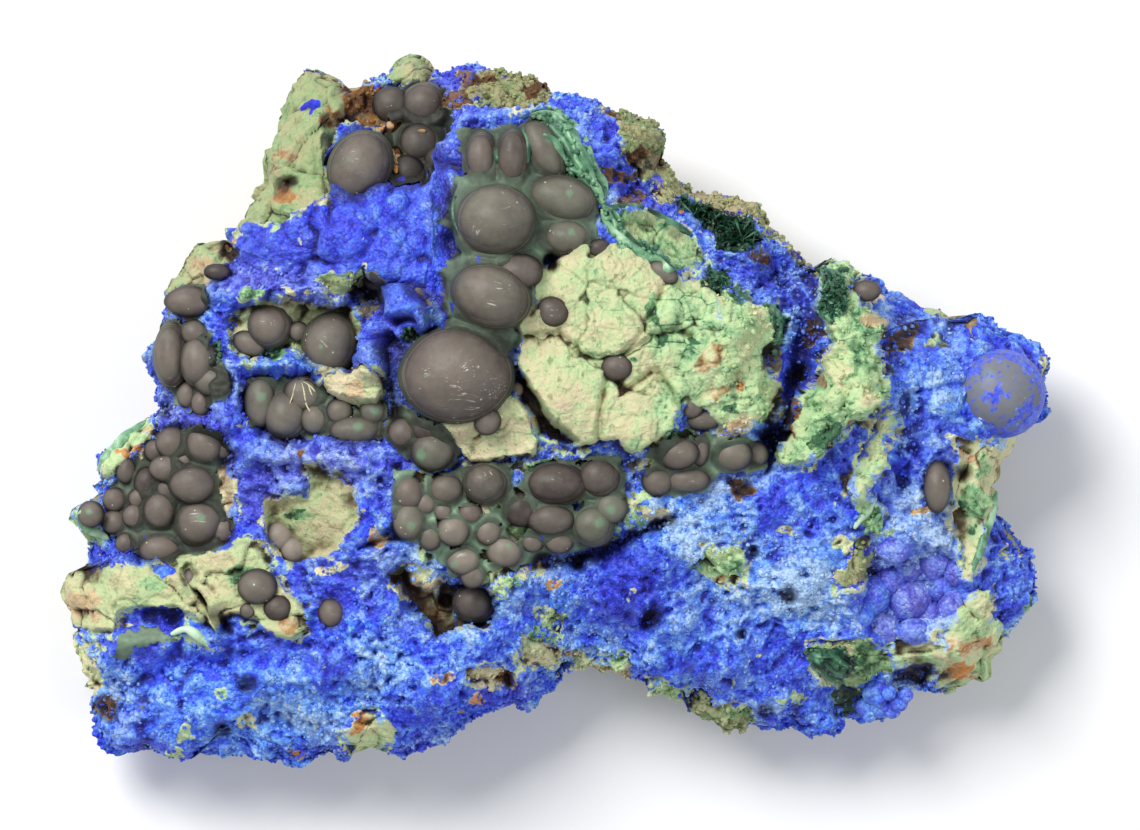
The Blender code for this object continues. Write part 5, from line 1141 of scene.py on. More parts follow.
        blue = rippled(blue - 0.8 * sawn((pits - 0.75) / 0.35) * rough, x, y, (0.6, 6.0, 19))
        self.crack, plate = seams(rippled(wx, x, y, (0.8, 6, 21)), wy, 6.2, 23, 0.17)
        hair_seam, hair = seams(rippled(x, x, y, (0.5, 3, 25)), y, 2.6, 27, 0.12)
        hair_seam = hair_seam * (hair > 0.3)
        px = rippled(sheet.plan[0], x, y, (0.5, 1.7, 61), (0.22, 0.7, 62))
        py = rippled(sheet.plan[1], x, y, (0.5, 1.7, 63), (0.22, 0.7, 64))
        flake, beside_flake = np.full(x.shape, 0.2), np.full(x.shape, 4.0)
        for lift, along, across, outline in FLAKES:
            depth = depth_in(px, py, outline) + FLAKE_MARGIN
            middle = np.mean(outline, axis=0)
            height = lift + along * (px - middle[0]) + across * (py - middle[1])
            flake = np.maximum(flake, height * sawn(depth / 0.3 + 0.5))
            beside_flake = np.minimum(beside_flake, np.abs(depth))
        slab = np.max([self.depths[name] for name in CLEAN_PLACES[:5]], axis=0) > -0.5
        edge = bell(beside_flake / 0.14)
        self.crack = np.where(slab, np.maximum(edge, 0.6 * hair_seam), self.crack)
        self.green += 0.3 * hair_seam * slab
        smooth = np.where(slab, 0.85 * flake - 0.2 - 0.12 * edge, 1.3 * (plate - 0.5) - 0.35 * self.crack)
        smooth += rippled(0.16 * (hair - 0.5) - 0.14 * hair_seam, x, y, (0.2, 2.4, 29))
        smooth += rippled(0, x, y, (0.14, 0.9, 31), (0.08, 0.45, 33))
        crumb = rippled(rippled(0, x, y, (0.6, 2.6, 35)) + 0.5 * block, x, y, (0.5, 1.2, 37))
        crumb += rippled(0.35 * scrap, x, y, (0.22, 0.5, 39))
        crumb += np.where(slab, 0.8 * flake - 0.2, 0.9 * (plate - 0.5) - 0.3 * self.crack)
        pale = smooth + self.coarse * (crumb - smooth)
        turn = rippled(self.fold, x, y, (0.35, 2.5, 47), (0.15, 1.0, 48)) * 2 * math.pi / FOLD_STEP
        green = rippled(0.42 * np.cos(turn), x, y, (0.4, 2.2, 41)) + 0.25 * mid + 0.3 * small
        green += rippled(0, x, y, (0.12, 0.5, 49)) + 0.5 * sawn(self.fold / 1.5)
        self.rise = np.where(self.kind == WEB, 1.5 * self.fillet, 0)
        self.rise += 1.7 * sawn(depth_in(*sheet.plan, PATCHES["tan pocket"][2]) / 1.4 + 0.5)
        web = rippled(0, x, y, (0.2, 2.0, 43), (0.1, 0.7, 45))
        crust = np.select([self.kind == BLUE, self.kind == PALE, self.kind == GREEN], [blue, pale, green], web)
        crust += 0.8 * sawn(self.depths["chain's cream"] / 0.8)
        for height, half, course in RIMS:
            near = close_to(*sheet.plan, course, half * 3)
            if near[0].size:
                warped = (w[near] - f[near] + p[near] for w, f, p in zip((wx, wy), (x, y), sheet.plan))
                crust[near] += height * bell(distance(*warped, course) / half)
        return crust + np.where(self.kind == PALE, 0.2, 0.5) * (blurred(crust, 1) - crust)


FOLD_STEP = 1.15  # from one malachite fold to the next


def ball_share(x, y, bx, by, along, across, turn):
    """How far out a point lies from a ball's middle in plan: 1 on its widest line."""
    c, s = math.cos(math.radians(turn)), math.sin(math.radians(turn))
    return np.hypot(((x - bx) * c + (y - by) * s) / along, ((y - by) * c - (x - bx) * s) / across)


# ---------------------------------------------------------------- meshes


def make_piece(name, places, faces, tones, marks, smooth=True):
    """A mesh object at the origin from places in millimetres, with its two colour attributes."""
    mesh = bpy.data.meshes.new(name)
    mesh.from_pydata((places * MM).tolist(), [], faces.tolist() if hasattr(faces, "tolist") else faces)
    mesh.polygons.foreach_set("use_smooth", np.full(len(mesh.polygons), smooth))
    for title, values in (("tones", tones), ("marks", marks)):
        layer = mesh.attributes.new(title, "FLOAT_COLOR", "POINT")
        layer.data.foreach_set("color", np.asarray(values, np.float32).ravel())
    mesh.update()
    piece = bpy.data.objects.new(name, mesh)
    bpy.context.collection.objects.link(piece)
    return piece


def dress(piece, material):
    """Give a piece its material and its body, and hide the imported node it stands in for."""
    piece.data.materials.append(material)
    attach(piece, "root")
    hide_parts(NODE)


def part_of_sheet(name, keep, places, quads, tones, marks):
    """The faces of a sheet that are kept, as a piece of their own."""
    chosen = quads[keep]
    used, order = np.unique(chosen, return_inverse=True)
    return make_piece(name, places[used], order.reshape(-1, 4), tones[used], marks[used])


def ball_surface(x, y, z, along, across, tall, turn, rows, columns, seed, crowned, knobbly=False):
    """A closed lumpy ellipsoid by latitude and longitude; a large one's crown stands a little proud."""
    up = np.linspace(0, math.pi, rows + 1)[1:-1]
    round_ = np.linspace(0, 2 * math.pi, columns, endpoint=False)
    v, u = np.meshgrid(up, round_, indexing="ij")
    ux, uy, uz = np.sin(v) * np.cos(u), np.sin(v) * np.sin(u), np.cos(v)
    ux = np.concatenate([[0.0], ux.ravel(), [0.0]])
    uy = np.concatenate([[0.0], uy.ravel(), [0.0]])
    uz = np.concatenate([[1.0], uz.ravel(), [-1.0]])
    size = (along + across) / 2
    sx, sy, sz = ux * size + 40 * seed, uy * size, uz * size
    lump = 0.035 * swell(sx, sy, sz, size * 1.1, 61) + 0.012 * swell(sx, sy, sz, size * 0.45, 62)
    lump += 0.004 * swell(sx, sy, sz, 0.5, 63)
    if knobbly:
        lump = lump * 2 + 0.05 * swell(sx, sy, sz, 1.0, 65) + 0.035 * swell(sx, sy, sz, 0.5, 66)
    if crowned:
        edge = CROWN_EDGE + 0.06 * swell(sx, sy, sz, size * 0.8, 64)
        lump += 0.022 * sawn((uz - edge) / 0.06)
    c, s = math.cos(math.radians(turn)), math.sin(math.radians(turn))
    px, py, pz = ux * along * (1 + lump), uy * across * (1 + lump), uz * tall * (1 + lump)
    places = np.stack([x + px * c - py * s, y + px * s + py * c, z + pz], 1)
    index = 1 + np.arange((rows - 1) * columns).reshape(rows - 1, columns)
    ahead = np.roll(index, -1, axis=1)
    quads = np.stack([index[:-1], index[1:], ahead[1:], ahead[:-1]], -1).reshape(-1, 4)
    last = len(places) - 1
    top = np.stack([np.zeros(columns, int), index[0], ahead[0]], 1)
    under = np.stack([np.full(columns, last), ahead[-1], index[-1]], 1)
    return places, quads, np.concatenate([top, under]), uz


CROWN_EDGE = 0.38
# Marks on the balls: x, y, radius. Scuffs are scratched pale; mint spots are a thin green film.
SCUFFS = [
    (-15.8, 4.4, 1.6), (-10.5, 5.2, 1.8), (-12.2, 2.2, 2.6), (-7.4, 2.6, 2.8), (-10, -0.2, 2.0),
    (-14.5, 0.6, 1.2), (-6.6, 15.2, 1.6),
    (-7.8, 12.8, 1.0), (-5.8, 25, 1.2), (-9.6, 22.4, 1.2), (-25.3, 32, 2.2), (0.6, -8.4, 1.4),
    (-8.4, -8.2, 1.2),
    (-11.8, -18.2, 1.2), (15.6, -5, 1.2), (-44.8, -13.4, 1.6), (-35.6, 10.8, 1.2), (-28.4, 8.6, 1.4),
    (-0.2, 12, 1.3)]
MINT_SPOTS = [
    (-44.5, -13.6, 1.1), (-16.7, -5.7, 1.2), (-29.2, 7.8, 0.6), (-16, 4.2, 0.6), (5.6, -14.2, 1.3),
    (7, -12.6, 1.1),
    (-12.6, -19.4, 0.9), (-5.8, -17.2, 0.8), (-36.8, 1.6, 1.2), (-24.6, -2.2, 1.2), (-22.6, -0.2, 1.2),
    (-18, -14.6, 1.1), (-58.8, -13, 0.8), (1.8, 26.8, 1.0), (2.0, 22, 0.9), (-0.6, 33.6, 1.0),
    (54.5, 4.4, 1.4)]


def near_spots(places, spots):
    """How much each point lies in a spot: 1 in the middle of one, 0 from its radius out."""
    share = np.zeros(len(places))
    for x, y, radius in spots:
        share = np.maximum(share, sawn(1.3 * (1 - np.hypot(places[:, 0] - x, places[:, 1] - y) / radius)))
    return share


def seat_of(bx, by):
    """Height of the bare face under a ball's middle."""
    return float(ground_height(np.array([bx, 0.0]), np.array([by, 0.0]))[0])


def ball_cluster(name, balls, tone_of, knobbly=False):
    """One mesh of closed balls, each resting in the face as the solid has it."""
    all_places, all_faces, all_tones, all_marks, start = [], [], [], [], 0
    for number, ball in enumerate(balls):
        bx, by, along, across, turn, lift = ball[:6]
        size = (along + across) / 2
        z = seat_of(bx, by) + lift - BALL_SINK[0] * size - BALL_SINK[1] - 0.35 * size * knobbly
        large = size > 2.55
        grown = 1.0 if large else 1.0 + 0.2 / size
        along, across = along * grown, across * grown
        rows = int(np.clip(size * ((22 if knobbly else 13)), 14, 66))
        coats = [(0.0, 0.0, 1.0)]
        if large:  # a second skin shows as a rim round the larger balls
            coats = [(-0.1, 0.0, 1.0), (0.12 + 0.02 * size, 0.45, 0.86)]
        for wider, lower, dim in coats:
            places, quads, tips, uz = ball_surface(
                bx + 0.6 * wider, by - 0.4 * wider, z - lower, along + wider, across + wider,
                size - 0.4 * wider, turn, rows, rows * 2, number + len(name) + 50 * wider, large, knobbly)
            all_places.append(places)
            all_faces += (quads + start).tolist() + (tips + start).tolist()
            colours = tone_of(ball, places, uz)
            colours[:, 0] *= dim
            all_tones.append(colours)
            shades = np.zeros((len(places), 4))
            shades[:, 0] = 0.5
            if not knobbly:
                shades[:, 1] = large
                shades[:, 2], shades[:, 3] = near_spots(places, SCUFFS), near_spots(places, MINT_SPOTS)
            all_marks.append(shades)
            start += len(places)
    return np.concatenate(all_places), all_faces, np.concatenate(all_tones), np.concatenate(all_marks)


def grey_ball_tone(ball, places, uz):
    """Lightness, greenness, crown and blue dust of one grey ball."""
    dark, green = ball[6], ball[7]
    tones = np.zeros((len(places), 4))
    tones[:, 0] = 0.5 - 0.5 * dark
    tones[:, 1] = green
    tones[:, 2] = uz
    return tones


def blue_ball_tone(ball, places, uz):
    """Brightness and violet of one azurite ball, mottled, with a little painted light towards its top."""
    tones = np.zeros((len(places), 4))
    x, y, z = places.T
    mottle = swell(x, y, z, 2.0, 131) + 0.6 * swell(x, y, z, 0.8, 132)
    # A little painted light towards the top of the ball.
    tones[:, 0] = 0.58 + 0.06 * uz + 0.16 * mottle
    tones[:, 1] = 0.2 + 0.7 * ball[6] - 0.25 * mottle
    return tones


def dusted_ball_tone(ball, places, uz):
    """A grey ball under blue dust that lies thickest round its edge and on its lower left."""
    tones = grey_ball_tone(ball[:6] + (-0.25, 0.6), places, uz)
    x, y, z = places.T
    dust = swell(x, y, z, 2.2, 121) + 0.7 * swell(x, y, z, 0.9, 122) + 0.5 * swell(x, y, z, 0.45, 123)
    aside = ((x - ball[0]) * -0.7 - (y - ball[1]) * 0.6) / ball[2]
    tones[:, 3] = 0.28 + 0.26 * sawn((0.92 - uz) / 0.5) + 0.36 * sawn((dust + 0.5 * aside + 0.3) / 1.1)
    tones[:, 3] += 0.16 * swell(x, y, z, 0.5, 124)
    return tones


def matrix_body():
    """The closed rock under the crust: face grid, wall rings down the broken faces, flat back."""
    count = BODY_POINTS
    steps = np.linspace(-1, 1, count)
    a, b = np.meshgrid(steps, steps, indexing="ij")
    ring, turn = disc_from_square(a, b)
    reach = reach_at(turn, EASED) + (reach_at(turn, REACH) - reach_at(turn, EASED)) * ring**4
    inner = reach - SHOULDER
    out = ring * (inner + SHOULDER_WAY)
    over = np.clip((out - inner) / SHOULDER_WAY, 0, 1)
    level = np.minimum(out, inner) + SHOULDER * np.sin(over * math.pi / 2)
    x, y = CENTRE[0] + level * np.cos(turn), CENTRE[1] + level * np.sin(turn)
    rim_z = rim_height(turn)
    rounded = np.sqrt(np.clip(1 - (1 - np.clip(distance_table(x, y) / SHOULDER, 0, 1)) ** 2, 0, 1))
    z = rim_z + (ground_height(x, y) - 2.2 - rim_z) * np.where(ring > 0.9999, 0, rounded)
    level -= INSET * ring**8
    x, y = CENTRE[0] + level * np.cos(turn), CENTRE[1] + level * np.sin(turn)
    index = np.arange(count * count).reshape(count, count)
    faces = [np.stack([index[:-1, :-1], index[1:, :-1], index[1:, 1:], index[:-1, 1:]], -1).reshape(-1, 4)]
    edge = np.concatenate([index[:-1, 0], index[-1, :-1], index[:0:-1, -1], index[0, :0:-1]])
    places = [np.stack([x.ravel(), y.ravel(), z.ravel()], 1)]
    flat = [np.stack([x.ravel(), y.ravel()], 1)]
    turn_edge, rim_edge = turn.ravel()[edge], rim_z.ravel()[edge]
    start, previous = count * count, edge
    for row in range(1, WALL_RINGS + 1):
        down = row / WALL_RINGS
        wall_z = rim_edge * (1 - down)
        where = wall_point(turn_edge, wall_z, rim_edge)
        laid = where + down * 30
        fx, fy = laid * np.cos(turn_edge), laid * np.sin(turn_edge)
        number = cells(fx, fy, 5.0, 95)[2]
        chip = rippled(0.9 * (number - 0.6), fx, fy, (0.5, 1.8, 96), (0.25, 0.8, 97))
        fade = sawn(down / 0.12) * sawn((1 - down) / 0.08)
        where = where + chip * fade - INSET * (1 - sawn((rim_edge * down - 2) / 6))
        x, y = CENTRE[0] + where * np.cos(turn_edge), CENTRE[1] + where * np.sin(turn_edge)
        places.append(np.stack([x, y, wall_z], 1))
        flat.append(np.stack([fx, fy], 1))
        current = start + np.arange(len(edge))
        start += len(edge)
        ahead, after = np.roll(previous, -1), np.roll(current, -1)
        faces.append(np.stack([previous, current, after, ahead], 1))
        previous = current
    places.append(np.array([[CENTRE[0], CENTRE[1], 0.0]]))
    flat.append(np.array([[0.0, 0.0]]))
    fan = np.stack([previous, np.full(len(edge), start), np.roll(previous, -1)], 1)
    places, flat = np.concatenate(places), np.concatenate(flat)
    fx, fy = flat[:, 0], flat[:, 1]
    tones = np.zeros((len(places), 4))
    tones[:, 0] = 0.5 + 0.2 * ripple(fx, fy, 7.0, 101)
    tones[:, 2] = 0.3 + 0.35 * ripple(fx, fy, 9.0, 102) + 0.2 * ripple(fx, fy, 2.5, 108)
    tones[:, 3] = 0.45 + 0.4 * ripple(fx, fy, 8.0, 103) + 0.25 * ripple(fx, fy, 2.0, 109)
    marks = np.zeros((len(places), 4))
    marks[:, 0] = 0.5
    spots = ripple(fx, fy, 6.0, 104) + 0.6 * ripple(fx, fy, 2.0, 105) + 0.4 * ripple(fx, fy, 0.8, 110)
    marks[:, 1] = sawn((spots - 0.75) / 0.5) * 0.6
    marks[:, 2] = sawn(0.3 + 0.5 * ripple(fx, fy, 10.0, 106))
    marks[:, 3] = 0.28 + 0.25 * sawn((ripple(fx, fy, 4.0, 107) + 0.3) / 0.9)
    return places, np.concatenate(faces).tolist() + fan.tolist(), tones, marks


# ---------------------------------------------------------------- materials


def shade(red, green, blue):
    """A colour in 0..255 as the linear colour that shaders take."""
    values = [c / 255 for c in (red, green, blue)]
    return tuple(v / 12.92 if v <= 0.04045 else ((v + 0.055) / 1.055) ** 2.4 for v in values) + (1.0,)


class Tree:
    """Short ways to add nodes to one tree and join them."""

    def __init__(self, tree):
        self.tree = tree

    def add(self, kind, inputs=None, **settings):
        node = self.tree.nodes.new(kind)
        for key, value in settings.items():
            setattr(node, key, value)
        for key, value in (inputs or {}).items():
            self.put(node.inputs[key], value)
        return node

    def put(self, socket, value):
        if hasattr(value, "is_output"):
            self.tree.links.new(value, socket)
        else:
            socket.default_value = value

    def here(self):
        """The place on the piece."""
        return self.add("ShaderNodeTexCoord").outputs["Object"]

    def math(self, operation, first, second=0.0, clamp=False):
        inputs = {0: first, 1: second}
        return self.add("ShaderNodeMath", inputs, operation=operation, use_clamp=clamp).outputs[0]

    def plus(self, first, second, clamp=False):
        return self.math("ADD", first, second, clamp)

    def times(self, first, second):
        return self.math("MULTIPLY", first, second)

    def swing(self, value, amount, middle=0.5):
        """How far a value stands from its middle, times an amount."""
        return self.times(self.math("SUBTRACT", value, middle), amount)

    def sway(self, level, value, amount, clamp=False, middle=0.5):
        """A level moved by the swing of a value."""
        return self.plus(level, self.swing(value, amount, middle), clamp)

    def step(self, value, low, high, amount=None):
        """A smooth step from low to high, times an amount."""
        inputs = {0: value, 1: low, 2: high}
        share = self.add("ShaderNodeMapRange", inputs, interpolation_type="SMOOTHSTEP").outputs[0]
        return share if amount is None else self.times(share, amount)

    def blend(self, share, first, second, way="MIX"):
        node = self.add("ShaderNodeMix", data_type="RGBA", blend_type=way, clamp_factor=True)
        for place, value in ((0, share), (6, first), (7, second)):
            self.put(node.inputs[place], value)
        return node.outputs[2]

    def tinted(self, colour, tint):
        """A colour multiplied by a tint."""
        return self.blend(1.0, colour, tint, "MULTIPLY")

    def ramp(self, share, stops):
        node = self.add("ShaderNodeValToRGB", {0: share})
        band = node.color_ramp
        while len(band.elements) < len(stops):
            band.elements.new(0.5)
        for element, (place, colour) in zip(band.elements, stops):
            element.position = place
            element.color = shade(*colour)
        return node.outputs[0]

    def noise(self, place, size, detail=2.0, rough=0.55):
        inputs = {"Vector": place, "Scale": 1000.0 / size, "Detail": detail, "Roughness": rough}
        return self.add("ShaderNodeTexNoise", inputs).outputs[0]

    def astray(self, place, scale, detail, share):
        """A place led a little astray by noise."""
        noise = self.add("ShaderNodeTexNoise", {"Vector": place, "Scale": scale, "Detail": detail})
        inputs = {0: share, 4: place, 5: noise.outputs[1]}
        return self.add("ShaderNodeMix", inputs, data_type="VECTOR").outputs[1]

    def grains(self, place, size):
        return self.add("ShaderNodeTexVoronoi", {"Vector": place, "Scale": 1000.0 / size}, feature="F1")

    def chance(self, grains, index):
        """One of the three random numbers of each grain."""
        return self.add("ShaderNodeSeparateColor", {0: grains.outputs["Color"]}).outputs[index]

    def group(self, source, inputs):
        return self.add("ShaderNodeGroup", inputs, node_tree=source)


COLOURED = ("Color", "Own", "Other")  # sockets that hold a colour; every other one holds a number


def new_group(name, given, made):
    """An empty shader group with its sockets: its tree, what it is given and what it makes."""
    tree = bpy.data.node_groups.new(name, "ShaderNodeTree")
    for titles, way in ((given, "INPUT"), (made, "OUTPUT")):
        for title in titles:
            kind = "NodeSocketColor" if title in COLOURED else "NodeSocketFloat"
            tree.interface.new_socket(title, in_out=way, socket_type=kind)
    return Tree(tree), tree.nodes.new("NodeGroupInput").outputs, tree.nodes.new("NodeGroupOutput").inputs


def azurite_group():
    """Azurite: fine grains whose blue follows tone and violet, with painted light on crests and painted shade
    in creases, between grains and in small hollows.
    """
    t, given, made = new_group("azurite_velvet", ("Tone", "Violet", "Cavity"), ("Color", "Height"))
    place = t.here()
    near = t.astray(place, 1400.0, 2.0, 0.0004)
    grain, coarse = t.grains(near, 0.4), t.grains(near, 0.95)
    scatter = t.swing(t.chance(grain, 0), 0.16)
    scatter = t.sway(scatter, t.chance(coarse, 1), 0.12)
    scatter = t.sway(scatter, t.noise(place, 2.2, 3.0), 0.32)
    # Painted light and shade: paler where the surface stands proud, deeper where it sinks (Cavity).
    level = t.sway(t.plus(given["Tone"], scatter), given["Cavity"], 0.3, True)
    pure = t.ramp(level, [
        (0.0, (12, 12, 78)), (0.2, (24, 32, 170)), (0.4, (38, 58, 222)), (0.55, (54, 96, 236)),
        (0.7, (80, 138, 240)), (0.85, (118, 174, 240)), (1.0, (168, 206, 240))])
    dull = t.ramp(level, [
        (0.0, (26, 20, 70)), (0.3, (66, 58, 156)), (0.6, (108, 108, 204)), (1.0, (180, 188, 230))])
    colour = t.blend(given["Violet"], pure, dull)
    chance = t.chance(grain, 2)
    pale = t.times(t.step(chance, 0.9, 0.96), t.step(level, 0.5, 0.8))
    colour = t.blend(t.times(pale, 0.5), colour, shade(190, 208, 222))
    colour = t.blend(t.step(chance, 0.1, 0.05, 0.45), colour, shade(30, 26, 100))
    # Painted shade in the gaps between grains.
    gap = t.step(grain.outputs["Distance"], 0.45, 0.85, 0.35)
    colour = t.blend(gap, colour, t.tinted(colour, shade(110, 110, 190)))
    # Painted shade in small hollows, which the bump also sinks.
    hollow = t.step(t.noise(near, 0.7, 3.0, 0.7), 0.35, 0.27, 0.5)
    colour = t.blend(hollow, colour, t.tinted(colour, shade(70, 70, 130)))
    t.put(made["Color"], colour)
    height = t.math("SUBTRACT", 1.0, t.math("POWER", grain.outputs["Distance"], 2.0))
    height = t.plus(height, t.times(coarse.outputs["Distance"], -0.5))
    t.put(made["Height"], t.math("SUBTRACT", height, t.times(hollow, 1.2)))
    return t.tree


def pale_group():
    """Pale rock: cream to green, rust and peach stains, speckled and mottled, with painted shade in creases and
    crumb hollows and where it is marked less light.
    """
    t, given, made = new_group(
        "pale_rock", ("Green", "Rust", "Peach", "Cavity", "Light"), ("Color", "Height"))
    place = t.here()
    broad, fine = t.noise(place, 4.5, 4.0, 0.6), t.noise(place, 1.1, 4.0, 0.65)
    speck = t.grains(place, 0.55)
    green = t.sway(t.sway(given["Green"], broad, 1.5), fine, 0.9, True)
    colour = t.ramp(green, [
        (0.0, (216, 202, 168)), (0.3, (208, 206, 162)), (0.5, (194, 210, 158)), (0.72, (176, 208, 154)),
        (0.9, (124, 170, 120)), (1.0, (58, 104, 70))])
    peach = t.step(t.sway(given["Peach"], fine, 0.8), 0.1, 0.8, 0.8)
    colour = t.blend(peach, colour, shade(214, 184, 142))
    rust = t.step(t.sway(given["Rust"], t.noise(place, 1.8, 4.0, 0.65), 1.6), 0.35, 0.95)
    glow = t.plus(fine, t.times(given["Peach"], 0.4), True)
    colour = t.blend(rust, colour, t.blend(glow, shade(80, 54, 32), shade(212, 142, 68)))
    dark = t.step(t.plus(fine, t.times(t.chance(speck, 0), 0.25)), 0.72, 0.86, 0.5)
    colour = t.blend(dark, colour, shade(92, 88, 52))
    # Painted shade in creases.
    cavity = t.step(given["Cavity"], 0.05, 0.5)
    colour = t.blend(cavity, t.tinted(colour, shade(165, 142, 104)), colour)
    # Painted shade where the rock is marked less light (Light), partly the rock's own darker tone.
    lit = t.step(given["Light"], 0.0, 0.8)
    colour = t.blend(lit, t.tinted(colour, shade(168, 164, 148)), colour)
    crumbs = t.noise(place, 0.35, 3.0, 0.7)
    # Painted shade in the hollows between crumbs.
    pore_shade = t.step(crumbs, 0.4, 0.3, 0.45)
    colour = t.blend(pore_shade, colour, t.tinted(colour, shade(130, 118, 86)))
    colour = t.blend(t.step(crumbs, 0.6, 0.72, 0.5), colour, shade(228, 228, 204))
    t.put(made["Color"], colour)
    height = t.plus(fine, t.times(speck.outputs["Distance"], 0.4))
    t.put(made["Height"], t.plus(height, t.times(crumbs, 0.7)))
    return t.tree


def depth_group():
    """Paints shade: darkens a colour in creases, and towards brown black where the surface is marked dark,
    which holds painted shadow in pits, hollows and beside balls as well as dark stains and cracks.
    """
    t, given, made = new_group("deep_shade", ("Color", "Cavity", "Dark"), ("Color",))
    crease = t.step(given["Cavity"], 0.0, 0.42)
    colour = t.blend(crease, t.tinted(given["Color"], shade(120, 112, 150)), given["Color"])
    t.put(made["Color"], t.blend(given["Dark"], colour, shade(28, 18, 16)))
    return t.tree


def dusting_group():
    """One finish dusted with another, ragged at the edge: the share is broken up by fine noise."""
    t, given, made = new_group("ragged_dusting", ("Own", "Other", "Share"), ("Color",))
    share = t.sway(given["Share"], t.noise(t.here(), 0.8, 3.0, 0.6), 0.9)
    t.put(made["Color"], t.blend(t.step(share, 0.35, 0.67), given["Own"], given["Other"]))
    return t.tree


AZURITE, PALE_ROCK, DEEP, DUSTED = azurite_group(), pale_group(), depth_group(), dusting_group()


def new_material(name, values):
    """A node material with its Principled shader, which has these values, joined to the output."""
    material = bpy.data.materials.new(name)
    material.use_nodes = True
    material.node_tree.nodes.clear()
    t = Tree(material.node_tree)
    shader = t.add("ShaderNodeBsdfPrincipled", values)
    t.add("ShaderNodeOutputMaterial", {"Surface": shader.outputs[0]})
    return material, t, shader


def marks_of(t):
    """The two colour attributes, taken apart: tone, violet, green, rust, cavity, mix, peach, dark.

    On grey balls the same eight hold: tone, olive tint, height on the ball, dust, cavity, whether it
    is large, scuffs, mint spots. On malachite the seventh is the course of its bands."""
    found = []
    for title in ("tones", "marks"):
        layer = t.add("ShaderNodeAttribute", attribute_name=title)
        found += t.add("ShaderNodeSeparateColor", {0: layer.outputs["Color"]}).outputs[:]
        found.append(layer.outputs["Alpha"])
    return found


def layered(t, own, other, share, cavity, dark):
    """A colour dusted with another, then given painted shade in its creases and where it is marked dark."""
    colour = t.group(DUSTED, {"Own": own, "Other": other, "Share": share}).outputs["Color"]
    return t.group(DEEP, {"Color": colour, "Cavity": cavity, "Dark": dark}).outputs["Color"]


def blue_dusted(t, own, violet, share, cavity, dark):
    """A colour dusted with azurite of middling tone, then given painted shade in its creases."""
    azurite = t.group(AZURITE, {"Tone": 0.5, "Violet": violet, "Cavity": cavity})
    return layered(t, own, azurite.outputs["Color"], share, cavity, dark)


def finish(t, shader, colour, height, deep):
    """Gives the shader its colour and a fine bump, in millimetres."""
    t.put(shader.inputs["Base Color"], colour)
    node = t.add("ShaderNodeBump", {"Height": height, "Distance": deep * MM, "Strength": 0.8})
    t.put(shader.inputs["Normal"], node.outputs[0])


def crust_material(name, blue, values, deep):
    """Azurite crust, or pale rock, each dusted with the other."""
    material, t, shader = new_material(name, values)
    tone, violet, green, rust, cavity, mix, peach, dark = marks_of(t)
    azurite = t.group(AZURITE, {"Tone": tone, "Violet": violet, "Cavity": cavity})
    light = t.plus(tone, 0.25 if blue else 0.0)
    pale = t.group(PALE_ROCK, {
        "Green": green, "Rust": rust, "Peach": peach, "Cavity": cavity, "Light": light})
    own, other = (azurite, pale) if blue else (pale, azurite)
    colour = layered(t, own.outputs["Color"], other.outputs["Color"], mix, cavity, dark)
    finish(t, shader, colour, own.outputs["Height"], deep)
    return material


def malachite_material():
    """Malachite: dark to mint green in thin bands that follow the folds, with painted light on crests and
    painted shade in creases.
    """
    material, t, shader = new_material("malachite", {
        "Roughness": 0.42, "Subsurface Weight": 0.08, "Subsurface Radius": (0.3, 1.0, 0.5),
        "Subsurface Scale": 0.0008})
    tone, violet, _, _, cavity, mix, course, dark = marks_of(t)
    place = t.here()
    fine = t.noise(place, 0.8, 3.0, 0.6)
    band = t.math("SINE", t.times(t.plus(course, t.times(fine, 0.08)), 44.0))
    level = t.sway(t.sway(tone, t.noise(place, 2.5, 3.0), 0.7), fine, 0.5)
    # Painted light on crests and painted shade in creases, from Cavity.
    level = t.sway(t.plus(level, t.times(band, 0.09)), cavity, 0.4, True)
    colour = t.ramp(level, [
        (0.0, (12, 30, 24)), (0.25, (34, 74, 54)), (0.5, (78, 126, 96)), (0.75, (126, 174, 134)),
        (1.0, (190, 218, 188))])
    finish(t, shader, blue_dusted(t, colour, violet, mix, cavity, dark), fine, 0.12)
    return material


def web_material():
    """The greenish skin between the balls."""
    material, t, shader = new_material("ball_ground", {"Roughness": 0.6, "Specular IOR Level": 0.3})
    tone, violet, _, _, cavity, mix, _, dark = marks_of(t)
    place = t.here()
    fine = t.noise(place, 0.6, 3.0, 0.6)
    level = t.sway(t.sway(tone, t.noise(place, 5.0, 3.0, 0.55), 0.9), fine, 0.35, True)
    colour = t.ramp(level, [
        (0.0, (44, 46, 40)), (0.3, (80, 90, 76)), (0.55, (108, 128, 108)), (0.8, (130, 160, 132)),
        (1.0, (160, 190, 156))])
    finish(t, shader, blue_dusted(t, colour, violet, mix, cavity, dark), fine, 0.1)
    return material


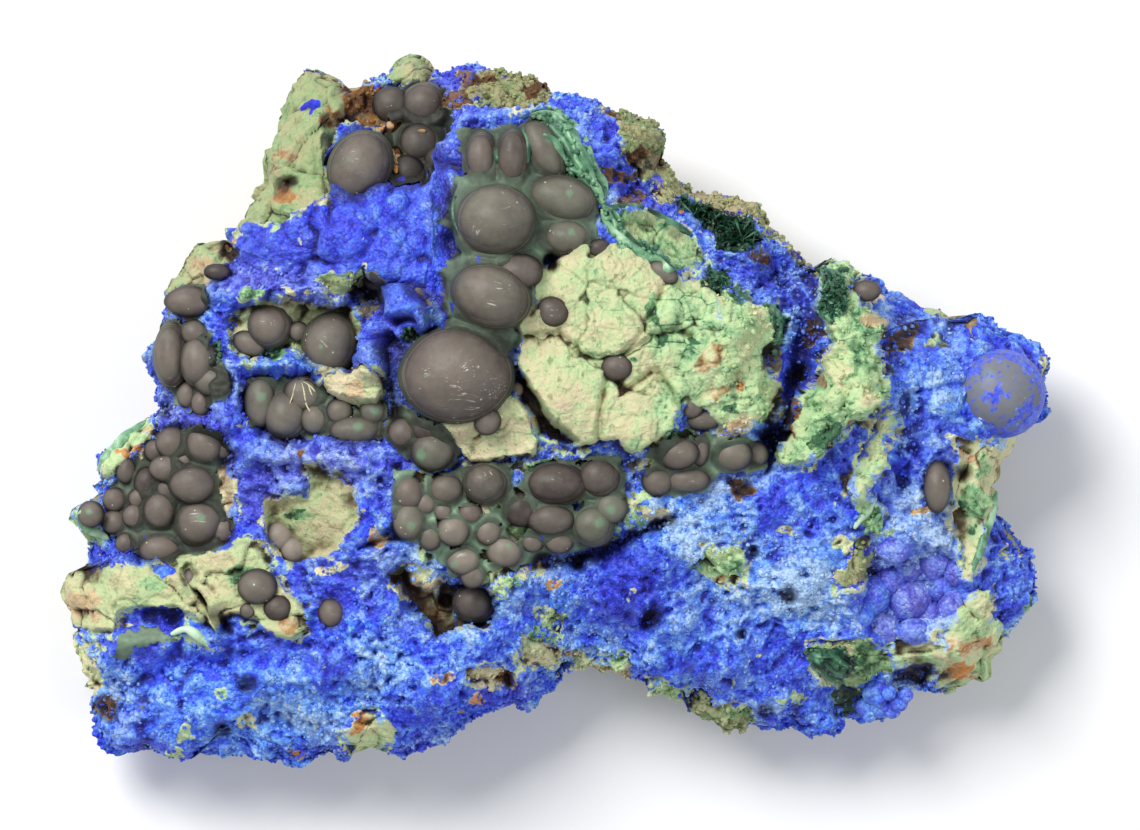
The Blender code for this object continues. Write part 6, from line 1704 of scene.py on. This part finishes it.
def ball_material():
    """Smooth taupe balls with olive tints, a crown, mint film, scratches, specks and blue dust, painted lighter
    on top and darker low on their sides.
    """
    material, t, shader = new_material("ball_skin", {"Roughness": 0.5, "Specular IOR Level": 0.3})
    tone, olive_tint, up, dust, _, large, scuff, mint = marks_of(t)
    place = t.here()
    fine = t.noise(place, 0.6, 3.0, 0.6)
    mottle = t.noise(place, 1.6, 4.0, 0.7)
    level = t.sway(t.sway(tone, t.noise(place, 5.0, 3.0, 0.55), 0.4), mottle, 0.3)
    # Painted light and shade: lighter towards the top of each ball, darker low on its sides.
    level = t.sway(level, t.step(up, 0.0, 0.8), 0.6, True, 0.85)
    grey = t.ramp(level, [
        (0.0, (28, 23, 24)), (0.3, (66, 57, 54)), (0.5, (96, 87, 81)), (0.75, (122, 112, 103)),
        (1.0, (156, 146, 132))])
    olive = t.ramp(level, [
        (0.0, (26, 28, 22)), (0.3, (62, 66, 54)), (0.5, (90, 96, 82)), (1.0, (140, 148, 124))])
    colour = t.blend(t.sway(olive_tint, t.noise(place, 3.0, 2.0), 0.9, True), grey, olive)
    skirt = t.times(t.step(up, CROWN_EDGE + 0.02, CROWN_EDGE - 0.1), large)
    colour = t.blend(t.times(skirt, 0.6), colour, shade(84, 92, 78))
    lip = t.step(up, CROWN_EDGE - 0.01, CROWN_EDGE + 0.03)
    lip = t.times(t.times(lip, t.step(up, CROWN_EDGE + 0.1, CROWN_EDGE + 0.04)), large)
    colour = t.blend(t.times(lip, 0.35), colour, shade(160, 156, 138))
    film = t.step(t.plus(t.swing(mottle, 2.4), mint), 0.0, 1.4)
    colour = t.blend(t.times(film, t.times(mint, 0.5)), colour, shade(112, 160, 124))
    streaks = t.add("ShaderNodeMapping", {
        "Vector": t.astray(place, 160.0, 1.0, 0.006), "Rotation": (0.4, 0.3, 0.7), "Scale": (1.0, 9.0, 9.0)})
    scratch = t.add("ShaderNodeTexNoise", {
        "Vector": streaks.outputs[0], "Scale": 420.0, "Detail": 2.0}).outputs[0]
    line = t.step(scratch, t.math("SUBTRACT", 0.7, t.times(scuff, 0.15)), 0.75)
    worn = t.plus(0.2, t.times(scuff, 0.6))
    colour = t.blend(t.times(line, worn), colour, shade(200, 200, 188))
    speck = t.grains(place, 1.5)
    dot = t.math("LESS_THAN", speck.outputs["Distance"], 0.09)
    chosen = t.math("GREATER_THAN", t.chance(speck, 2), 0.72)
    colour = t.blend(t.times(t.times(dot, chosen), 0.7), colour, shade(190, 205, 180))
    azurite = t.group(AZURITE, {"Tone": 0.55, "Violet": 0.4, "Cavity": 0.5}).outputs["Color"]
    haze = t.blend(t.step(dust, 0.0, 0.3, 0.45), colour, shade(118, 124, 150))
    dusted = t.group(DUSTED, {"Own": haze, "Other": azurite, "Share": dust})
    finish(t, shader, dusted.outputs["Color"], fine, 0.04)
    return material


AZURITE_CRUST = crust_material("azurite_crust", True, {
    "Roughness": 0.55, "Specular IOR Level": 0.45, "Sheen Weight": 0.25, "Sheen Roughness": 0.4,
    "Sheen Tint": shade(150, 175, 255)}, 0.2)
PALE_MATRIX = crust_material("pale_matrix", False, {"Roughness": 0.62, "Specular IOR Level": 0.35}, 0.3)
MALACHITE = malachite_material()
BALL_SKIN = ball_material()
BALL_GROUND = web_material()

# ---------------------------------------------------------------- the crust

sheet = Sheet(FACE_POINTS)
looks = Looks(sheet)
height = looks.relief(sheet)
turned = sheet.turn
skirt_end = rippled(6.5, turned * 14, turned * 0, (3.0, 2.2, 111), (1.2, 0.7, 112))
skirt_end = np.minimum(skirt_end, rim_height(turned) - 2.0)
edge_in = np.where(sheet.below > 0, 0.4, 0.4 * (1 - np.clip(sheet.way / 4, 0, 1)))
height = height - edge_in - 2.4 * sawn((sheet.below - skirt_end + 2.4) / 2.4)
x = sheet.x + sheet.normals[..., 0] * height
y = sheet.y + sheet.normals[..., 1] * height
z = sheet.z + sheet.normals[..., 2] * height + looks.rise
fine_scale = 4
# How far each point stands proud of or sinks below its surroundings: the shaders paint light on the crests and
# shade in the hollows from it.
cavity = 0.5 + 0.75 * (height - blurred(height, fine_scale)) + 0.22 * (z - blurred(z, fine_scale * 3))
cavity = np.clip(cavity, 0, 1)
places = np.stack([x.ravel(), y.ravel(), z.ravel()], 1)
on_green = looks.kind == GREEN
on_web = looks.kind == WEB
# The ball ground gets painted shade beside the balls.
tone = np.select(
    [on_green, on_web, looks.kind == PALE],
    [looks.light, looks.light_web - 0.2 * looks.beside_ball, looks.light_pale], looks.tone)
violet = np.where(on_web, 0.2, looks.violet)
tones = np.stack([tone, violet, looks.green, looks.rust], -1).reshape(-1, 4)
dark = np.where(on_web, 0.8 * looks.dark, looks.dark)
dark = np.where(looks.kind == PALE, np.maximum(dark, 0.3 * looks.crack * (1 - looks.coarse)), dark)
fold_course = rippled(sheet.z * 0.02, *sheet.flat, (0.03, 3.0, 113)) + 0.02 * sheet.way
peach = np.where(on_green, fold_course, looks.peach)
marks = np.stack([cavity, looks.mix, peach, np.clip(dark, 0, 1)], -1).reshape(-1, 4)
corner = sheet.quads[:, 0]
keep = (sheet.below < skirt_end).ravel()[corner]
kinds = looks.kind.ravel()[corner]
cx, cy = sheet.plan[0].ravel()[corner], sheet.plan[1].ravel()[corner]

PARTS = [
    ("azurite_crust_upper_left", BLUE, (cx < -16) & (cy >= 0), AZURITE_CRUST, "azurite"),
    ("azurite_crust_upper_middle", BLUE, (cx >= -16) & (cx < 22) & (cy >= 0), AZURITE_CRUST, "azurite"),
    ("azurite_crust_right", BLUE, (cx >= 22) & (cy >= -12), AZURITE_CRUST, "azurite"),
    ("azurite_crust_lower_right", BLUE, (cx >= 22) & (cy < -12), AZURITE_CRUST, "azurite"),
    ("azurite_crust_lower_middle", BLUE, (cx >= -16) & (cx < 22) & (cy < 0), AZURITE_CRUST, "azurite"),
    ("azurite_crust_lower_left", BLUE, (cx < -16) & (cy < 0), AZURITE_CRUST, "azurite"),
    ("pale_rock_left", PALE, cx < -16, PALE_MATRIX, "pale_slab"),
    ("pale_slab_middle", PALE, (cx >= -16) & (cx < 27.5), PALE_MATRIX, "pale_slab"),
    ("pale_rock_right", PALE, cx >= 27.5, PALE_MATRIX, "pale_slab"),
    ("malachite_crust", GREEN, cx > -999, MALACHITE, "malachite"),
    ("ball_ground", WEB, cx > -999, BALL_GROUND, "balls"),
]
for name, kind, where, material, slot in PARTS:
    chosen = keep & (kinds == kind) & where
    dress(part_of_sheet(name, chosen, places, sheet.quads, tones, marks), material)

# ---------------------------------------------------------------- bare rock, balls

dress(make_piece("broken_matrix", *matrix_body()), PALE_MATRIX)
for name, cluster in BALLS.items():
    dress(make_piece(name, *ball_cluster(name, cluster, grey_ball_tone)), BALL_SKIN)
dress(make_piece("dusted_ball", *ball_cluster("dusted_ball", DUSTED_BALL, dusted_ball_tone)), BALL_SKIN)
for name, cluster in BLUE_BALLS.items():
    dress(make_piece(name, *ball_cluster(name, cluster, blue_ball_tone, True)), AZURITE_CRUST)

# ---------------------------------------------------------------- ribs, veins, needles, grains


def standing_height(x, y):
    """Height of the solid's top at points in plan: rounded face or the crown of a ball, whichever is higher."""
    rim_z = rim_height(np.arctan2(y - CENTRE[1], x - CENTRE[0]) % (2 * math.pi))
    way = np.where(inside(x, y, OUTLINE), distance_table(x, y), 0)
    rounded = np.sqrt(np.clip(1 - (1 - np.clip(way / SHOULDER, 0, 1)) ** 2, 0, 1))
    top = rim_z + (ground_height(x, y) - rim_z) * rounded
    for cluster in BALLS.values():
        for bx, by, along, across, turn, lift, *_ in cluster:
            q = ball_share(x, y, bx, by, along, across, turn)
            size = (along + across) / 2
            crown = seat_of(bx, by) + lift - BALL_SINK[0] * size - BALL_SINK[1]
            crown = crown + size * np.sqrt(np.clip(1 - q * q, 0, 1))
            top = np.where(q < 1, np.maximum(top, crown), top)
    return top


def eased_course(course, step):
    """Points along a course, evenly spaced, its corners rounded by a running mean."""
    points = np.array(course, float)
    way = np.concatenate([[0], np.cumsum(np.hypot(*np.diff(points, axis=0).T))])
    count = max(int(way[-1] / step), 6)
    at = np.linspace(0, way[-1], count)
    x, y = np.interp(at, way, points[:, 0]), np.interp(at, way, points[:, 1])
    reach = max(int(1.0 / step), 1)
    kernel = np.ones(2 * reach + 1) / (2 * reach + 1)
    return [np.convolve(np.pad(v, reach, mode="edge"), kernel, "valid") for v in (x, y)]


def swept(course, radius, flat, lift, seed, sides=10, step=0.3):
    """A closed rib: an oval carried along a course on the face, thinner to its ends, a little uneven."""
    x, y = eased_course(course, step)
    x = x + 0.25 * ripple(x, y, 2.0, seed)
    y = y + 0.25 * ripple(x, y, 2.0, seed + 1)
    z = standing_height(x, y) + lift
    z = np.convolve(np.pad(z, 3, mode="edge"), np.ones(7) / 7, "valid")
    share = np.linspace(0, 1, len(x))
    thick = radius * np.sin(math.pi * np.clip(share, 0.03, 0.97)) ** 0.45
    thick = thick * (1 + 0.25 * ripple(x, y, 1.3, seed + 2))
    dx, dy = np.gradient(x), np.gradient(y)
    size = np.hypot(dx, dy)
    nx, ny = -dy / size, dx / size
    angle = np.linspace(0, 2 * math.pi, sides, endpoint=False)
    c, s = np.cos(angle)[None, :], np.sin(angle)[None, :]
    wide, tall = (thick * flat)[:, None], thick[:, None]
    ring = np.stack([x[:, None] + nx[:, None] * c * wide, y[:, None] + ny[:, None] * c * wide,
                     z[:, None] + s * tall], -1)
    places = np.concatenate([ring.reshape(-1, 3), [[x[0], y[0], z[0]], [x[-1], y[-1], z[-1]]]])
    index = np.arange(len(x) * sides).reshape(len(x), sides)
    ahead = np.roll(index, -1, axis=1)
    quads = np.stack([index[:-1], index[1:], ahead[1:], ahead[:-1]], -1).reshape(-1, 4)
    first, last = len(x) * sides, len(x) * sides + 1
    tips = np.concatenate([np.stack([np.full(sides, first), index[0], ahead[0]], 1),
                           np.stack([np.full(sides, last), ahead[-1], index[-1]], 1)])
    return places, quads, tips


def rib_piece(name, ribs, material, banded=0.05, stains=(0.3, 0.0, 0.0)):
    """One mesh of ribs (course, radius, flatness, lift, lightness, seed), with its green, rust and peach."""
    places, faces, tones, start = [], [], [], 0
    for course, radius, flat, lift, light, seed in ribs:
        p, quads, tips = swept(course, radius, flat, lift, seed)
        faces += (quads + start).tolist() + (tips + start).tolist()
        tone = np.zeros((len(p), 4))
        tone[:, 0] = light + 0.2 * ripple(p[:, 0], p[:, 1], 2.0, seed + 3)
        tone[:, 2], tone[:, 3] = stains[:2]
        places.append(p)
        tones.append(tone)
        start += len(p)
    places, tones = np.concatenate(places), np.concatenate(tones)
    marks = np.zeros((len(places), 4))
    # A cavity of 0.6: ribs read as slightly proud, so they get no painted crease shade and a little painted
    # light.
    marks[:, 0], marks[:, 2] = 0.6, places[:, 2] * banded + stains[2]
    dress(make_piece(name, places, faces, tones, marks), material)


FOLDS = [  # course, radius, flatness, lift, lightness, seed
    ([(-3.4, 36.6), (-0.5, 37.0), (1.6, 35.2), (3.0, 32.6), (3.8, 30.4), (5.2, 27.6), (6.2, 24.6)],
     0.75, 0.9, 0.3, 0.55, 11),
    ([(-2.2, 35.6), (-0.4, 35.3), (1.0, 33.6), (2.4, 31.4), (3.2, 29.4), (4.7, 27.4)],
     0.6, 1.0, 0.3, 0.4, 12),
    ([(0.5, 37.4), (2.4, 35.6), (3.9, 32.8), (4.8, 30.6), (6.0, 28.0), (6.6, 25.8)],
     0.55, 1.1, 0.2, 0.65, 13),
    ([(-1.6, 34.4), (-0.2, 33.6), (0.9, 31.8), (2.2, 30.0), (3.8, 28.6)], 0.45, 1.1, 0.2, 0.5, 14),
    ([(5.9, 25.4), (6.3, 23.6), (7.6, 21.6), (9.4, 20.1), (11.6, 19.0), (13.6, 17.9), (15.3, 16.6)],
     0.7, 1.0, 0.3, 0.62, 15),
    ([(6.8, 25.2), (7.4, 23.4), (8.8, 21.6), (10.8, 20.2), (13.0, 19.0)], 0.4, 1.1, 0.3, 0.4, 16),
    ([(6.4, 25.2), (8.8, 25.3), (11.8, 24.7), (14.6, 23.4), (17.2, 21.6)], 0.55, 1.3, 0.1, 0.35, 17),
    ([(-2.4, 19.6), (-2.0, 21.4), (-2.3, 23.4), (-2.8, 25.6), (-4.4, 27.6)], 0.28, 1.2, 0.0, 0.7, 18),
    ([(-12.2, 26.8), (-12.6, 24), (-11.4, 20.4), (-9.6, 18.6)], 0.35, 1.6, 0.0, 0.2, 19),
    ([(-10.8, 34.2), (-8.6, 35.2), (-7.2, 34.0), (-7.0, 31.2), (-7.3, 28.6)], 0.32, 1.4, 0.1, 0.35, 20),
    ([(-6.4, 35.6), (-4.4, 35.4), (-3.3, 33.2), (-3.6, 30.4)], 0.4, 1.5, 0.1, 0.3, 21),
    ([(-51.6, -1.7), (-54, -3.2), (-56.4, -5.6), (-58, -8.2)], 0.6, 1.3, 0.0, 0.75, 22),
    ([(-59.4, -12.6), (-60.4, -14.2), (-59.4, -15.2), (-57.6, -15.9), (-56, -16.4)],
     0.45, 1.4, -0.1, 0.65, 23),
    ([(-48.4, -28.4), (-46.6, -27.6), (-44.8, -28.7), (-43.0, -30.4)], 0.45, 1.2, 0.1, 0.95, 24),
    ([(26.4, 13.0), (28.2, 11.6), (28.3, 9.6), (27.2, 7.4)], 0.45, 1.3, 0.0, 0.5, 26),
    ([(56, -10), (54.7, -14.6), (53.4, -18), (52.2, -21.4)], 0.5, 1.2, 0.1, 0.55, 28),
    ([(37.4, -15.4), (38.6, -13.6), (40.2, -12.0), (40.4, -10.9)], 0.4, 1.2, 0.1, 0.8, 29),
    ([(38.4, -15.9), (39.8, -14.4), (41.0, -12.8)], 0.35, 1.2, 0.1, 0.65, 30),
]
VEINS = [
    ([(-33.6, 3.2), (-32.4, 3.6), (-31.0, 3.3), (-29.9, 2.4), (-29.3, 1.0), (-28.8, -0.8)],
     0.09, 1.2, 0.05, 0.9, 41),
    ([(-31.9, 3.5), (-31.2, 2.2), (-31.3, 0.9), (-30.8, -0.4), (-30.2, -1.4)], 0.08, 1.2, 0.05, 0.9, 42),
    ([(-31.0, 3.3), (-30.3, 2.0), (-30.2, 0.8), (-29.6, -0.6)], 0.08, 1.2, 0.05, 0.9, 43),
    ([(-32.6, 3.4), (-32.5, 2.2), (-33.1, 1.2), (-33.2, 0.2)], 0.07, 1.2, 0.05, 0.9, 44),
    ([(-30.2, 1.2), (-29.4, 1.4), (-28.7, 0.9)], 0.07, 1.2, 0.05, 0.9, 45),
]
ORANGE_FLAKES = [
    ([(-20.4, 33.0), (-20.1, 31.6), (-20.3, 30.0), (-19.7, 29.2)], 0.3, 1.7, 0.9, 0.6, 51),
    ([(-19.6, 32.2), (-19.7, 31.0), (-20.0, 30.2)], 0.25, 1.6, 1.0, 0.7, 52),
    ([(-21.2, 36.4), (-20.5, 35.8), (-20.4, 35.0)], 0.3, 1.6, 0.6, 0.6, 53),
    ([(-17.6, 34.6), (-16.8, 35.0), (-16.0, 34.6)], 0.16, 1.6, 0.15, 0.5, 54),
]
rib_piece("orange_flakes", ORANGE_FLAKES, PALE_MATRIX, 0.0, (0.0, 0.75, 0.6))
rib_piece("malachite_folds", FOLDS, MALACHITE)
rib_piece("white_veins", VEINS, PALE_MATRIX, 0.0)


def spun(count, draw):
    """Random turns as three-by-three arrays, from evenly spread quaternions."""
    q = draw.normal(size=(count, 4))
    w, x, y, z = (q / np.linalg.norm(q, axis=1, keepdims=True)).T
    return np.stack([
        np.stack([1 - 2 * (y * y + z * z), 2 * (x * y - w * z), 2 * (x * z + w * y)], -1),
        np.stack([2 * (x * y + w * z), 1 - 2 * (x * x + z * z), 2 * (y * z - w * x)], -1),
        np.stack([2 * (x * z - w * y), 2 * (y * z + w * x), 1 - 2 * (x * x + y * y)], -1)], 1)


def grain_shape():
    """A twelve-cornered, twenty-sided grain of radius one: corners on three golden rectangles."""
    g = (1 + math.sqrt(5)) / 2
    corners = np.array([(-1, g, 0), (1, g, 0), (-1, -g, 0), (1, -g, 0), (0, -1, g), (0, 1, g), (0, -1, -g),
                        (0, 1, -g), (g, 0, -1), (g, 0, 1), (-g, 0, -1), (-g, 0, 1)]) / math.hypot(1, g)
    faces = np.array([(0, 11, 5), (0, 5, 1), (0, 1, 7), (0, 7, 10), (0, 10, 11), (1, 5, 9), (5, 11, 4),
                      (11, 10, 2), (10, 7, 6), (7, 1, 8), (3, 9, 4), (3, 4, 2), (3, 2, 6), (3, 6, 8),
                      (3, 8, 9), (4, 9, 5), (2, 4, 11), (6, 2, 10), (8, 6, 7), (9, 8, 1)])
    return corners, faces


def scattered_grains(name, kind, count, sizes, stretch, sink, material, slot, seed, wanted):
    """Grains bedded in one finish of the crust: each a turned, stretched copy of the grain shape."""
    draw = np.random.default_rng(seed)
    pool = np.flatnonzero((looks.kind == kind).ravel() & (sheet.below < 1.5).ravel() & wanted.ravel())
    chosen = draw.choice(pool, count)
    corners, faces = grain_shape()
    size = draw.uniform(sizes[0], sizes[1], count)
    shape = corners[None] * size[:, None, None] * draw.uniform(1 / stretch, stretch, (count, 1, 3))
    shape = np.einsum("nij,nkj->nki", spun(count, draw), shape)
    normal = sheet.normals.reshape(-1, 3)[chosen]
    seat = places[chosen] + normal * (size * (1 - sink))[:, None]
    corners_all = (seat[:, None] + shape).reshape(-1, 3)
    faces_all = (faces[None] + 12 * np.arange(count)[:, None, None]).reshape(-1, 3)
    colour = np.repeat(tones[chosen], 12, axis=0)
    colour[:, 0] = np.clip(colour[:, 0] + np.repeat(draw.normal(0, 0.07, count), 12), 0, 1)
    shades = np.repeat(marks[chosen], 12, axis=0)
    shades[:, 0] = 0.5
    shades[:, 1] *= 0.3
    shades[:, 3] *= 0.6
    dress(make_piece(name, corners_all, faces_all, colour, shades, False), material)


EVERY = np.full(looks.kind.shape, True)
LESS = 1
GRAINS = [  # name, finish, count, sizes, stretch, sunk share, material, slot, seed, where
    ("azurite_grains", BLUE, 7000, (0.1, 0.28), 1.6, 0.6, AZURITE_CRUST, "azurite", 5, looks.velvet < 0.5),
    ("pale_crumbs", PALE, 1500, (0.1, 0.26), 2.2, 0.5, PALE_MATRIX, "pale_slab", 7, looks.coarse > 0.55),
    ("malachite_grains", GREEN, 500, (0.15, 0.4), 1.5, 0.4, MALACHITE, "malachite", 8, EVERY),
]
for name, kind, count, *rest in GRAINS:
    scattered_grains(name, kind, count // LESS, *rest)


def needle_tuft(name, outline, count, lengths, light, seed):
    """Needles standing in a hollow: four-sided spikes at random leanings, base in the rock."""
    draw = np.random.default_rng(seed)
    low, high = np.min(outline, axis=0), np.max(outline, axis=0)
    spots = draw.uniform(low, high, (count * 6, 2))
    spots = spots[inside(spots[:, 0], spots[:, 1], outline)][:count]
    count = len(spots)
    base = np.column_stack([spots, ground_height(spots[:, 0].copy(), spots[:, 1].copy()) - 0.4])
    lean = np.column_stack([draw.normal(0, 0.55, (count, 2)), np.ones(count)])
    lean /= np.linalg.norm(lean, axis=1, keepdims=True)
    side = np.cross(lean, draw.normal(size=(count, 3)))
    side /= np.linalg.norm(side, axis=1, keepdims=True)
    other = np.cross(lean, side)
    thick = draw.uniform(0.12, 0.3, count)[:, None]
    tip = base + lean * draw.uniform(lengths[0], lengths[1], count)[:, None]
    side, other = side * thick, other * thick
    corners = np.stack([base + side, base + other, base - side, base - other, tip], 1)
    pattern = np.array([(0, 1, 4), (1, 2, 4), (2, 3, 4), (3, 0, 4), (1, 0, 3), (1, 3, 2)])
    faces = (pattern[None] + 5 * np.arange(count)[:, None, None]).reshape(-1, 3)
    colour = np.zeros((count * 5, 4))
    colour[:, 0] = np.repeat(np.clip(draw.normal(light, 0.15, count), 0, 1), 5)
    shades = np.zeros((count * 5, 4))
    shades[:, 0] = 0.5
    dress(make_piece(name, corners.reshape(-1, 3), faces, colour, shades, False), MALACHITE)


TUFTS = [  # name, outline, needles, lengths, lightness, seed
    ("malachite_needles", PATCHES["needle cavity"][2], 260, (1.2, 3.6), 0.12, 31),
    ("malachite_tuft", [(18.4, 17.8), (21.5, 17.4), (22.2, 15.4), (20, 14.4), (18.2, 15.6)],
     160, (0.7, 1.8), 0.2, 32),
    ("malachite_needles_on_slab", [(33.5, 17), (36.5, 17), (36.5, 12), (34.8, 11), (33.3, 13)],
     150, (0.5, 1.4), 0.22, 33),
]
for tuft in TUFTS:
    needle_tuft(*tuft)

# ---------------------------------------------------------------- floor, light, view

floor_mesh = bpy.data.meshes.new("floor")
floor_mesh.from_pydata([(-1.5, -1.5, 0), (1.5, -1.5, 0), (1.5, 1.5, 0), (-1.5, 1.5, 0)], [], [(0, 1, 2, 3)])
floor = bpy.data.objects.new("floor", floor_mesh)
bpy.context.collection.objects.link(floor)
floor_material, t, floor_shader = new_material("floor", {"Roughness": 0.9})
floor_tone = t.ramp(t.noise(t.here(), 400.0), [(0.0, (232, 232, 234)), (1.0, (240, 240, 241))])
t.put(floor_shader.inputs["Base Color"], floor_tone)
floor_mesh.materials.append(floor_material)


def area_light(name, place, size, power, tint):
    """A square soft light that faces the specimen."""
    data = bpy.data.lights.new(name, "AREA")
    data.shape, data.size, data.energy, data.color = "SQUARE", size, power, tint
    light = bpy.data.objects.new(name, data)
    bpy.context.collection.objects.link(light)
    light.location = place
    way = np.array(place) - np.array([0, 0, 0.02])
    flat = math.hypot(way[0], way[1])
    light.rotation_euler = (0, math.atan2(flat, way[2]), math.atan2(way[1], way[0]))


LIGHT_SIZE = 0.5
KEY_POWER, FILL_POWER, SKY_STRENGTH = 11.5, 2.4, 0.36
area_light("key_light", (-0.4, 0.5, 0.75), LIGHT_SIZE, KEY_POWER, (1.0, 0.99, 0.97))
area_light("fill_light", (0.55, -0.25, 0.6), LIGHT_SIZE, FILL_POWER, (0.95, 0.97, 1.0))
world = bpy.data.worlds.new("studio")
bpy.context.scene.world = world
world.use_nodes = True
world.node_tree.nodes["Background"].inputs[0].default_value = (0.93, 0.96, 1.0, 1.0)
world.node_tree.nodes["Background"].inputs[1].default_value = SKY_STRENGTH

camera_data = bpy.data.cameras.new("camera")
camera = bpy.data.objects.new("camera", camera_data)
bpy.context.collection.objects.link(camera)
CAMERA_HEIGHT = 1.2
FACE_LEVEL = 0.028  # the height at which the view is VIEW_WIDTH across
VIEW_WIDTH = 0.1425
SENSOR_WIDTH = 36.0
camera.location = (0.001875, -0.00075, CAMERA_HEIGHT)
camera_data.sensor_width = SENSOR_WIDTH
camera_data.lens = SENSOR_WIDTH * (CAMERA_HEIGHT - FACE_LEVEL) / VIEW_WIDTH
camera_data.clip_start, camera_data.clip_end = 0.05, 10.0
bpy.context.scene.camera = camera
bpy.context.scene.view_settings.view_transform = "Standard"
